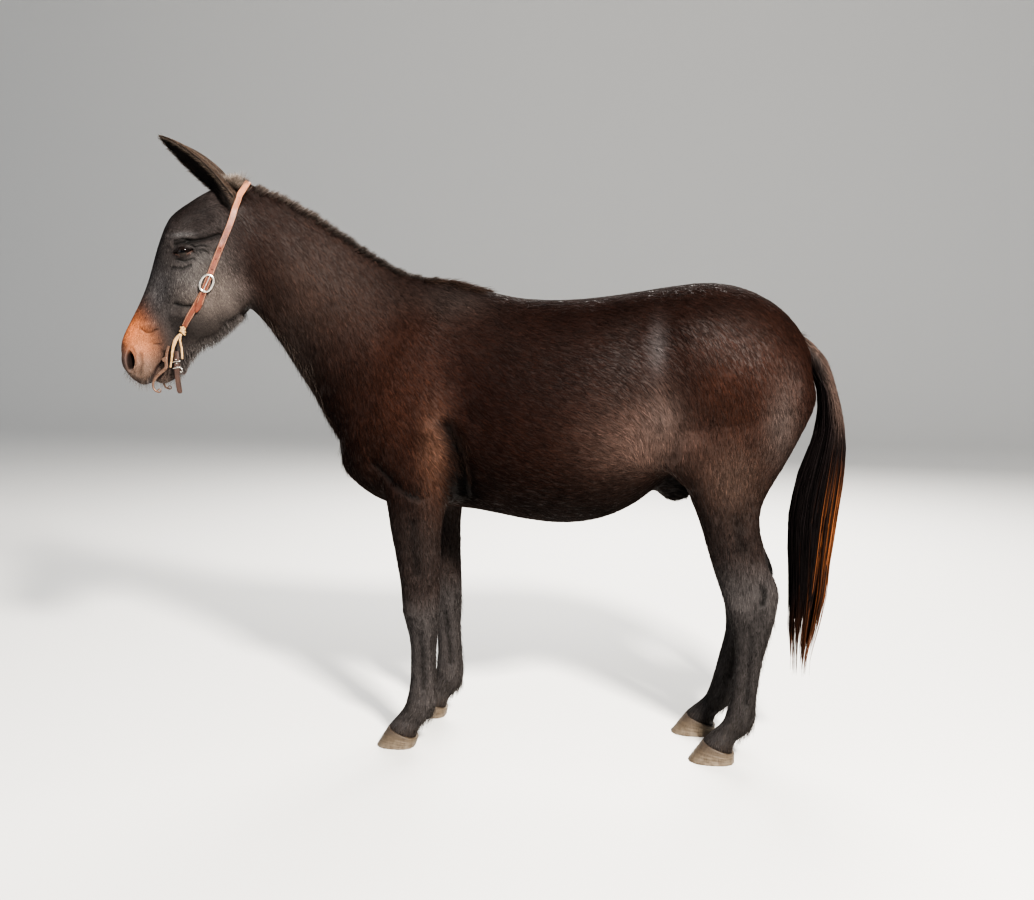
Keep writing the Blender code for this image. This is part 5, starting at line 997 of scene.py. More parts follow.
# Coat. The lie of the hair: x, z, the way it runs on the right side, and how far the guide reaches
lieOfCoat = (
    (-1.405, 1.345, -0.42, 0.10, -0.90, 0.050),
    (-1.360, 1.320, -0.20, 0.00, -0.98, 0.050),
    (-1.425, 1.250, -0.10, 0.10, -1.00, 0.045),
    (-1.420, 1.170, 0.15, 0.05, -1.00, 0.040),
    (-1.370, 1.170, -0.25, 0.00, -0.97, 0.040),
    (-1.330, 1.230, 0.10, 0.00, -1.00, 0.045),
    (-1.290, 1.155, 0.10, 0.00, -1.00, 0.040),
    (-1.270, 1.240, 0.35, 0.00, -0.94, 0.050),
    (-1.330, 1.450, -0.32, 0.25, -0.92, 0.060),
    (-1.300, 1.560, -0.25, 0.35, -0.90, 0.050),
    (-1.260, 1.440, 0.05, 0.00, -1.00, 0.060),
    (-1.262, 1.640, -0.10, 0.50, 0.60, 0.045),
    (-1.190, 1.690, 0.55, 0.30, 0.60, 0.055),
    (-1.110, 1.730, 0.90, 0.10, 0.25, 0.050),
    (-1.255, 1.560, -0.10, 0.00, -1.00, 0.030),
    (-1.215, 1.580, 0.60, 0.20, 0.55, 0.030),
    (-1.170, 1.560, 0.80, 0.00, 0.00, 0.030),
    (-1.180, 1.505, 0.70, 0.00, -0.70, 0.030),
    (-1.230, 1.490, 0.20, 0.00, -1.00, 0.030),
    (-1.190, 1.420, 0.35, 0.00, -0.92, 0.060),
    (-1.110, 1.480, 0.45, 0.00, -0.88, 0.060),
    (-1.110, 1.600, 0.60, 0.00, -0.70, 0.050),
    (-1.200, 1.340, 0.45, 0.00, -0.88, 0.055),
    (-1.120, 1.350, 0.50, 0.00, -0.86, 0.060),
    (-1.020, 1.560, 0.62, 0.00, -0.78, 0.080),
    (-0.960, 1.640, 0.70, 0.10, -0.70, 0.090),
    (-0.950, 1.400, 0.50, 0.00, -0.86, 0.090),
    (-0.840, 1.260, 0.40, 0.00, -0.92, 0.100),
    (-0.800, 1.560, 0.66, 0.10, -0.74, 0.110),
    (-0.760, 1.400, 0.52, 0.00, -0.85, 0.120),
    (-0.640, 1.460, 0.66, 0.10, -0.74, 0.110),
    (-0.740, 1.100, 0.28, 0.10, -0.95, 0.110),
    (-0.560, 1.250, 0.55, 0.00, -0.83, 0.130),
    (-0.660, 0.920, 0.30, 0.00, -0.95, 0.100),
    (-0.480, 1.050, 0.50, 0.00, -0.86, 0.120),
    (-0.450, 0.880, 0.25, 0.00, -0.97, 0.080),
    (-0.450, 1.430, 0.85, 0.40, -0.40, 0.110),
    (-0.300, 1.200, 0.80, 0.00, -0.60, 0.150),
    (-0.250, 1.390, 0.92, 0.35, -0.25, 0.120),
    (-0.300, 0.950, 0.92, 0.00, -0.38, 0.130),
    (-0.250, 0.740, 1.00, 0.00, -0.05, 0.120),
    (0.000, 1.100, 0.90, 0.00, -0.42, 0.180),
    (0.050, 1.380, 0.94, 0.30, -0.22, 0.140),
    (0.000, 0.860, 0.97, 0.00, -0.20, 0.140),
    (0.050, 0.700, 1.00, 0.00, 0.05, 0.140),
    (0.230, 1.250, 0.80, 0.00, -0.60, 0.100),
    (0.240, 1.090, 0.55, 0.00, -0.83, 0.080),
    (0.250, 0.950, 0.10, 0.00, -0.98, 0.080),
    (0.220, 0.820, 0.90, 0.00, 0.10, 0.080),
    (0.380, 1.410, 0.86, 0.35, -0.30, 0.110),
    (0.560, 1.350, 0.70, 0.20, -0.66, 0.100),
    (0.420, 1.240, 0.50, 0.00, -0.86, 0.120),
    (0.600, 1.180, 0.25, 0.00, -0.96, 0.110),
    (0.420, 1.020, 0.16, 0.00, -0.98, 0.110),
    (0.560, 0.930, -0.10, 0.00, -0.99, 0.090),
    (0.430, 0.820, 0.10, 0.00, -0.99, 0.090),
    (0.490, 0.640, 0.15, 0.00, -0.98, 0.090),
    (0.530, 0.400, -0.05, 0.00, -1.00, 0.110),
    (0.490, 0.130, -0.20, 0.00, -0.98, 0.060),
    (-0.490, 0.700, 0.10, 0.00, -0.99, 0.090),
    (-0.470, 0.480, 0.05, 0.00, -1.00, 0.100),
    (-0.460, 0.280, 0.00, 0.00, -1.00, 0.100),
    (-0.500, 0.120, -0.25, 0.00, -0.97, 0.060),
)
coat = {
    "dark": (0.0105, 0.0050, 0.0037),
    "tilt": 0.20,  # how much the tufts' ways differ
    "patch": 0.0015,  # half of a tuft's patch on the unwrap
    # tufts for a square metre, length, width, lift of the tip, how much the colours differ
    "kinds": {
        "muzzle": (230000, 0.0062, 0.0010, 0.10, 0.55),
        "head": (172000, 0.0102, 0.0012, 0.08, 0.75),
        "shank": (78000, 0.0155, 0.0018, 0.07, 0.55),
        "leg": (52000, 0.0200, 0.0023, 0.06, 0.50),
        "trunk": (43000, 0.0250, 0.0026, 0.05, 0.45),
    },
}
# Markings, with painted sheen and painted highlights among them: centre, half sizes (the same on both sides), colour,
# strength
markingsAndPaintedSheen = (
    ((-0.05, 0.25, 1.10), (0.95, 0.80, 0.42), (0.0086, 0.0033, 0.0022), 0.88),
    ((0.00, 0.25, 0.98), (0.46, 0.80, 0.20), (0.0150, 0.0058, 0.0036), 0.80),
    ((-0.52, 0.15, 1.10), (0.20, 0.60, 0.26), (0.0310, 0.0128, 0.0082), 0.80),
    ((-0.415, 0.20, 0.94), (0.045, 0.40, 0.13), (0.0780, 0.0420, 0.0290), 0.75),  # elbow
    ((0.50, 0.15, 1.14), (0.20, 0.60, 0.20), (0.0245, 0.0092, 0.0054), 0.80),
    ((0.20, 0.20, 0.97), (0.17, 0.40, 0.13), (0.0720, 0.0480, 0.0405), 0.72),  # painted sheen on the lower flank
    # painted highlight on the lower flank
    ((0.26, 0.20, 1.06), (0.07, 0.40, 0.10), (0.0600, 0.0450, 0.0400), 0.55),
    ((0.24, 0.20, 1.25), (0.028, 0.30, 0.075), (0.0700, 0.0640, 0.0640), 0.60),  # painted highlight of a glossy streak
    ((0.60, 0.15, 1.04), (0.055, 0.40, 0.14), (0.0600, 0.0480, 0.0440), 0.62),  # painted sheen down the back of the thigh
    # painted sheen lower on the thigh
    ((0.47, 0.20, 0.86), (0.10, 0.40, 0.14), (0.0540, 0.0360, 0.0290), 0.65),
    ((-0.80, 0.10, 1.42), (0.26, 0.60, 0.24), (0.0245, 0.0150, 0.0120), 0.85),
    ((-0.38, 0.10, 1.40), (0.16, 0.30, 0.07), (0.0300, 0.0245, 0.0225), 0.60),  # withers
    ((-0.88, 0.00, 1.22), (0.10, 0.10, 0.18), (0.0480, 0.0410, 0.0370), 0.40),  # throat edge
    ((0.00, 0.00, 1.43), (0.75, 0.09, 0.10), (0.0080, 0.0047, 0.0040), 0.80),  # dark line of the back
    ((0.00, 0.00, 0.69), (0.52, 0.30, 0.10), (0.0036, 0.0027, 0.0026), 0.97),  # under the belly
    ((0.30, 0.00, 0.84), (0.10, 0.10, 0.13), (0.0028, 0.0022, 0.0022), 1.00),  # sheath
    ((-0.60, 0.00, 0.86), (0.14, 0.10, 0.16), (0.0070, 0.0046, 0.0040), 0.80),  # between the forelegs
    ((-0.42, 0.12, 0.80), (0.05, 0.10, 0.16), (0.0480, 0.0215, 0.0125), 0.60),  # rusty back of the forearm
)
paintedFoldShade = (  # painted shade in the folds of the body
    (((-0.374, 1.015), (-0.350, 0.950), (-0.332, 0.880), (-0.325, 0.800)), 0.024, 0.88),
    (((-0.612, 0.890), (-0.572, 0.860), (-0.500, 0.806), (-0.455, 0.790)), 0.010, 0.78),
    (((-0.352, 0.850), (-0.362, 0.790)), 0.030, 0.90),
    (((0.286, 1.107), (0.312, 0.990), (0.294, 0.930)), 0.010, 0.25),
)
shines = (  # where the coat is glossiest
    ((0.240, 0.25, 1.255), (0.028, 0.30, 0.080), 1.0),
    ((0.280, 0.25, 1.085), (0.030, 0.30, 0.035), 0.9),
    ((0.640, 0.15, 1.060), (0.050, 0.30, 0.130), 0.7),
    ((-0.480, 0.20, 1.020), (0.060, 0.30, 0.120), 0.45),
    ((-1.300, 0.06, 1.440), (0.080, 0.08, 0.100), 0.50),
    ((-0.880, 0.00, 1.220), (0.080, 0.12, 0.200), 0.5),
)
# Head markings, with painted sheen, painted highlights and painted shade among them
headMarkingsAndPaintedLight = (
    ((-1.140, 0.09, 1.400), (0.11, 0.10, 0.10), (0.096, 0.079, 0.070), 0.75),  # painted sunlit sheen on the jowl
    ((-1.200, 0.09, 1.450), (0.07, 0.10, 0.06), (0.058, 0.055, 0.054), 0.70),  # painted highlight on the cheek
    ((-1.300, 0.05, 1.420), (0.07, 0.07, 0.10), (0.056, 0.053, 0.054), 0.70),  # side of the nose
    ((-1.200, 0.08, 1.640), (0.15, 0.12, 0.075), (0.0105, 0.0078, 0.0072), 0.88),  # painted shade on the forehead and over the eye
    ((-1.165, 0.10, 1.515), (0.05, 0.06, 0.03), (0.060, 0.057, 0.056), 0.65),  # behind the eye
    ((-1.222, 0.09, 1.577), (0.045, 0.04, 0.008), (0.064, 0.062, 0.063), 0.70),  # painted highlight along the brow
    ((-1.400, 0.02, 1.285), (0.055, 0.09, 0.075), (0.36, 0.122, 0.050), 0.98),  # tan of the nose
    ((-1.365, 0.04, 1.240), (0.050, 0.07, 0.060), (0.33, 0.135, 0.066), 0.85),
    ((-1.370, 0.03, 1.165), (0.055, 0.07, 0.060), (0.150, 0.102, 0.078), 0.85),  # lips
    ((-1.432, 0.02, 1.200), (0.022, 0.05, 0.050), (0.100, 0.072, 0.060), 0.75),
    ((-1.415, 0.055, 1.192), (0.016, 0.03, 0.034), (0.060, 0.044, 0.040), 0.85),  # nostril
    ((-1.310, 0.03, 1.140), (0.030, 0.06, 0.040), (0.105, 0.072, 0.060), 0.75),  # chin
    ((-1.395, 0.03, 1.128), (0.040, 0.06, 0.016), (0.045, 0.031, 0.027), 0.85),  # edge of the upper lip
    ((-1.150, 0.00, 1.270), (0.080, 0.09, 0.040), (0.026, 0.021, 0.019), 0.85),  # under the jaw
)


def near(points, centre, radii):  # 1 at the centre, 0 past about the half sizes, on both sides
    spot = np.column_stack([points[:, 0], np.abs(points[:, 1]), points[:, 2]])
    return blob(spot, centre, np.array(radii) * 1.25)


def headShare(points):
    return (1 - ramp(points[:, 0] + 0.25 * (points[:, 2] - 1.5), -1.13, -1.00)) * (points[:, 2] > 1.0)


def waves(points, size, seed):  # slow, smooth change over the body, from -1 to 1
    draw = np.random.default_rng(seed)
    total = np.zeros(len(points))
    for _ in range(6):
        way = draw.normal(size=3)
        way /= np.linalg.norm(way) * size * draw.uniform(0.6, 1.6)
        total += np.sin(points @ way * math.tau + draw.uniform(0, math.tau))
    return total / 4


def coatColour(points):  # the markings with painted sheen and shade, the same for the skin and for every tuft
    colour = np.tile(np.array(coat["dark"]), (len(points), 1))

    def lay(rows, share=1.0):
        for centre, radii, tone, strength in rows:
            w = (near(points, centre, radii) * strength * share)[:, None]
            colour[:] = colour * (1 - w) + np.array(tone) * w

    lay(markingsAndPaintedSheen)
    low = 1 - ramp(points[:, 2], 0.58, 0.90)
    colour[:] = colour * (1 - 0.9 * low[:, None]) + np.array((0.0215, 0.0158, 0.0142)) * 0.9 * low[:, None]
    behind = ramp(points[:, 0], -0.1, 0.1)
    # the cannons greyer: partly their own colour, partly painted sheen
    cannon = (1 - ramp(points[:, 2] - 0.14 * behind, 0.40, 0.52)) * ramp(points[:, 2], 0.03, 0.07) * 0.56
    colour[:] = colour * (1 - cannon[:, None]) + np.array((0.047, 0.0445, 0.0450)) * cannon[:, None]
    colour *= (1 - 0.30 * (1 - ramp(points[:, 2], 0.42, 0.52)) * behind)[:, None]
    head = headShare(points)
    colour[:] = colour * (1 - head[:, None]) + np.array((0.031, 0.0265, 0.0255)) * head[:, None]
    lay(headMarkingsAndPaintedLight, head)
    for side in sides.values():
        _, outside, inside, up = slitPlace(points, side)
        here = (points[:, 1] * side > 0.04) & (points[:, 2] > 1.40) & (points[:, 0] < -1.1)
        dark = np.exp(-((outside / 0.011) ** 2)) * here * 0.92
        colour[:] = colour * (1 - dark[:, None]) + np.array((0.010, 0.0075, 0.0075)) * dark[:, None]
        pink = np.exp(-(((outside - 0.0015) / 0.0024) ** 2)) * here * (up < 0) * 0.75
        colour[:] = colour * (1 - pink[:, None]) + np.array((0.072, 0.042, 0.033)) * pink[:, None]
        deep = ramp(inside, 0.0005, 0.003) * here
        colour[:] = colour * (1 - deep[:, None]) + np.array((0.007, 0.0045, 0.0045)) * deep[:, None]
    line = pathDistance(points[:, [0, 2]], refined(mouth, 3))
    lips = np.exp(-((line / 0.0045) ** 2)) * (points[:, 2] > 1.0) * 0.8
    colour[:] = colour * (1 - lips[:, None]) + np.array((0.030, 0.018, 0.017)) * lips[:, None]
    for path, radius, height in fineForms:  # shade lies in the folds
        if height < 0:
            fold = np.exp(-((pathDistance(points[:, [0, 2]], path) / radius) ** 2)) * head * (np.abs(points[:, 1]) > 0.012)
            colour *= (1 - (0.8 if path[0][0] > -1.28 else 0.45) * fold)[:, None]
    for path, radius, dark in paintedFoldShade:
        shade = np.exp(-((pathDistance(points[:, [0, 2]], path) / radius) ** 2)) * dark * ramp(np.abs(points[:, 1]), 0.05, 0.12)
        colour *= (1 - shade)[:, None]
    # painted shade along the hollows of the legs
    for end, name in skinForm["stance"]:
        for path, radius, height in legForms[end]:
            if height < 0:
                line = pathDistance(points[:, [0, 2]], [(x + stance(end, name, z), z) for x, z in path])
                shade = np.exp(-((line / (0.6 * radius)) ** 2)) * (points[:, 1] * sides[name] > 0)
                colour *= (1 - (0.8 if radius == 0.018 else 0.5) * shade)[:, None]
    # painted shade inside the nostrils
    for side in sides.values():
        hole = (1 - ramp(nostrilShare(points, side), 0.55, 0.95)) * 0.95
        colour[:] = colour * (1 - hole[:, None]) + np.array((0.010, 0.0065, 0.006)) * hole[:, None]
    colour = np.clip(colour * (1 + 0.16 * waves(points, 0.16, 4) + 0.10 * waves(points, 0.05, 5))[:, None], 0, 1)
    return np.column_stack([colour, shineOf(points)])


def shineOf(points):  # how glossy the coat lies, from 0 to 1
    shine = np.full(len(points), 0.22)
    for centre, radii, strength in shines:
        shine = np.maximum(shine, near(points, centre, radii) * strength)
    return np.clip(shine * (1 + 0.3 * waves(points, 0.03, 8)), 0, 1)


def hairWay(points, normals):  # along the skin, the way the hair lies
    rows = np.array(lieOfCoat)
    total = np.zeros((len(points), 3))
    weights = np.zeros(len(points))
    side = np.where(points[:, 1] < 0, -1.0, 1.0) * ramp(np.abs(points[:, 1]), 0.0, 0.03)
    for x, z, dx, dy, dz, reach in rows:
        far = ((points[:, 0] - x) ** 2 + (points[:, 2] - z) ** 2) / (reach * 0.9) ** 2
        w = np.exp(-np.minimum(far, 60)) + 1e-9 / (1 + far)
        total += w[:, None] * np.array((dx, dy, dz))
        total[:, 1] += w * dy * (side - 1)
        weights += w
    way = total / weights[:, None]
    way -= normals * (way * normals).sum(axis=1)[:, None]
    return unit(way)


def unwrap(points):  # the skin laid out flat: the trunk along its length, the legs by height
    legs = points[:, 2] < 0.66
    axisZ = np.interp(points[:, 0], (-1.42, -1.25, -1.1, -0.9, -0.7, -0.4, 0.7), (1.2, 1.42, 1.55, 1.45, 1.3, 1.08, 1.15))
    turn = np.arctan2(points[:, 1], points[:, 2] - axisZ) / math.tau + 0.5
    u = 0.01 + 0.98 * np.clip((points[:, 0] + 1.46) / 2.20, 0, 1)
    v = 0.01 + 0.66 * turn
    middleX = np.where(points[:, 0] < 0, -0.48, 0.50)
    middleY = np.where(points[:, 1] < 0, -0.13, 0.13)
    around = np.arctan2(points[:, 1] - middleY, points[:, 0] - middleX) / math.tau + 0.5
    number = (points[:, 0] > 0) * 2 + (points[:, 1] > 0)
    u = np.where(legs, 0.01 + 0.25 * number + 0.22 * around, u)
    v = np.where(legs, 0.70 + 0.28 * np.clip(points[:, 2] / 0.66, 0, 1), v)
    return np.column_stack([u, v])


def turned(points, vectors):  # the same vectors once the neck is turned
    step = 0.001
    return unit(posed(points + vectors * step) - posed(points))


def aboveFloor(points):
    points[:, 2] = np.maximum(points[:, 2], 0.0005)
    return points


def fastMesh(name, vertices, triangles):
    mesh = bpy.data.meshes.new(name)
    mesh.vertices.add(len(vertices))
    mesh.vertices.foreach_set("co", np.ascontiguousarray(vertices, np.float32).ravel())
    mesh.loops.add(triangles.size)
    mesh.loops.foreach_set("vertex_index", np.ascontiguousarray(triangles, np.int32).ravel())
    mesh.polygons.add(len(triangles))
    mesh.polygons.foreach_set("loop_start", np.arange(0, triangles.size, 3, dtype=np.int32))
    mesh.update(calc_edges=True)
    obj = bpy.data.objects.new(name, mesh)
    bpy.context.scene.collection.objects.link(obj)
    return obj


def addPatches(obj, roots, perRoot, spots):  # a small patch of the unwrap for each tuft
    layer = obj.data.uv_layers.new(name="OFBake")
    centres = np.repeat(unwrap(roots), perRoot, axis=0)
    around = np.tile(np.array(spots), (len(roots), 1)) * coat["patch"]
    loops = np.empty(len(obj.data.loops), np.int32)
    obj.data.loops.foreach_get("vertex_index", loops)
    layer.data.foreach_set("uv", np.ascontiguousarray((centres + around)[loops], np.float32).ravel())


def tufts(name, roots, normals, ways, length, width, lift, differ, colours, draw):
    count = len(roots)
    across = np.cross(ways, normals)
    spread = draw.normal(0, coat["tilt"], count)
    ways = unit(ways + across * spread[:, None])
    across = unit(np.cross(ways, normals))
    length = (length * draw.uniform(0.65, 1.25, count))[:, None]
    width = (width * draw.uniform(0.75, 1.25, count))[:, None]
    lift = (lift * draw.uniform(0.5, 1.7, count))[:, None]
    base = roots - normals * 0.0004
    left, right = base - across * width / 2, base + across * width / 2
    ridge = roots + ways * length * 0.35 + normals * (width * 0.28 + length * lift * 0.35)
    tip = roots + ways * length + normals * length * lift
    vertices = np.stack([left, right, ridge, tip], axis=1).reshape(-1, 3)
    first = (np.arange(count) * 4)[:, None]
    faces = np.stack([first + np.array(f) for f in ((0, 1, 2), (0, 2, 3), (1, 3, 2), (0, 3, 1))], axis=1)
    obj = fastMesh(name, aboveFloor(posed(vertices) + shift), faces.reshape(-1, 3))
    lean = draw.normal(0, 0.085, (count, 3))
    shades = []
    for k, (sideways, along) in enumerate(((-0.30, 0), (0.30, 0), (0, 0.04), (0, 0.10))):
        shades.append(unit(normals + across * sideways + ways * along + lean))
    shade = np.stack(shades, axis=1).reshape(-1, 3)
    obj.data.shade_smooth()
    obj.data.normals_split_custom_set_from_vertices(turned(vertices, shade).tolist())
    tone = np.exp(differ * np.clip(draw.normal(0, 0.75, count), -1.5, 1.8) - 0.25 * differ**2)[:, None]
    parts = [np.column_stack([colours[:, :3] * tone * k, colours[:, 3]]) for k in (0.72, 0.72, 1.0, 1.30)]
    paint(obj, "coatColour", np.stack(parts, axis=1).reshape(-1, 4))
    addPatches(obj, roots, 4, ((-1, -1), (1, -1), (0, 0), (0, 1)))
    return obj


def strands(name, paths, radii, colours, flat=1.0, corners=3, facing=None, shine=0.3):
    paths, radii = np.array(paths, float), np.array(radii, float)
    count, rings = paths.shape[:2]
    ways = np.gradient(paths, axis=1)
    ways /= np.maximum(np.linalg.norm(ways, axis=2), 1e-9)[:, :, None]
    up = np.zeros_like(ways)
    up[:] = (0.13, 0.97, 0.2) if facing is None else facing
    across = np.cross(ways, up)
    across /= np.maximum(np.linalg.norm(across, axis=2), 1e-9)[:, :, None]
    up = np.cross(across, ways)
    vertices = []
    for k in range(corners):
        turn = math.tau * k / corners
        offset = across * math.cos(turn) + up * math.sin(turn) * flat
        vertices.append(paths + offset * radii[:, :, None])
    vertices = np.stack(vertices, axis=2).reshape(-1, 3)
    faces = []
    for ring in range(rings - 1):
        for k in range(corners):
            a, b = ring * corners + k, ring * corners + (k + 1) % corners
            faces += [(a, b + corners, b), (a, a + corners, b + corners)]
    last = (rings - 1) * corners
    for k in range(1, corners - 1):
        faces += [(0, k, k + 1), (last, last + k + 1, last + k)]
    first = (np.arange(count) * rings * corners)[:, None, None]
    obj = fastMesh(name, aboveFloor(posed(vertices) + shift), (first + np.array(faces)[None]).reshape(-1, 3))
    obj.data.shade_smooth()
    colours = np.repeat(colours.reshape(-1, 3), corners, axis=0)
    paint(obj, "coatColour", np.column_stack([colours, np.full(len(colours), shine)]))
    spots = [(math.cos(math.tau * (i % corners) / corners), 2 * (i // corners) / (rings - 1) - 1) for i in range(rings * corners)]
    addPatches(obj, paths[:, 0], rings * corners, spots)
    return obj


skinPoints, skinNormals = getPoints(skin), getNormals(skin)  # of the straight mule, kept for the coat
skin.data.calc_loop_triangles()
skinTriangles = np.empty(len(skin.data.loop_triangles) * 3, np.int32)
skin.data.loop_triangles.foreach_get("vertices", skinTriangles)
skinTriangles = skinTriangles.reshape(-1, 3)
paint(skin, "coatColour", coatColour(skinPoints))


def scatter(points, normals, triangles, density, draw):  # places on a mesh, as many as its faces' density asks
    corners = points[triangles]
    area = np.linalg.norm(np.cross(corners[:, 1] - corners[:, 0], corners[:, 2] - corners[:, 0]), axis=1) / 2
    total = np.cumsum(area * density(corners.mean(axis=1), normals[triangles].mean(axis=1)))
    count = int(total[-1])
    picks = np.searchsorted(total, (np.arange(count) + draw.random(count)) / count * total[-1])
    picks = np.minimum(picks, len(triangles) - 1)
    a, b = np.sqrt(draw.random(count))[:, None], draw.random(count)[:, None]
    shares = (1 - a, a * (1 - b), a * b)
    places = sum(corners[picks, k] * shares[k] for k in range(3))
    ups = unit(sum(normals[triangles[picks, k]] * shares[k] for k in range(3)))
    return places, ups


def kindShares(points):  # how much each kind of coat holds at a place
    head = headShare(points)
    snout = head * (1 - ramp(points[:, 2] - 0.5 * points[:, 0], 1.925, 2.02))
    leg = (1 - ramp(points[:, 2], 0.66, 0.86))
    leg = np.where(np.abs(points[:, 0]) < 0.24, 0, leg)  # not the belly
    shank = 1 - ramp(points[:, 2], 0.40, 0.56)
    shares = {
        "muzzle": head * snout,
        "head": head * (1 - snout),
        "shank": (1 - head) * leg * shank,
        "leg": (1 - head) * leg * (1 - shank),
    }
    shares["trunk"] = np.clip(1 - sum(shares.values()), 0, 1)
    return shares


def kindValue(points, which):
    shares = kindShares(points)
    return sum(shares[kind] * coat["kinds"][kind][which] for kind in shares)


def bareness(points, normals):  # 0 where hair grows, 1 on lids' edges, in the nostrils and the mouth
    bare = np.zeros(len(points))
    for side in sides.values():
        _, outside, inside, _ = slitPlace(points, side)
        here = (points[:, 1] * side > 0.04) & (points[:, 2] > 1.40) & (points[:, 0] < -1.1)
        bare = np.maximum(bare, np.where(here, 1 - ramp(outside, 0.0015, 0.0050), 0))
        bare = np.maximum(bare, 1 - ramp(nostrilShare(points, side), 0.85, 1.15))
    line = pathDistance(points[:, [0, 2]], refined(mouth, 3))
    bare = np.maximum(bare, np.where(points[:, 2] > 1, 1 - ramp(line, 0.0025, 0.0055), 0))
    return np.where(points[:, 2] < 0.03, 1, bare)


def coatPart(points):  # which piece of the coat a tuft belongs to
    head = headShare(points) > 0.5
    left = points[:, 1] < 0
    leg = (points[:, 2] < 0.70) & (np.abs(points[:, 0]) > 0.22)
    zone = np.where(points[:, 0] < -0.42, 1, np.where(points[:, 0] < 0.10, 2, 3))
    zone = np.where(leg, np.where(points[:, 0] < 0, 4, 5), np.where(head, 0, zone))
    return zone * 2 + left


def growCoat():
    draw = np.random.default_rng(11)

    def density(middles, ups):
        return kindValue(middles, 0) * (1 - bareness(middles, ups))

    roots, normals = scatter(skinPoints, skinNormals, skinTriangles, density, draw)
    ways = hairWay(roots, normals)
    colours = coatColour(roots)
    sizes = [kindValue(roots, which) for which in (1, 2, 3, 4)]
    parts = coatPart(roots)
    names = ("head", "neck", "barrel", "haunch", "foreleg", "hindleg")
    for number in range(12):
        chosen = parts == number
        name = f"coat_{names[number // 2]}_{'left' if number % 2 else 'right'}"
        piece = tufts(name, roots[chosen], normals[chosen], ways[chosen], *(s[chosen] for s in sizes), colours[chosen], draw)
        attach(piece, "root")
        piece.data.materials.append(finishes["coat"])
        print(name, int(chosen.sum()) * 4, "triangles")
    return roots, normals


# Long hair
longHair = {
    "maneHairs": 3500,
    "tailHairs": 2700,
    "tailLocks": 64,
    "tailRows": (  # back x, z, front x, z, half width, from the root of the tail to its tip
        (0.650, 1.284, 0.628, 1.228, 0.020),
        (0.688, 1.256, 0.655, 1.208, 0.024),
        (0.733, 1.205, 0.692, 1.160, 0.030),
        (0.766, 1.120, 0.713, 1.085, 0.035),
        (0.789, 1.040, 0.716, 1.010, 0.040),
        (0.797, 0.960, 0.690, 0.930, 0.046),
        (0.794, 0.860, 0.655, 0.840, 0.051),
        (0.781, 0.740, 0.636, 0.730, 0.052),
        (0.770, 0.620, 0.635, 0.615, 0.049),
        (0.759, 0.500, 0.640, 0.500, 0.042),
        (0.742, 0.400, 0.640, 0.400, 0.034),
        (0.716, 0.300, 0.650, 0.300, 0.022),
    ),
}


def finishPiece(obj, finish, slot, *nodes):
    obj.data.materials.clear()
    obj.data.materials.append(finishes[finish])
    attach(obj, "root")
    if nodes:
        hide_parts(*nodes)
    return obj


def hairColours(rootTone, tipTone, count, rings, draw, spread=0.35):
    share = np.linspace(0, 1, rings)[None, :, None]
    colours = np.array(rootTone) * (1 - share) + np.array(tipTone) * share
    return np.clip(colours * (1 + spread * draw.normal(0, 0.5, (count, 1, 1))), 0.002, 1)


def growMane():
    draw = np.random.default_rng(21)
    crest = np.array(skinForm["crest"])
    count, rings = longHair["maneHairs"], 4
    x = draw.uniform(-1.062, -0.440, count)
    x = np.where(np.abs(x + 1.034) < 0.013, x + 0.03, x)  # parted at the strap
    z, hair = np.interp(x, crest[:, 0], crest[:, 1]), np.interp(x, crest[:, 0], crest[:, 2])
    slope = (np.interp(x + 0.02, crest[:, 0], crest[:, 1]) - np.interp(x - 0.02, crest[:, 0], crest[:, 1])) / 0.04
    along = unit(np.column_stack([np.ones(count), np.zeros(count), slope]))
    up = np.column_stack([-along[:, 2], np.zeros(count), along[:, 0]])
    y = draw.normal(0, 0.0055, count)
    root = np.column_stack([x, y, z]) - up * (0.010 + 0.2 * np.abs(y))[:, None]
    length = (hair + 0.012) * draw.uniform(0.75, 1.12, count) * (1 + 0.09 * np.sin(x * 160 + 2 * np.sin(x * 47)))
    lean = draw.normal(0.30, 0.16, count)
    way = unit(up + along * lean[:, None] + np.column_stack([np.zeros(count), y * 28 + draw.normal(0, 0.12, count), np.zeros(count)]))
    t = np.linspace(0, 1, rings)[None, :, None]
    paths = root[:, None] + way[:, None] * length[:, None, None] * t + along[:, None] * (0.004 * t**2)
    radii = np.array((0.00085, 0.00080, 0.00060, 0.00012))[None] * draw.uniform(0.7, 1.3, (count, 1))
    colours = hairColours((0.012, 0.0085, 0.0075), (0.085, 0.070, 0.062), count, rings, draw, 0.8)
    colours *= (1 - 0.55 * ramp(x, -0.95, -0.70))[:, None, None]
    finishPiece(strands("mane", paths, radii, colours), "coat", "long_hair")


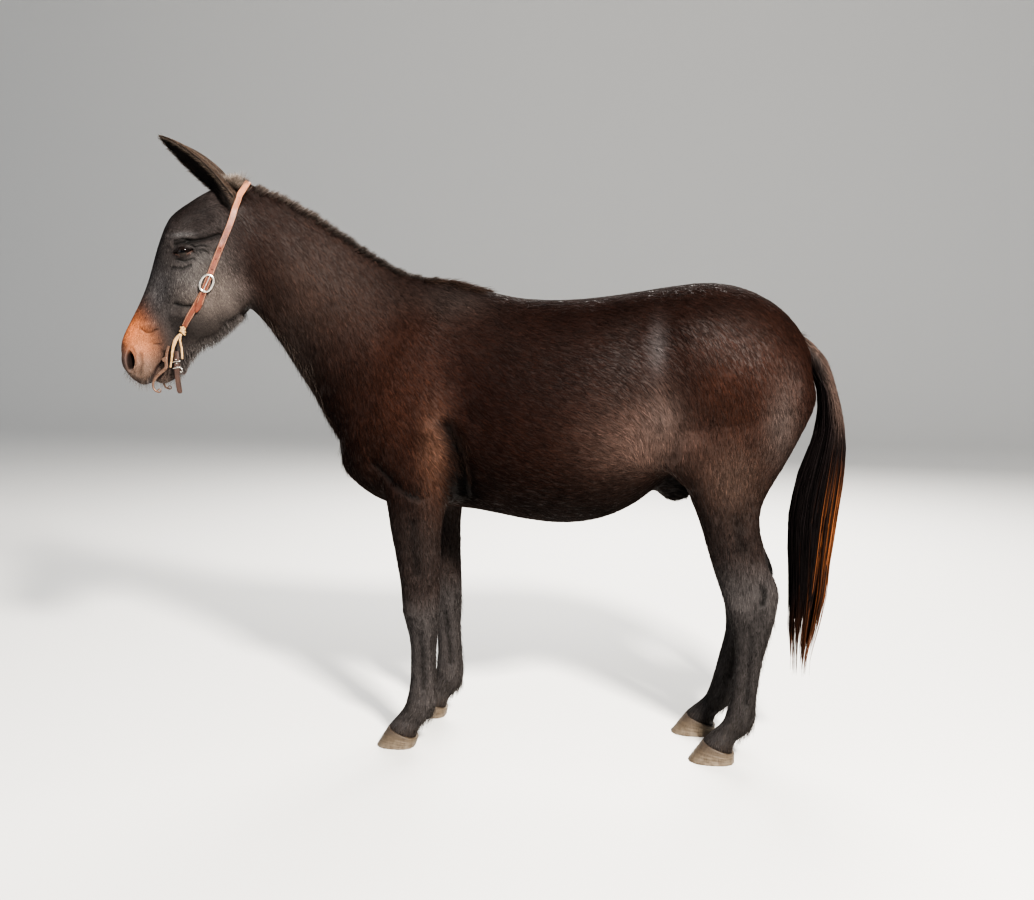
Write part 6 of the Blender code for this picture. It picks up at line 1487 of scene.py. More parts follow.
def growTail():
    draw = np.random.default_rng(31)
    rows = np.array(longHair["tailRows"])
    count, rings = longHair["tailHairs"], 9
    heights = ((rows[:, 1] + rows[:, 3]) / 2)[::-1]

    def place(z, around, reach):
        back, front, half = (np.interp(z, heights, rows[::-1, k]) for k in (0, 2, 4))
        x = (back + front) / 2 + (back - front) / 2 * reach * np.cos(around)
        return np.stack([x, half * reach * np.sin(around), z], axis=-1)

    around = draw.uniform(0, math.tau, count)
    top = 1.235 - 0.62 * draw.random(count) ** 1.25
    number = longHair["tailLocks"]  # hairs gather in locks, each with a tip of its own
    locks = np.mod(np.floor(around / math.tau * number + draw.normal(0, 1.2, count)).astype(int), number)
    lockAround = (np.arange(number) + 0.5) / number * math.tau
    lockReach = np.sqrt(draw.uniform(0.15, 0.95, number))
    back = ramp(np.cos(lockAround), 0.45, 0.95)
    lockEnd = draw.uniform(0.245, 0.50, number) * (1 - back) + draw.uniform(0.36, 0.66, number) * back
    end = np.minimum(lockEnd[locks] + np.abs(draw.normal(0.0, 0.035, count)), top - 0.16)
    strays = draw.random(count) < 0.18
    end = np.maximum(np.where(strays, top - draw.uniform(0.22, 0.5, count), end), 0.242)
    t = np.linspace(0, 1, rings)[None]
    z = top[:, None] + (end - top)[:, None] * t
    gather = (1 - ramp(z - lockEnd[locks][:, None], -0.02, 0.42)) * 0.93
    turn = np.mod(lockAround[locks] - around + math.pi, math.tau) - math.pi
    angle = around[:, None] + turn[:, None] * gather + draw.normal(0, 0.05, (count, 1)) * t
    reach = np.sqrt(draw.uniform(0.45, 1.03, count))[:, None] * (1 - gather) + gather * lockReach[locks][:, None]
    reach = reach * (0.80 + 0.2 * ramp(t, 0, 0.12))
    paths = place(z, angle, reach)
    sway = 0.004 * np.sin(9 * z + locks[:, None]) + 0.0015 * np.sin(31 * z + around[:, None] * 3)
    paths[:, :, 1] += sway * gather
    paths[:, :, 0] += 0.6 * sway * gather
    radii = np.array((0.0012, 0.0013, 0.0013, 0.0013, 0.0012, 0.0012, 0.0010, 0.0007, 0.0002))[None]
    radii = radii * draw.uniform(0.7, 1.25, (count, 1))
    lockRust = draw.normal(0, 0.22, number)[locks][:, None]
    share = ramp(np.cos(angle) + lockRust + 0.30 * draw.normal(0, 1, (count, 1)), 0.30, 1.05) * (1 - ramp(z, 0.70, 0.95))
    share = np.maximum(share, (1 - ramp(z, 0.30, 0.50)) * 0.35)
    dark, rust = np.array((0.0065, 0.0050, 0.0052)), np.array((0.112, 0.041, 0.0165))
    colours = dark + (rust - dark) * share[:, :, None]
    top = ramp(z, 0.94, 1.06) * ramp(np.cos(angle), -0.2, 0.8)  # paler, shorter hair at the back of the dock
    colours = colours + (np.array((0.070, 0.050, 0.043)) - colours) * top[:, :, None] * 0.8
    colours = colours * np.exp(0.5 * draw.normal(0, 0.6, (count, 1, 1)))
    finishPiece(strands("tail_hair", paths, radii, np.clip(colours, 0.002, 1), shine=0.75), "coat", "long_hair")
    rows = np.array(longHair["tailRows"])
    share = np.array((0.98, 0.96, 0.94, 0.90, 0.84, 0.76, 0.68, 0.58, 0.40, 0.12))
    core = []
    for row, s in zip(rows, share):
        middle = (row[:2] + row[2:4]) / 2
        core.append((*(middle + (row[2:4] - middle) * s), *(middle + (row[:2] - middle) * s), row[4] * s, 0.5, 2, 2, 0))
    dock = flesh("tail_core", core, steps=4, count=28)
    paint(dock, "coatColour", np.tile((0.006, 0.0045, 0.0045), (len(dock.data.vertices), 1)))
    dock.data.calc_loop_triangles()
    triangles = np.empty(len(dock.data.loop_triangles) * 3, np.int32)
    dock.data.loop_triangles.foreach_get("vertices", triangles)
    roots, ups = scatter(getPoints(dock), getNormals(dock), triangles.reshape(-1, 3), lambda m, n: 90000 * ramp(m[:, 2], 1.00, 1.10), draw)
    ways = unit(np.array((0.45, 0, -1.0)) - ups * (ups @ np.array((0.45, 0, -1.0)))[:, None])
    pale = ramp(ups[:, 0], 0.0, 0.7)[:, None]
    tones = np.array((0.012, 0.0085, 0.0075)) * (1 - pale) + np.array((0.058, 0.041, 0.035)) * pale
    size = [np.full(len(roots), value) for value in (0.030, 0.0022, 0.06, 0.6)]
    fur = tufts("tail_coat", roots, ups, ways, *size, np.column_stack([tones, np.full(len(roots), 0.4)]), draw)
    finishPiece(fur, "coat", "long_hair")
    dock.data.shade_smooth()
    finishPiece(settle(dock), "coat", "long_hair", "tail")


def growRow(name, roots, ways, length, radius, rootTone, tipTone, draw, droop=0.0, spread=0.18, rings=4):
    clear = farFromStrap(roots) > 0.014
    roots, ways = roots[clear], ways[clear]
    count = len(roots)
    ways = unit(ways + draw.normal(0, spread, (count, 3)))
    t = np.linspace(0, 1, rings)[None, :, None]
    length = length * draw.uniform(0.6, 1.2, (count, 1, 1))
    paths = roots[:, None] + ways[:, None] * length * t + np.array((0, 0, -1.0)) * droop * length * t**2
    radii = np.linspace(1, 0.12, rings)[None] ** 0.7 * radius * draw.uniform(0.7, 1.3, (count, 1))
    colours = hairColours(rootTone, tipTone, count, rings, draw, 0.5)
    return finishPiece(strands(name, paths, radii, colours), "coat", "long_hair")


def skinSpots(test, count, draw):  # places on the skin where the test says
    def density(middles, ups):
        return np.where(test(middles), 1.0, 0.0)

    corners = skinPoints[skinTriangles]
    area = np.linalg.norm(np.cross(corners[:, 1] - corners[:, 0], corners[:, 2] - corners[:, 0]), axis=1) / 2
    total = (area * density(corners.mean(axis=1), None)).sum()
    return scatter(skinPoints, skinNormals, skinTriangles, lambda m, n: density(m, n) * (count + 0.5) / total, draw)


def growDetails():
    draw = np.random.default_rng(41)

    def jaw(p):  # the long hair under the jaw
        line = np.interp(p[:, 0], (-1.29, -1.26, -1.22, -1.18, -1.14, -1.10, -1.02), (1.13, 1.165, 1.222, 1.238, 1.254, 1.300, 1.342))
        return (np.abs(p[:, 2] - line) < 0.026) & (p[:, 0] > -1.262) & (p[:, 0] < -1.06) & (np.abs(p[:, 1]) < 0.06)

    roots, normals = skinSpots(jaw, 1700, draw)
    ways = hairWay(roots, normals) * 0.8 + normals * 0.35 + np.array((0.25, 0, -0.5))
    growRow("jaw_hair", roots, ways, 0.021, 0.0005, (0.020, 0.016, 0.015), (0.135, 0.122, 0.117), draw, 0.3)

    def poll(p):
        return (p[:, 0] > -1.105) & (p[:, 0] < -1.035) & (p[:, 2] > 1.700) & (np.abs(p[:, 1]) < 0.036)

    roots, normals = skinSpots(poll, 1300, draw)
    ways = normals * 1.0 + np.array((0.25, 0, 0.4))
    growRow("poll_hair", roots, ways, 0.042, 0.0006, (0.022, 0.015, 0.012), (0.24, 0.20, 0.17), draw, 0.15, 0.30, 5)

    def heel(p):  # behind and round the fetlocks
        return (p[:, 2] < 0.132) & (p[:, 2] > 0.080)

    roots, normals = skinSpots(heel, 3600, draw)
    keep = normals[:, 0] > 0.5 + 0.3 * draw.random(len(roots))
    roots, normals = roots[keep], normals[keep]
    ways = hairWay(roots, normals) + normals * 0.30
    growRow("fetlock_hair", roots, ways, 0.024, 0.0005, (0.024, 0.0205, 0.0195), (0.050, 0.045, 0.043), draw, 0.35)

    def coronet(p):
        return (p[:, 2] < 0.072) & (p[:, 2] > 0.022)

    roots, normals = skinSpots(coronet, 1700, draw)
    ways = hairWay(roots, normals) + normals * 0.12
    growRow("coronet_hair", roots, ways, 0.019, 0.00045, (0.024, 0.018, 0.016), (0.075, 0.060, 0.052), draw, 0.15, 0.12)

    def tendon(p):  # the longer hair down the backs of the cannons
        return (p[:, 2] < 0.44) & (p[:, 2] > 0.16)

    roots, normals = skinSpots(tendon, 6000, draw)
    keep = normals[:, 0] > 0.55
    roots, normals = roots[keep], normals[keep]
    ways = hairWay(roots, normals) + normals * 0.20
    growRow("cannon_hair", roots, ways, 0.024, 0.0005, (0.014, 0.0115, 0.0108), (0.046, 0.041, 0.039), draw, 0.2)

    def elbow(p):
        return (p[:, 0] > -0.368) & (p[:, 0] < -0.305) & (p[:, 2] > 0.86) & (p[:, 2] < 0.99) & (np.abs(p[:, 1]) > 0.12)

    roots, normals = skinSpots(elbow, 420, draw)
    ways = hairWay(roots, normals) + normals * 0.20 + np.array((-0.1, 0, -0.8))
    growRow("elbow_hair", roots, ways, 0.034, 0.0005, (0.009, 0.0045, 0.0032), (0.026, 0.016, 0.012), draw, 0.1)

    def chest(p):  # front edge of the neck and the breast
        return (p[:, 0] < -0.62) & (p[:, 0] > -1.0) & (p[:, 2] > 0.85) & (p[:, 2] < 1.36) & (np.abs(p[:, 1]) < 0.075)

    roots, normals = skinSpots(chest, 2000, draw)
    keep = normals[:, 0] < -0.45
    roots, normals = roots[keep], normals[keep]
    ways = hairWay(roots, normals) + normals * 0.12
    growRow("neck_front_hair", roots, ways, 0.030, 0.0005, (0.022, 0.015, 0.012), (0.070, 0.058, 0.051), draw, 0.1)

    def withers(p):
        return (p[:, 0] > -0.47) & (p[:, 0] < -0.30) & (p[:, 2] > 1.395) & (np.abs(p[:, 1]) < 0.03)

    roots, normals = skinSpots(withers, 1300, draw)
    ways = hairWay(roots, normals) + normals * 0.25
    growRow("withers_hair", roots, ways, 0.034, 0.0006, (0.014, 0.008, 0.006), (0.034, 0.022, 0.017), draw, 0.1)

    def chin(p):
        return (p[:, 2] < 1.165) & (p[:, 2] > 1.0) & (p[:, 0] < -1.26)

    roots, normals = skinSpots(chin, 420, draw)
    keep = bareness(roots, normals) < 0.3
    roots, normals = roots[keep], normals[keep]
    ways = normals * 0.8 + np.array((-0.1, 0, -0.6))
    growRow("whiskers", roots, ways, 0.020, 0.00028, (0.05, 0.04, 0.035), (0.16, 0.13, 0.11), draw, 0.3, 0.3)


# Eyes
eyeLook = {"segments": 64, "rings": 40, "cornea": math.radians(40), "bulge": 0.0022}


def makeEye(sideName):
    side = sides[sideName]
    deselect()
    bpy.ops.mesh.primitive_uv_sphere_add(segments=eyeLook["segments"], ring_count=eyeLook["rings"], radius=1)
    eye = bpy.context.active_object
    eye.name = eye.data.name = "eyeball_" + sideName
    ball = getPoints(eye)
    ball = ball[:, [0, 2, 1]] * np.array((1, side, 1))  # the pole looks outwards
    angle = np.arccos(np.clip(ball[:, 1] * side, -1, 1))
    radius = eyes["radius"] + eyeLook["bulge"] * (1 - ramp(angle, eyeLook["cornea"] * 0.6, eyeLook["cornea"] * 1.15))
    look = np.column_stack([ball[:, 0], ball[:, 2], angle])  # where on the ball, for its colours
    layer = eye.data.attributes.new("look", "FLOAT_VECTOR", "POINT")
    layer.data.foreach_set("vector", np.ascontiguousarray(look, np.float32).ravel())
    setPoints(eye, ball * radius[:, None] + np.array(mirrored(eyes["centre"], side)))
    turnOut(eye)
    eye.data.shade_smooth()
    settle(eye)
    finishPiece(eye, "eye", "eye", "eye_" + sideName)


def makeLashes():
    draw = np.random.default_rng(51)
    roots, ways = [], []
    for side in sides.values():
        centre = np.array(mirrored(eyes["centre"], side))
        for i in range(90):
            t = draw.uniform(-0.85, 0.92)
            half, above, below = eyes["slit"]
            x, up = t * half, above * (1 - t * t) ** 0.7 + 0.0008
            place = (
                x * math.cos(eyes["tilt"]) - up * math.sin(eyes["tilt"]),
                x * math.sin(eyes["tilt"]) + up * math.cos(eyes["tilt"]),
            )
            depth = math.sqrt(max((eyes["radius"] + 0.0022) ** 2 - place[0] ** 2 - place[1] ** 2, 0))
            roots.append(centre + np.array((place[0], side * depth, place[1])))
            ways.append((0.25 * t, side * 0.75, -0.50 + 0.1 * draw.normal()))
    growRow("lashes", np.array(roots), unit(np.array(ways)), 0.013, 0.00026, (0.01, 0.008, 0.008), (0.02, 0.016, 0.015), draw, 0.25, 0.10)


# Ears
def pressUnder(points, ways):  # keeps points below a strap that crosses them
    spots = np.array([tuple(way[0]) for way in ways])
    for i in range(len(points)):
        k = int(np.argmin(((spots - points[i]) ** 2).sum(axis=1)))
        centre, _, across, up, half, _ = ways[k]
        away = Vector(points[i]) - centre
        height, aside = away.dot(up), abs(away.dot(across))
        limit = -0.0006 + max(aside - half - 0.001, 0) * 1.1
        if height > limit and away.length < 0.06:
            points[i] -= np.array(up) * (height - limit)
    return points


def makeEar(sideName):
    side = sides[sideName]
    rings = [earSection(row, side, count=15) for row in refined(ears["shape"], 6)]
    ear = loft("ear_skin_" + sideName, rings)
    subdivided = ear.modifiers.new("smooth", "SUBSURF")
    subdivided.levels = subdivided.render_levels = 1
    applyAll(ear)
    setPoints(ear, pressUnder(getPoints(ear), crownWays))
    points, normals = getPoints(ear), getNormals(ear)
    base, tip = np.array(mirrored(ears["base"], side)), np.array(mirrored(ears["tip"], side))
    axis = (tip - base) / np.linalg.norm(tip - base)
    opens = np.array(mirrored(ears["opens"], side))
    opens = opens - axis * opens.dot(axis)
    opens /= np.linalg.norm(opens)
    place = (points - base) @ axis / np.linalg.norm(tip - base)
    inside = ramp(normals @ opens, 0.0, 0.5)
    outer, cupTone = np.array(ears["outer"]), np.array(ears["cup"])
    paint(ear, "coatColour", (outer + (cupTone - outer) * inside[:, None]) * 0.7)
    ear.data.calc_loop_triangles()
    triangles = np.empty(len(ear.data.loop_triangles) * 3, np.int32)
    ear.data.loop_triangles.foreach_get("vertices", triangles)
    triangles = triangles.reshape(-1, 3)
    draw = np.random.default_rng(61 + side)

    def density(middles, ups):
        return 200000 * (1 - 0.55 * ramp(ups @ opens, 0.2, 0.7))

    roots, ups = scatter(points, normals, triangles, density, draw)
    along = (roots - base) @ axis / np.linalg.norm(tip - base)
    keep = along > 0.02
    roots, ups, along = roots[keep], ups[keep], along[keep]
    ways = np.tile(axis, (len(roots), 1))
    ways -= ups * (ways * ups).sum(axis=1)[:, None]
    cup = ramp(ups @ opens, 0.1, 0.6)
    tones = (outer + (cupTone - outer) * cup[:, None]) * (1 + 0.25 * waves(roots, 0.05, 9))[:, None]
    tones = np.column_stack([tones * (1 - 0.35 * ramp(along, 0.8, 1.0))[:, None], np.full(len(roots), 0.25)])
    room = (0.4 + 0.6 * (1 - ramp(along, 0.8, 1.0)))
    sizes = ((0.0105 + 0.006 * cup) * room, np.full(len(roots), 0.0013), 0.09 + 0.10 * cup, np.full(len(roots), 0.6))
    fur = tufts("ear_coat_" + sideName, roots, ups, unit(ways), *sizes, tones, draw)
    finishPiece(fur, "coat", "coat")
    ear.data.shade_smooth()
    finishPiece(settle(ear), "skin", "coat", "ear_" + sideName)
    rim = []
    rimWays = []
    shape = refined(ears["shape"], 6)
    wide = np.cross(axis, opens)
    for _ in range(900):  # long hair along both edges of the cup
        t = draw.uniform(0.10, 0.97)
        edge = draw.choice((-1, 1))
        half = np.interp(t, shape[:, 0], shape[:, 1])
        centre = base + (tip - base) * t - opens * (ears["curve"] * 4 * t * (1 - t))
        rim.append(centre + wide * edge * (half - 0.002) + opens * draw.uniform(-0.001, 0.001))
        rimWays.append(axis * 0.7 - wide * edge * draw.uniform(-0.1, 0.65) + opens * draw.uniform(0.2, 0.7))
    growRow(
        "ear_edge_hair_" + sideName, np.array(rim), unit(np.array(rimWays)), 0.016, 0.00045, (0.034, 0.025, 0.020), (0.13, 0.105, 0.085), draw, 0.0, 0.15
    )


# Hooves: rows of x toe, z toe, x heel, z heel at the ground and at the coronet
hoofForm = {
    "front": ((-0.615, 0.000, -0.492, 0.000), (-0.576, 0.062, -0.482, 0.026)),
    "hind": ((0.352, 0.000, 0.490, 0.000), (0.395, 0.062, 0.490, 0.026)),
    "half": (0.051, 0.046),
    "rings": 26,
    "around": 64,
}


def makeHoof(end, sideName):
    side = sides[sideName]
    sole, top = (np.array(row) for row in hoofForm[end])
    coronet = stance(end, sideName, 0.05)
    moved = stance(end, sideName, 0.0)
    y = legRows(end, sideName)[-1][8]
    rings = []
    for i in range(hoofForm["rings"] + 1):
        t = i / hoofForm["rings"]
        row = sole * (1 - t) + top * t
        half = hoofForm["half"][0] * (1 - t) + hoofForm["half"][1] * t
        slip = moved * (1 - t) + coronet * t
        ridge = 0.00045 * math.sin(t * 34) * math.sin(t * math.pi) ** 0.5 + 0.0004 * math.sin(t * 13 + 1)
        flare = -0.0012 * math.exp(-((t / 0.03) ** 2)) - 0.0016 * ramp(np.array(t), 0.93, 1.0)
        swell = ridge + flare
        back = 2.8 - 0.4 * t
        rings.append(section((row[0] + slip - swell, row[1], row[2] + slip + swell * 0.5, row[3], half + swell, 0.5, 2.2, back, y), hoofForm["around"]))
    hoof = loft(f"horn_{end}_{sideName}", rings)
    points = getPoints(hoof)
    worn = 0.0010 * np.sin(points[:, 1] * 330 + 4 * points[:, 0]) * (1 - ramp(points[:, 2], 0.0, 0.010))
    points[:, 0] += worn
    points[:, 2] = np.maximum(points[:, 2], 0)
    low = (points[:, 2] > 0.0004) & (points[:, 2] < 0.006)
    points[low, 2] = np.maximum(points[low, 2] + 0.0006 * np.sin(points[low, 1] * 260), 0.0002)
    setPoints(hoof, points)
    hoof.data.shade_smooth()
    choose(hoof)
    bpy.ops.object.shade_smooth_by_angle(angle=math.radians(40))
    finishPiece(settle(hoof), "horn", "horn", f"hoof_{end}_{sideName}")


# Headstall
tack = {
    "half": 0.0095,
    "thick": 0.0035,
    "lift": 0.0016,
    "over": 0.0062,  # lift where the crown strap lies over the cheek strap
    "taut": 3,  # how far the straps are pulled straight
    "stitch": 0.0042,  # from one stitch to the next
    "holes": (1.533, 1.504, 1.4755, 1.423, 1.397),  # heights of the punched holes
    "hole": 0.0021,
}
crownRoute = (
    (-1.186, 0.09, 1.342, tack["over"], 0.0020),
    (-1.182, 0.09, 1.351, tack["over"], 0.0070),
    (-1.175, 0.09, 1.366, tack["over"], tack["half"]),
    (-1.163, 0.09, 1.398, tack["over"], tack["half"]),
    (-1.150, 0.09, 1.431, tack["over"], tack["half"]),
    (-1.128, 0.09, 1.486, 0.0030, tack["half"]),
    (-1.100, 0.09, 1.554, tack["lift"], tack["half"]),
    (-1.070, 0.09, 1.621, tack["lift"], tack["half"]),
    (-1.049, 0.07, 1.686, tack["lift"], tack["half"]),
    (-1.036, 0.04, 1.732, tack["lift"], tack["half"]),
    (-1.032, 0.00, 1.745, tack["lift"], tack["half"]),
)
cheekRoute = (
    (-1.152, 0.09, 1.428, tack["lift"], tack["half"]),
    (-1.166, 0.09, 1.399, tack["lift"], tack["half"]),
    (-1.183, 0.09, 1.368, tack["lift"], tack["half"]),
    (-1.208, 0.09, 1.328, tack["lift"], tack["half"]),
    (-1.231, 0.08, 1.292, tack["lift"], 0.0080),
)
strapShape = (  # across from -1 to 1, share of the thickness
    (-0.97, 0.0), (0.97, 0.0), (1.0, 0.25), (1.0, 0.70), (0.94, 0.97), (0.84, 1.0), (0.78, 0.86), (0.72, 1.0),
    (0.0, 1.06), (-0.72, 1.0), (-0.78, 0.86), (-0.84, 1.0), (-0.94, 0.97), (-1.0, 0.70), (-1.0, 0.25),
)  # fmt: skip


def seated(point, lift):
    place, normal, _, _ = surface.find_nearest(Vector(point))
    return place + normal * lift, normal


def layStrap(name, rows, thick, steps=10, shape=strapShape):
    rows = refined(rows, steps)
    centres, ups = [], []
    for x, y, z, lift, _ in rows:
        place, up = seated((x, y, z), lift)
        centres.append(place)
        ups.append(up)
    smooth = np.array([(*centre, *up) for centre, up in zip(centres, ups)])
    for _ in range(tack["taut"] * steps):
        smooth[1:-1] = (smooth[:-2] + 2 * smooth[1:-1] + smooth[2:]) / 4
    ups = [Vector(row[3:]).normalized() for row in smooth]
    for i, row in enumerate(smooth):  # pulled taut, but never into the skin
        place, normal, _, _ = surface.find_nearest(Vector(row[:3]))
        short = rows[i][3] - (Vector(row[:3]) - place).dot(normal)
        centres[i] = Vector(row[:3]) + normal * max(short, 0)
    rings, ways = [], []
    for i, (centre, up) in enumerate(zip(centres, ups)):
        along = centres[min(i + 1, len(rows) - 1)] - centres[max(i - 1, 0)]
        across = along.cross(up).normalized()
        lifts = []
        for side in (-1, 1):
            edge = centre + across * side * rows[i][4]
            place, normal, _, _ = surface.find_nearest(edge)
            lifts.append(max(rows[i][3] - (edge - place).dot(normal), 0))
        ring = []
        for a, rise in shape:
            short = lifts[0] * (1 - a) / 2 + lifts[1] * (1 + a) / 2
            ring.append(centre + across * a * rows[i][4] + up * (short + rise * thick))
        rings.append(ring)
        ways.append((centre, along.normalized(), across, up, rows[i][4], lifts))
    strap = loft(name, rings)
    around = len(shape)
    length = np.concatenate([[0], np.cumsum([(b - a).length for a, b in zip(centres, centres[1:])])])
    uv = strap.data.uv_layers.new(name="strapWay")
    for loop in strap.data.loops:
        ring, k = divmod(loop.vertex_index, around)
        uv.data[loop.index].uv = (length[ring], shape[k][0])
    return strap, ways


def stitches(name, ways, first, last, edge=0.78):
    boxes = []
    centres = [way[0] for way in ways]
    length = np.concatenate([[0], np.cumsum([(b - a).length for a, b in zip(centres, centres[1:])])])
    paths = []
    for side in (-1, 1):
        for s in np.arange(first, length[-1] - last, tack["stitch"]):
            place = []
            for part in (s, s + 0.0010, s + 0.0022, s + 0.0031):
                i = int(np.searchsorted(length, part, side="right")) - 1
                i = min(max(i, 0), len(ways) - 2)
                t = (part - length[i]) / (length[i + 1] - length[i])
                spots = []
                for centre, _, across, up, half, lifts in ways[i : i + 2]:
                    short = lifts[0] * (1 - side) / 2 + lifts[1] * (1 + side) / 2
                    rise = 0.93 if part in (s, s + 0.0031) else 1.06
                    spots.append(centre + across * side * edge * half + up * (short + tack["thick"] * rise))
                place.append(tuple(spots[0].lerp(spots[1], t)))
            paths.append(place)
    paths = np.array(paths)
    radii = np.tile(np.array((0.00030, 0.00048, 0.00048, 0.00030)), (len(paths), 1))
    tones = np.tile(np.array((0.55, 0.36, 0.22)), (len(paths), 4, 1))
    thread = strands(name, paths, radii, tones, corners=5)
    return finishPiece(thread, "thread", "leather")


def punch(strap, ways, heights, side):  # round holes through a strap
    cutters = []
    middle = [way[0] for way in ways]
    for z in heights:
        i = min(range(len(ways)), key=lambda k: abs(middle[k].z - z) + (10 if middle[k].y * side < 0 else 0))
        centre, along, across, up = ways[i][:4]
        deselect()
        bpy.ops.mesh.primitive_cylinder_add(vertices=20, radius=tack["hole"], depth=0.02)
        cutter = bpy.context.active_object
        turn = np.array((tuple(across), tuple(along), tuple(up)))
        setPoints(cutter, getPoints(cutter) @ turn + np.array(centre))
        turnOut(cutter)
        cutters.append(cutter)
    tool = joinAll(cutters, "punch")
    cut = strap.modifiers.new("holes", "BOOLEAN")
    cut.object, cut.solver = tool, "EXACT"
    applyAll(strap)
    bpy.data.objects.remove(tool)


def farFromStrap(points):  # how far points are from the crown strap
    spots = np.array([tuple(way[0]) for way in crownWays])
    return np.sqrt(((points[:, None] - spots[None]) ** 2).sum(axis=2).min(axis=1))


def bothWays(rows):
    return [mirrored(row[:3], -1) + tuple(row[3:]) for row in rows] + [tuple(r) for r in rows[-2::-1]]


def makeStraps():
    crown, ways = layStrap("crown_strap", bothWays(crownRoute), tack["thick"], 8)
    for side in (-1, 1):
        punch(crown, ways, tack["holes"], side)
    crown.data.shade_smooth()
    choose(crown)
    bpy.ops.object.shade_smooth_by_angle(angle=math.radians(38))
    finishPiece(settle(crown), "leather", "leather", "headstall_crown")
    stitches("crown_thread", ways, 0.030, 0.030)
    for name, side in sides.items():
        rows = [mirrored(row[:3], side) + tuple(row[3:]) for row in cheekRoute]
        cheek, ways = layStrap("cheek_strap_" + name, rows, tack["thick"])
        cheek.data.shade_smooth()
        choose(cheek)
        bpy.ops.object.shade_smooth_by_angle(angle=math.radians(38))
        finishPiece(settle(cheek), "leather", "leather", "cheek_" + name)
        stitches("cheek_thread_" + name, ways, 0.030, 0.006)


buckleForm = {"half": (0.0180, 0.0262), "wire": 0.0028, "band": 0.0034, "around": 64, "centre": (-1.150, 0.09, 1.431)}


def sweep(name, path, wide, thick, ups=None, closed=False, corners=12, power=2.6):
    path = np.array(path, float)
    count = len(path)
    if closed:
        ways = unit(np.roll(path, -1, axis=0) - np.roll(path, 1, axis=0))
    else:
        ways = unit(np.gradient(path, axis=0))
    ups = np.tile(np.array((0.0, 1.0, 0.0)), (count, 1)) if ups is None else np.array(ups, float)
    across = unit(np.cross(ways, ups))
    ups = np.cross(across, ways)
    wide, thick = np.broadcast_to(wide, count), np.broadcast_to(thick, count)
    rings = []
    for i in range(count):
        ring = []
        for k in range(corners):
            a, b = math.cos(math.tau * k / corners), math.sin(math.tau * k / corners)
            a, b = (math.copysign(abs(v) ** (2 / power), v) for v in (a, b))
            ring.append(path[i] + across[i] * a * wide[i] + ups[i] * b * thick[i])
        rings.append(ring)
    if not closed:
        return loft(name, rings)
    faces = []
    for i in range(count):
        for k in range(corners):
            a, b = i * corners + k, i * corners + (k + 1) % corners
            c, d = (i + 1) % count * corners + (k + 1) % corners, (i + 1) % count * corners + k
            faces.append((a, b, c, d))
    obj = newObject(name, np.array(rings).reshape(-1, 3), faces)
    turnOut(obj)
    return obj


def makeBuckle(sideName):
    side = sides[sideName]
    rise = tack["over"] + tack["thick"] + buckleForm["wire"] * 0.8
    centre, up = seated(mirrored(buckleForm["centre"], side), rise)
    low, _ = seated(mirrored(cheekRoute[1][:3], side), rise)
    along = (low - centre).normalized()
    along = (along - up * along.dot(up)).normalized()
    across = along.cross(up)
    ring = []
    for i in range(buckleForm["around"]):
        t = math.tau * i / buckleForm["around"]
        a = math.copysign(abs(math.cos(t)) ** 0.86, math.cos(t)) * buckleForm["half"][0]
        b = math.copysign(abs(math.sin(t)) ** 0.86, math.sin(t)) * buckleForm["half"][1]
        ring.append(centre + across * a + along * b)
    ups = [up] * len(ring)
    frame = sweep("buckle_frame", ring, buckleForm["band"], 0.0021, ups, closed=True, corners=14, power=2.2)
    ends = [along * buckleForm["half"][1] * t + up * r for t, r in ((-0.98, 0.0005), (-0.9, 0.003), (-0.4, 0.0028), (0.3, 0.0022), (0.8, 0.0026), (1.03, 0.0030))]
    pin = sweep("pin", refined([tuple(centre + e) for e in ends], 4), 0.0017, 0.0015, [up] * 21, corners=10, power=2)
    bar = [centre + along * (buckleForm["half"][1] * -0.93) + across * t for t in (-0.0125, 0, 0.0125)]
    roll = sweep("roll", [tuple(b) for b in bar], 0.0019, 0.0019, [up] * 3, corners=10, power=2)
    buckle = joinAll([frame, pin, roll], "buckle_set_" + sideName)
    buckle.data.shade_smooth()
    finishPiece(settle(buckle), "silver", "buckle_metal", "buckle_" + sideName)


knotForm = {"centre": (-1.237, 0.08, 1.279), "half": (0.0105, 0.0080, 0.0115)}
thongs = (
    (((-1.240, 0.078, 1.276), (-1.255, 0.077, 1.256), (-1.266, 0.073, 1.226), (-1.270, 0.072, 1.197), (-1.275, 0.071, 1.172)), (0.0036, 0.0060, 0.0042, 0.0032, 0.0028)),
    (((-1.237, 0.078, 1.276), (-1.241, 0.077, 1.256), (-1.238, 0.073, 1.230), (-1.237, 0.073, 1.198)), (0.0034, 0.0034, 0.0032, 0.0030)),
)


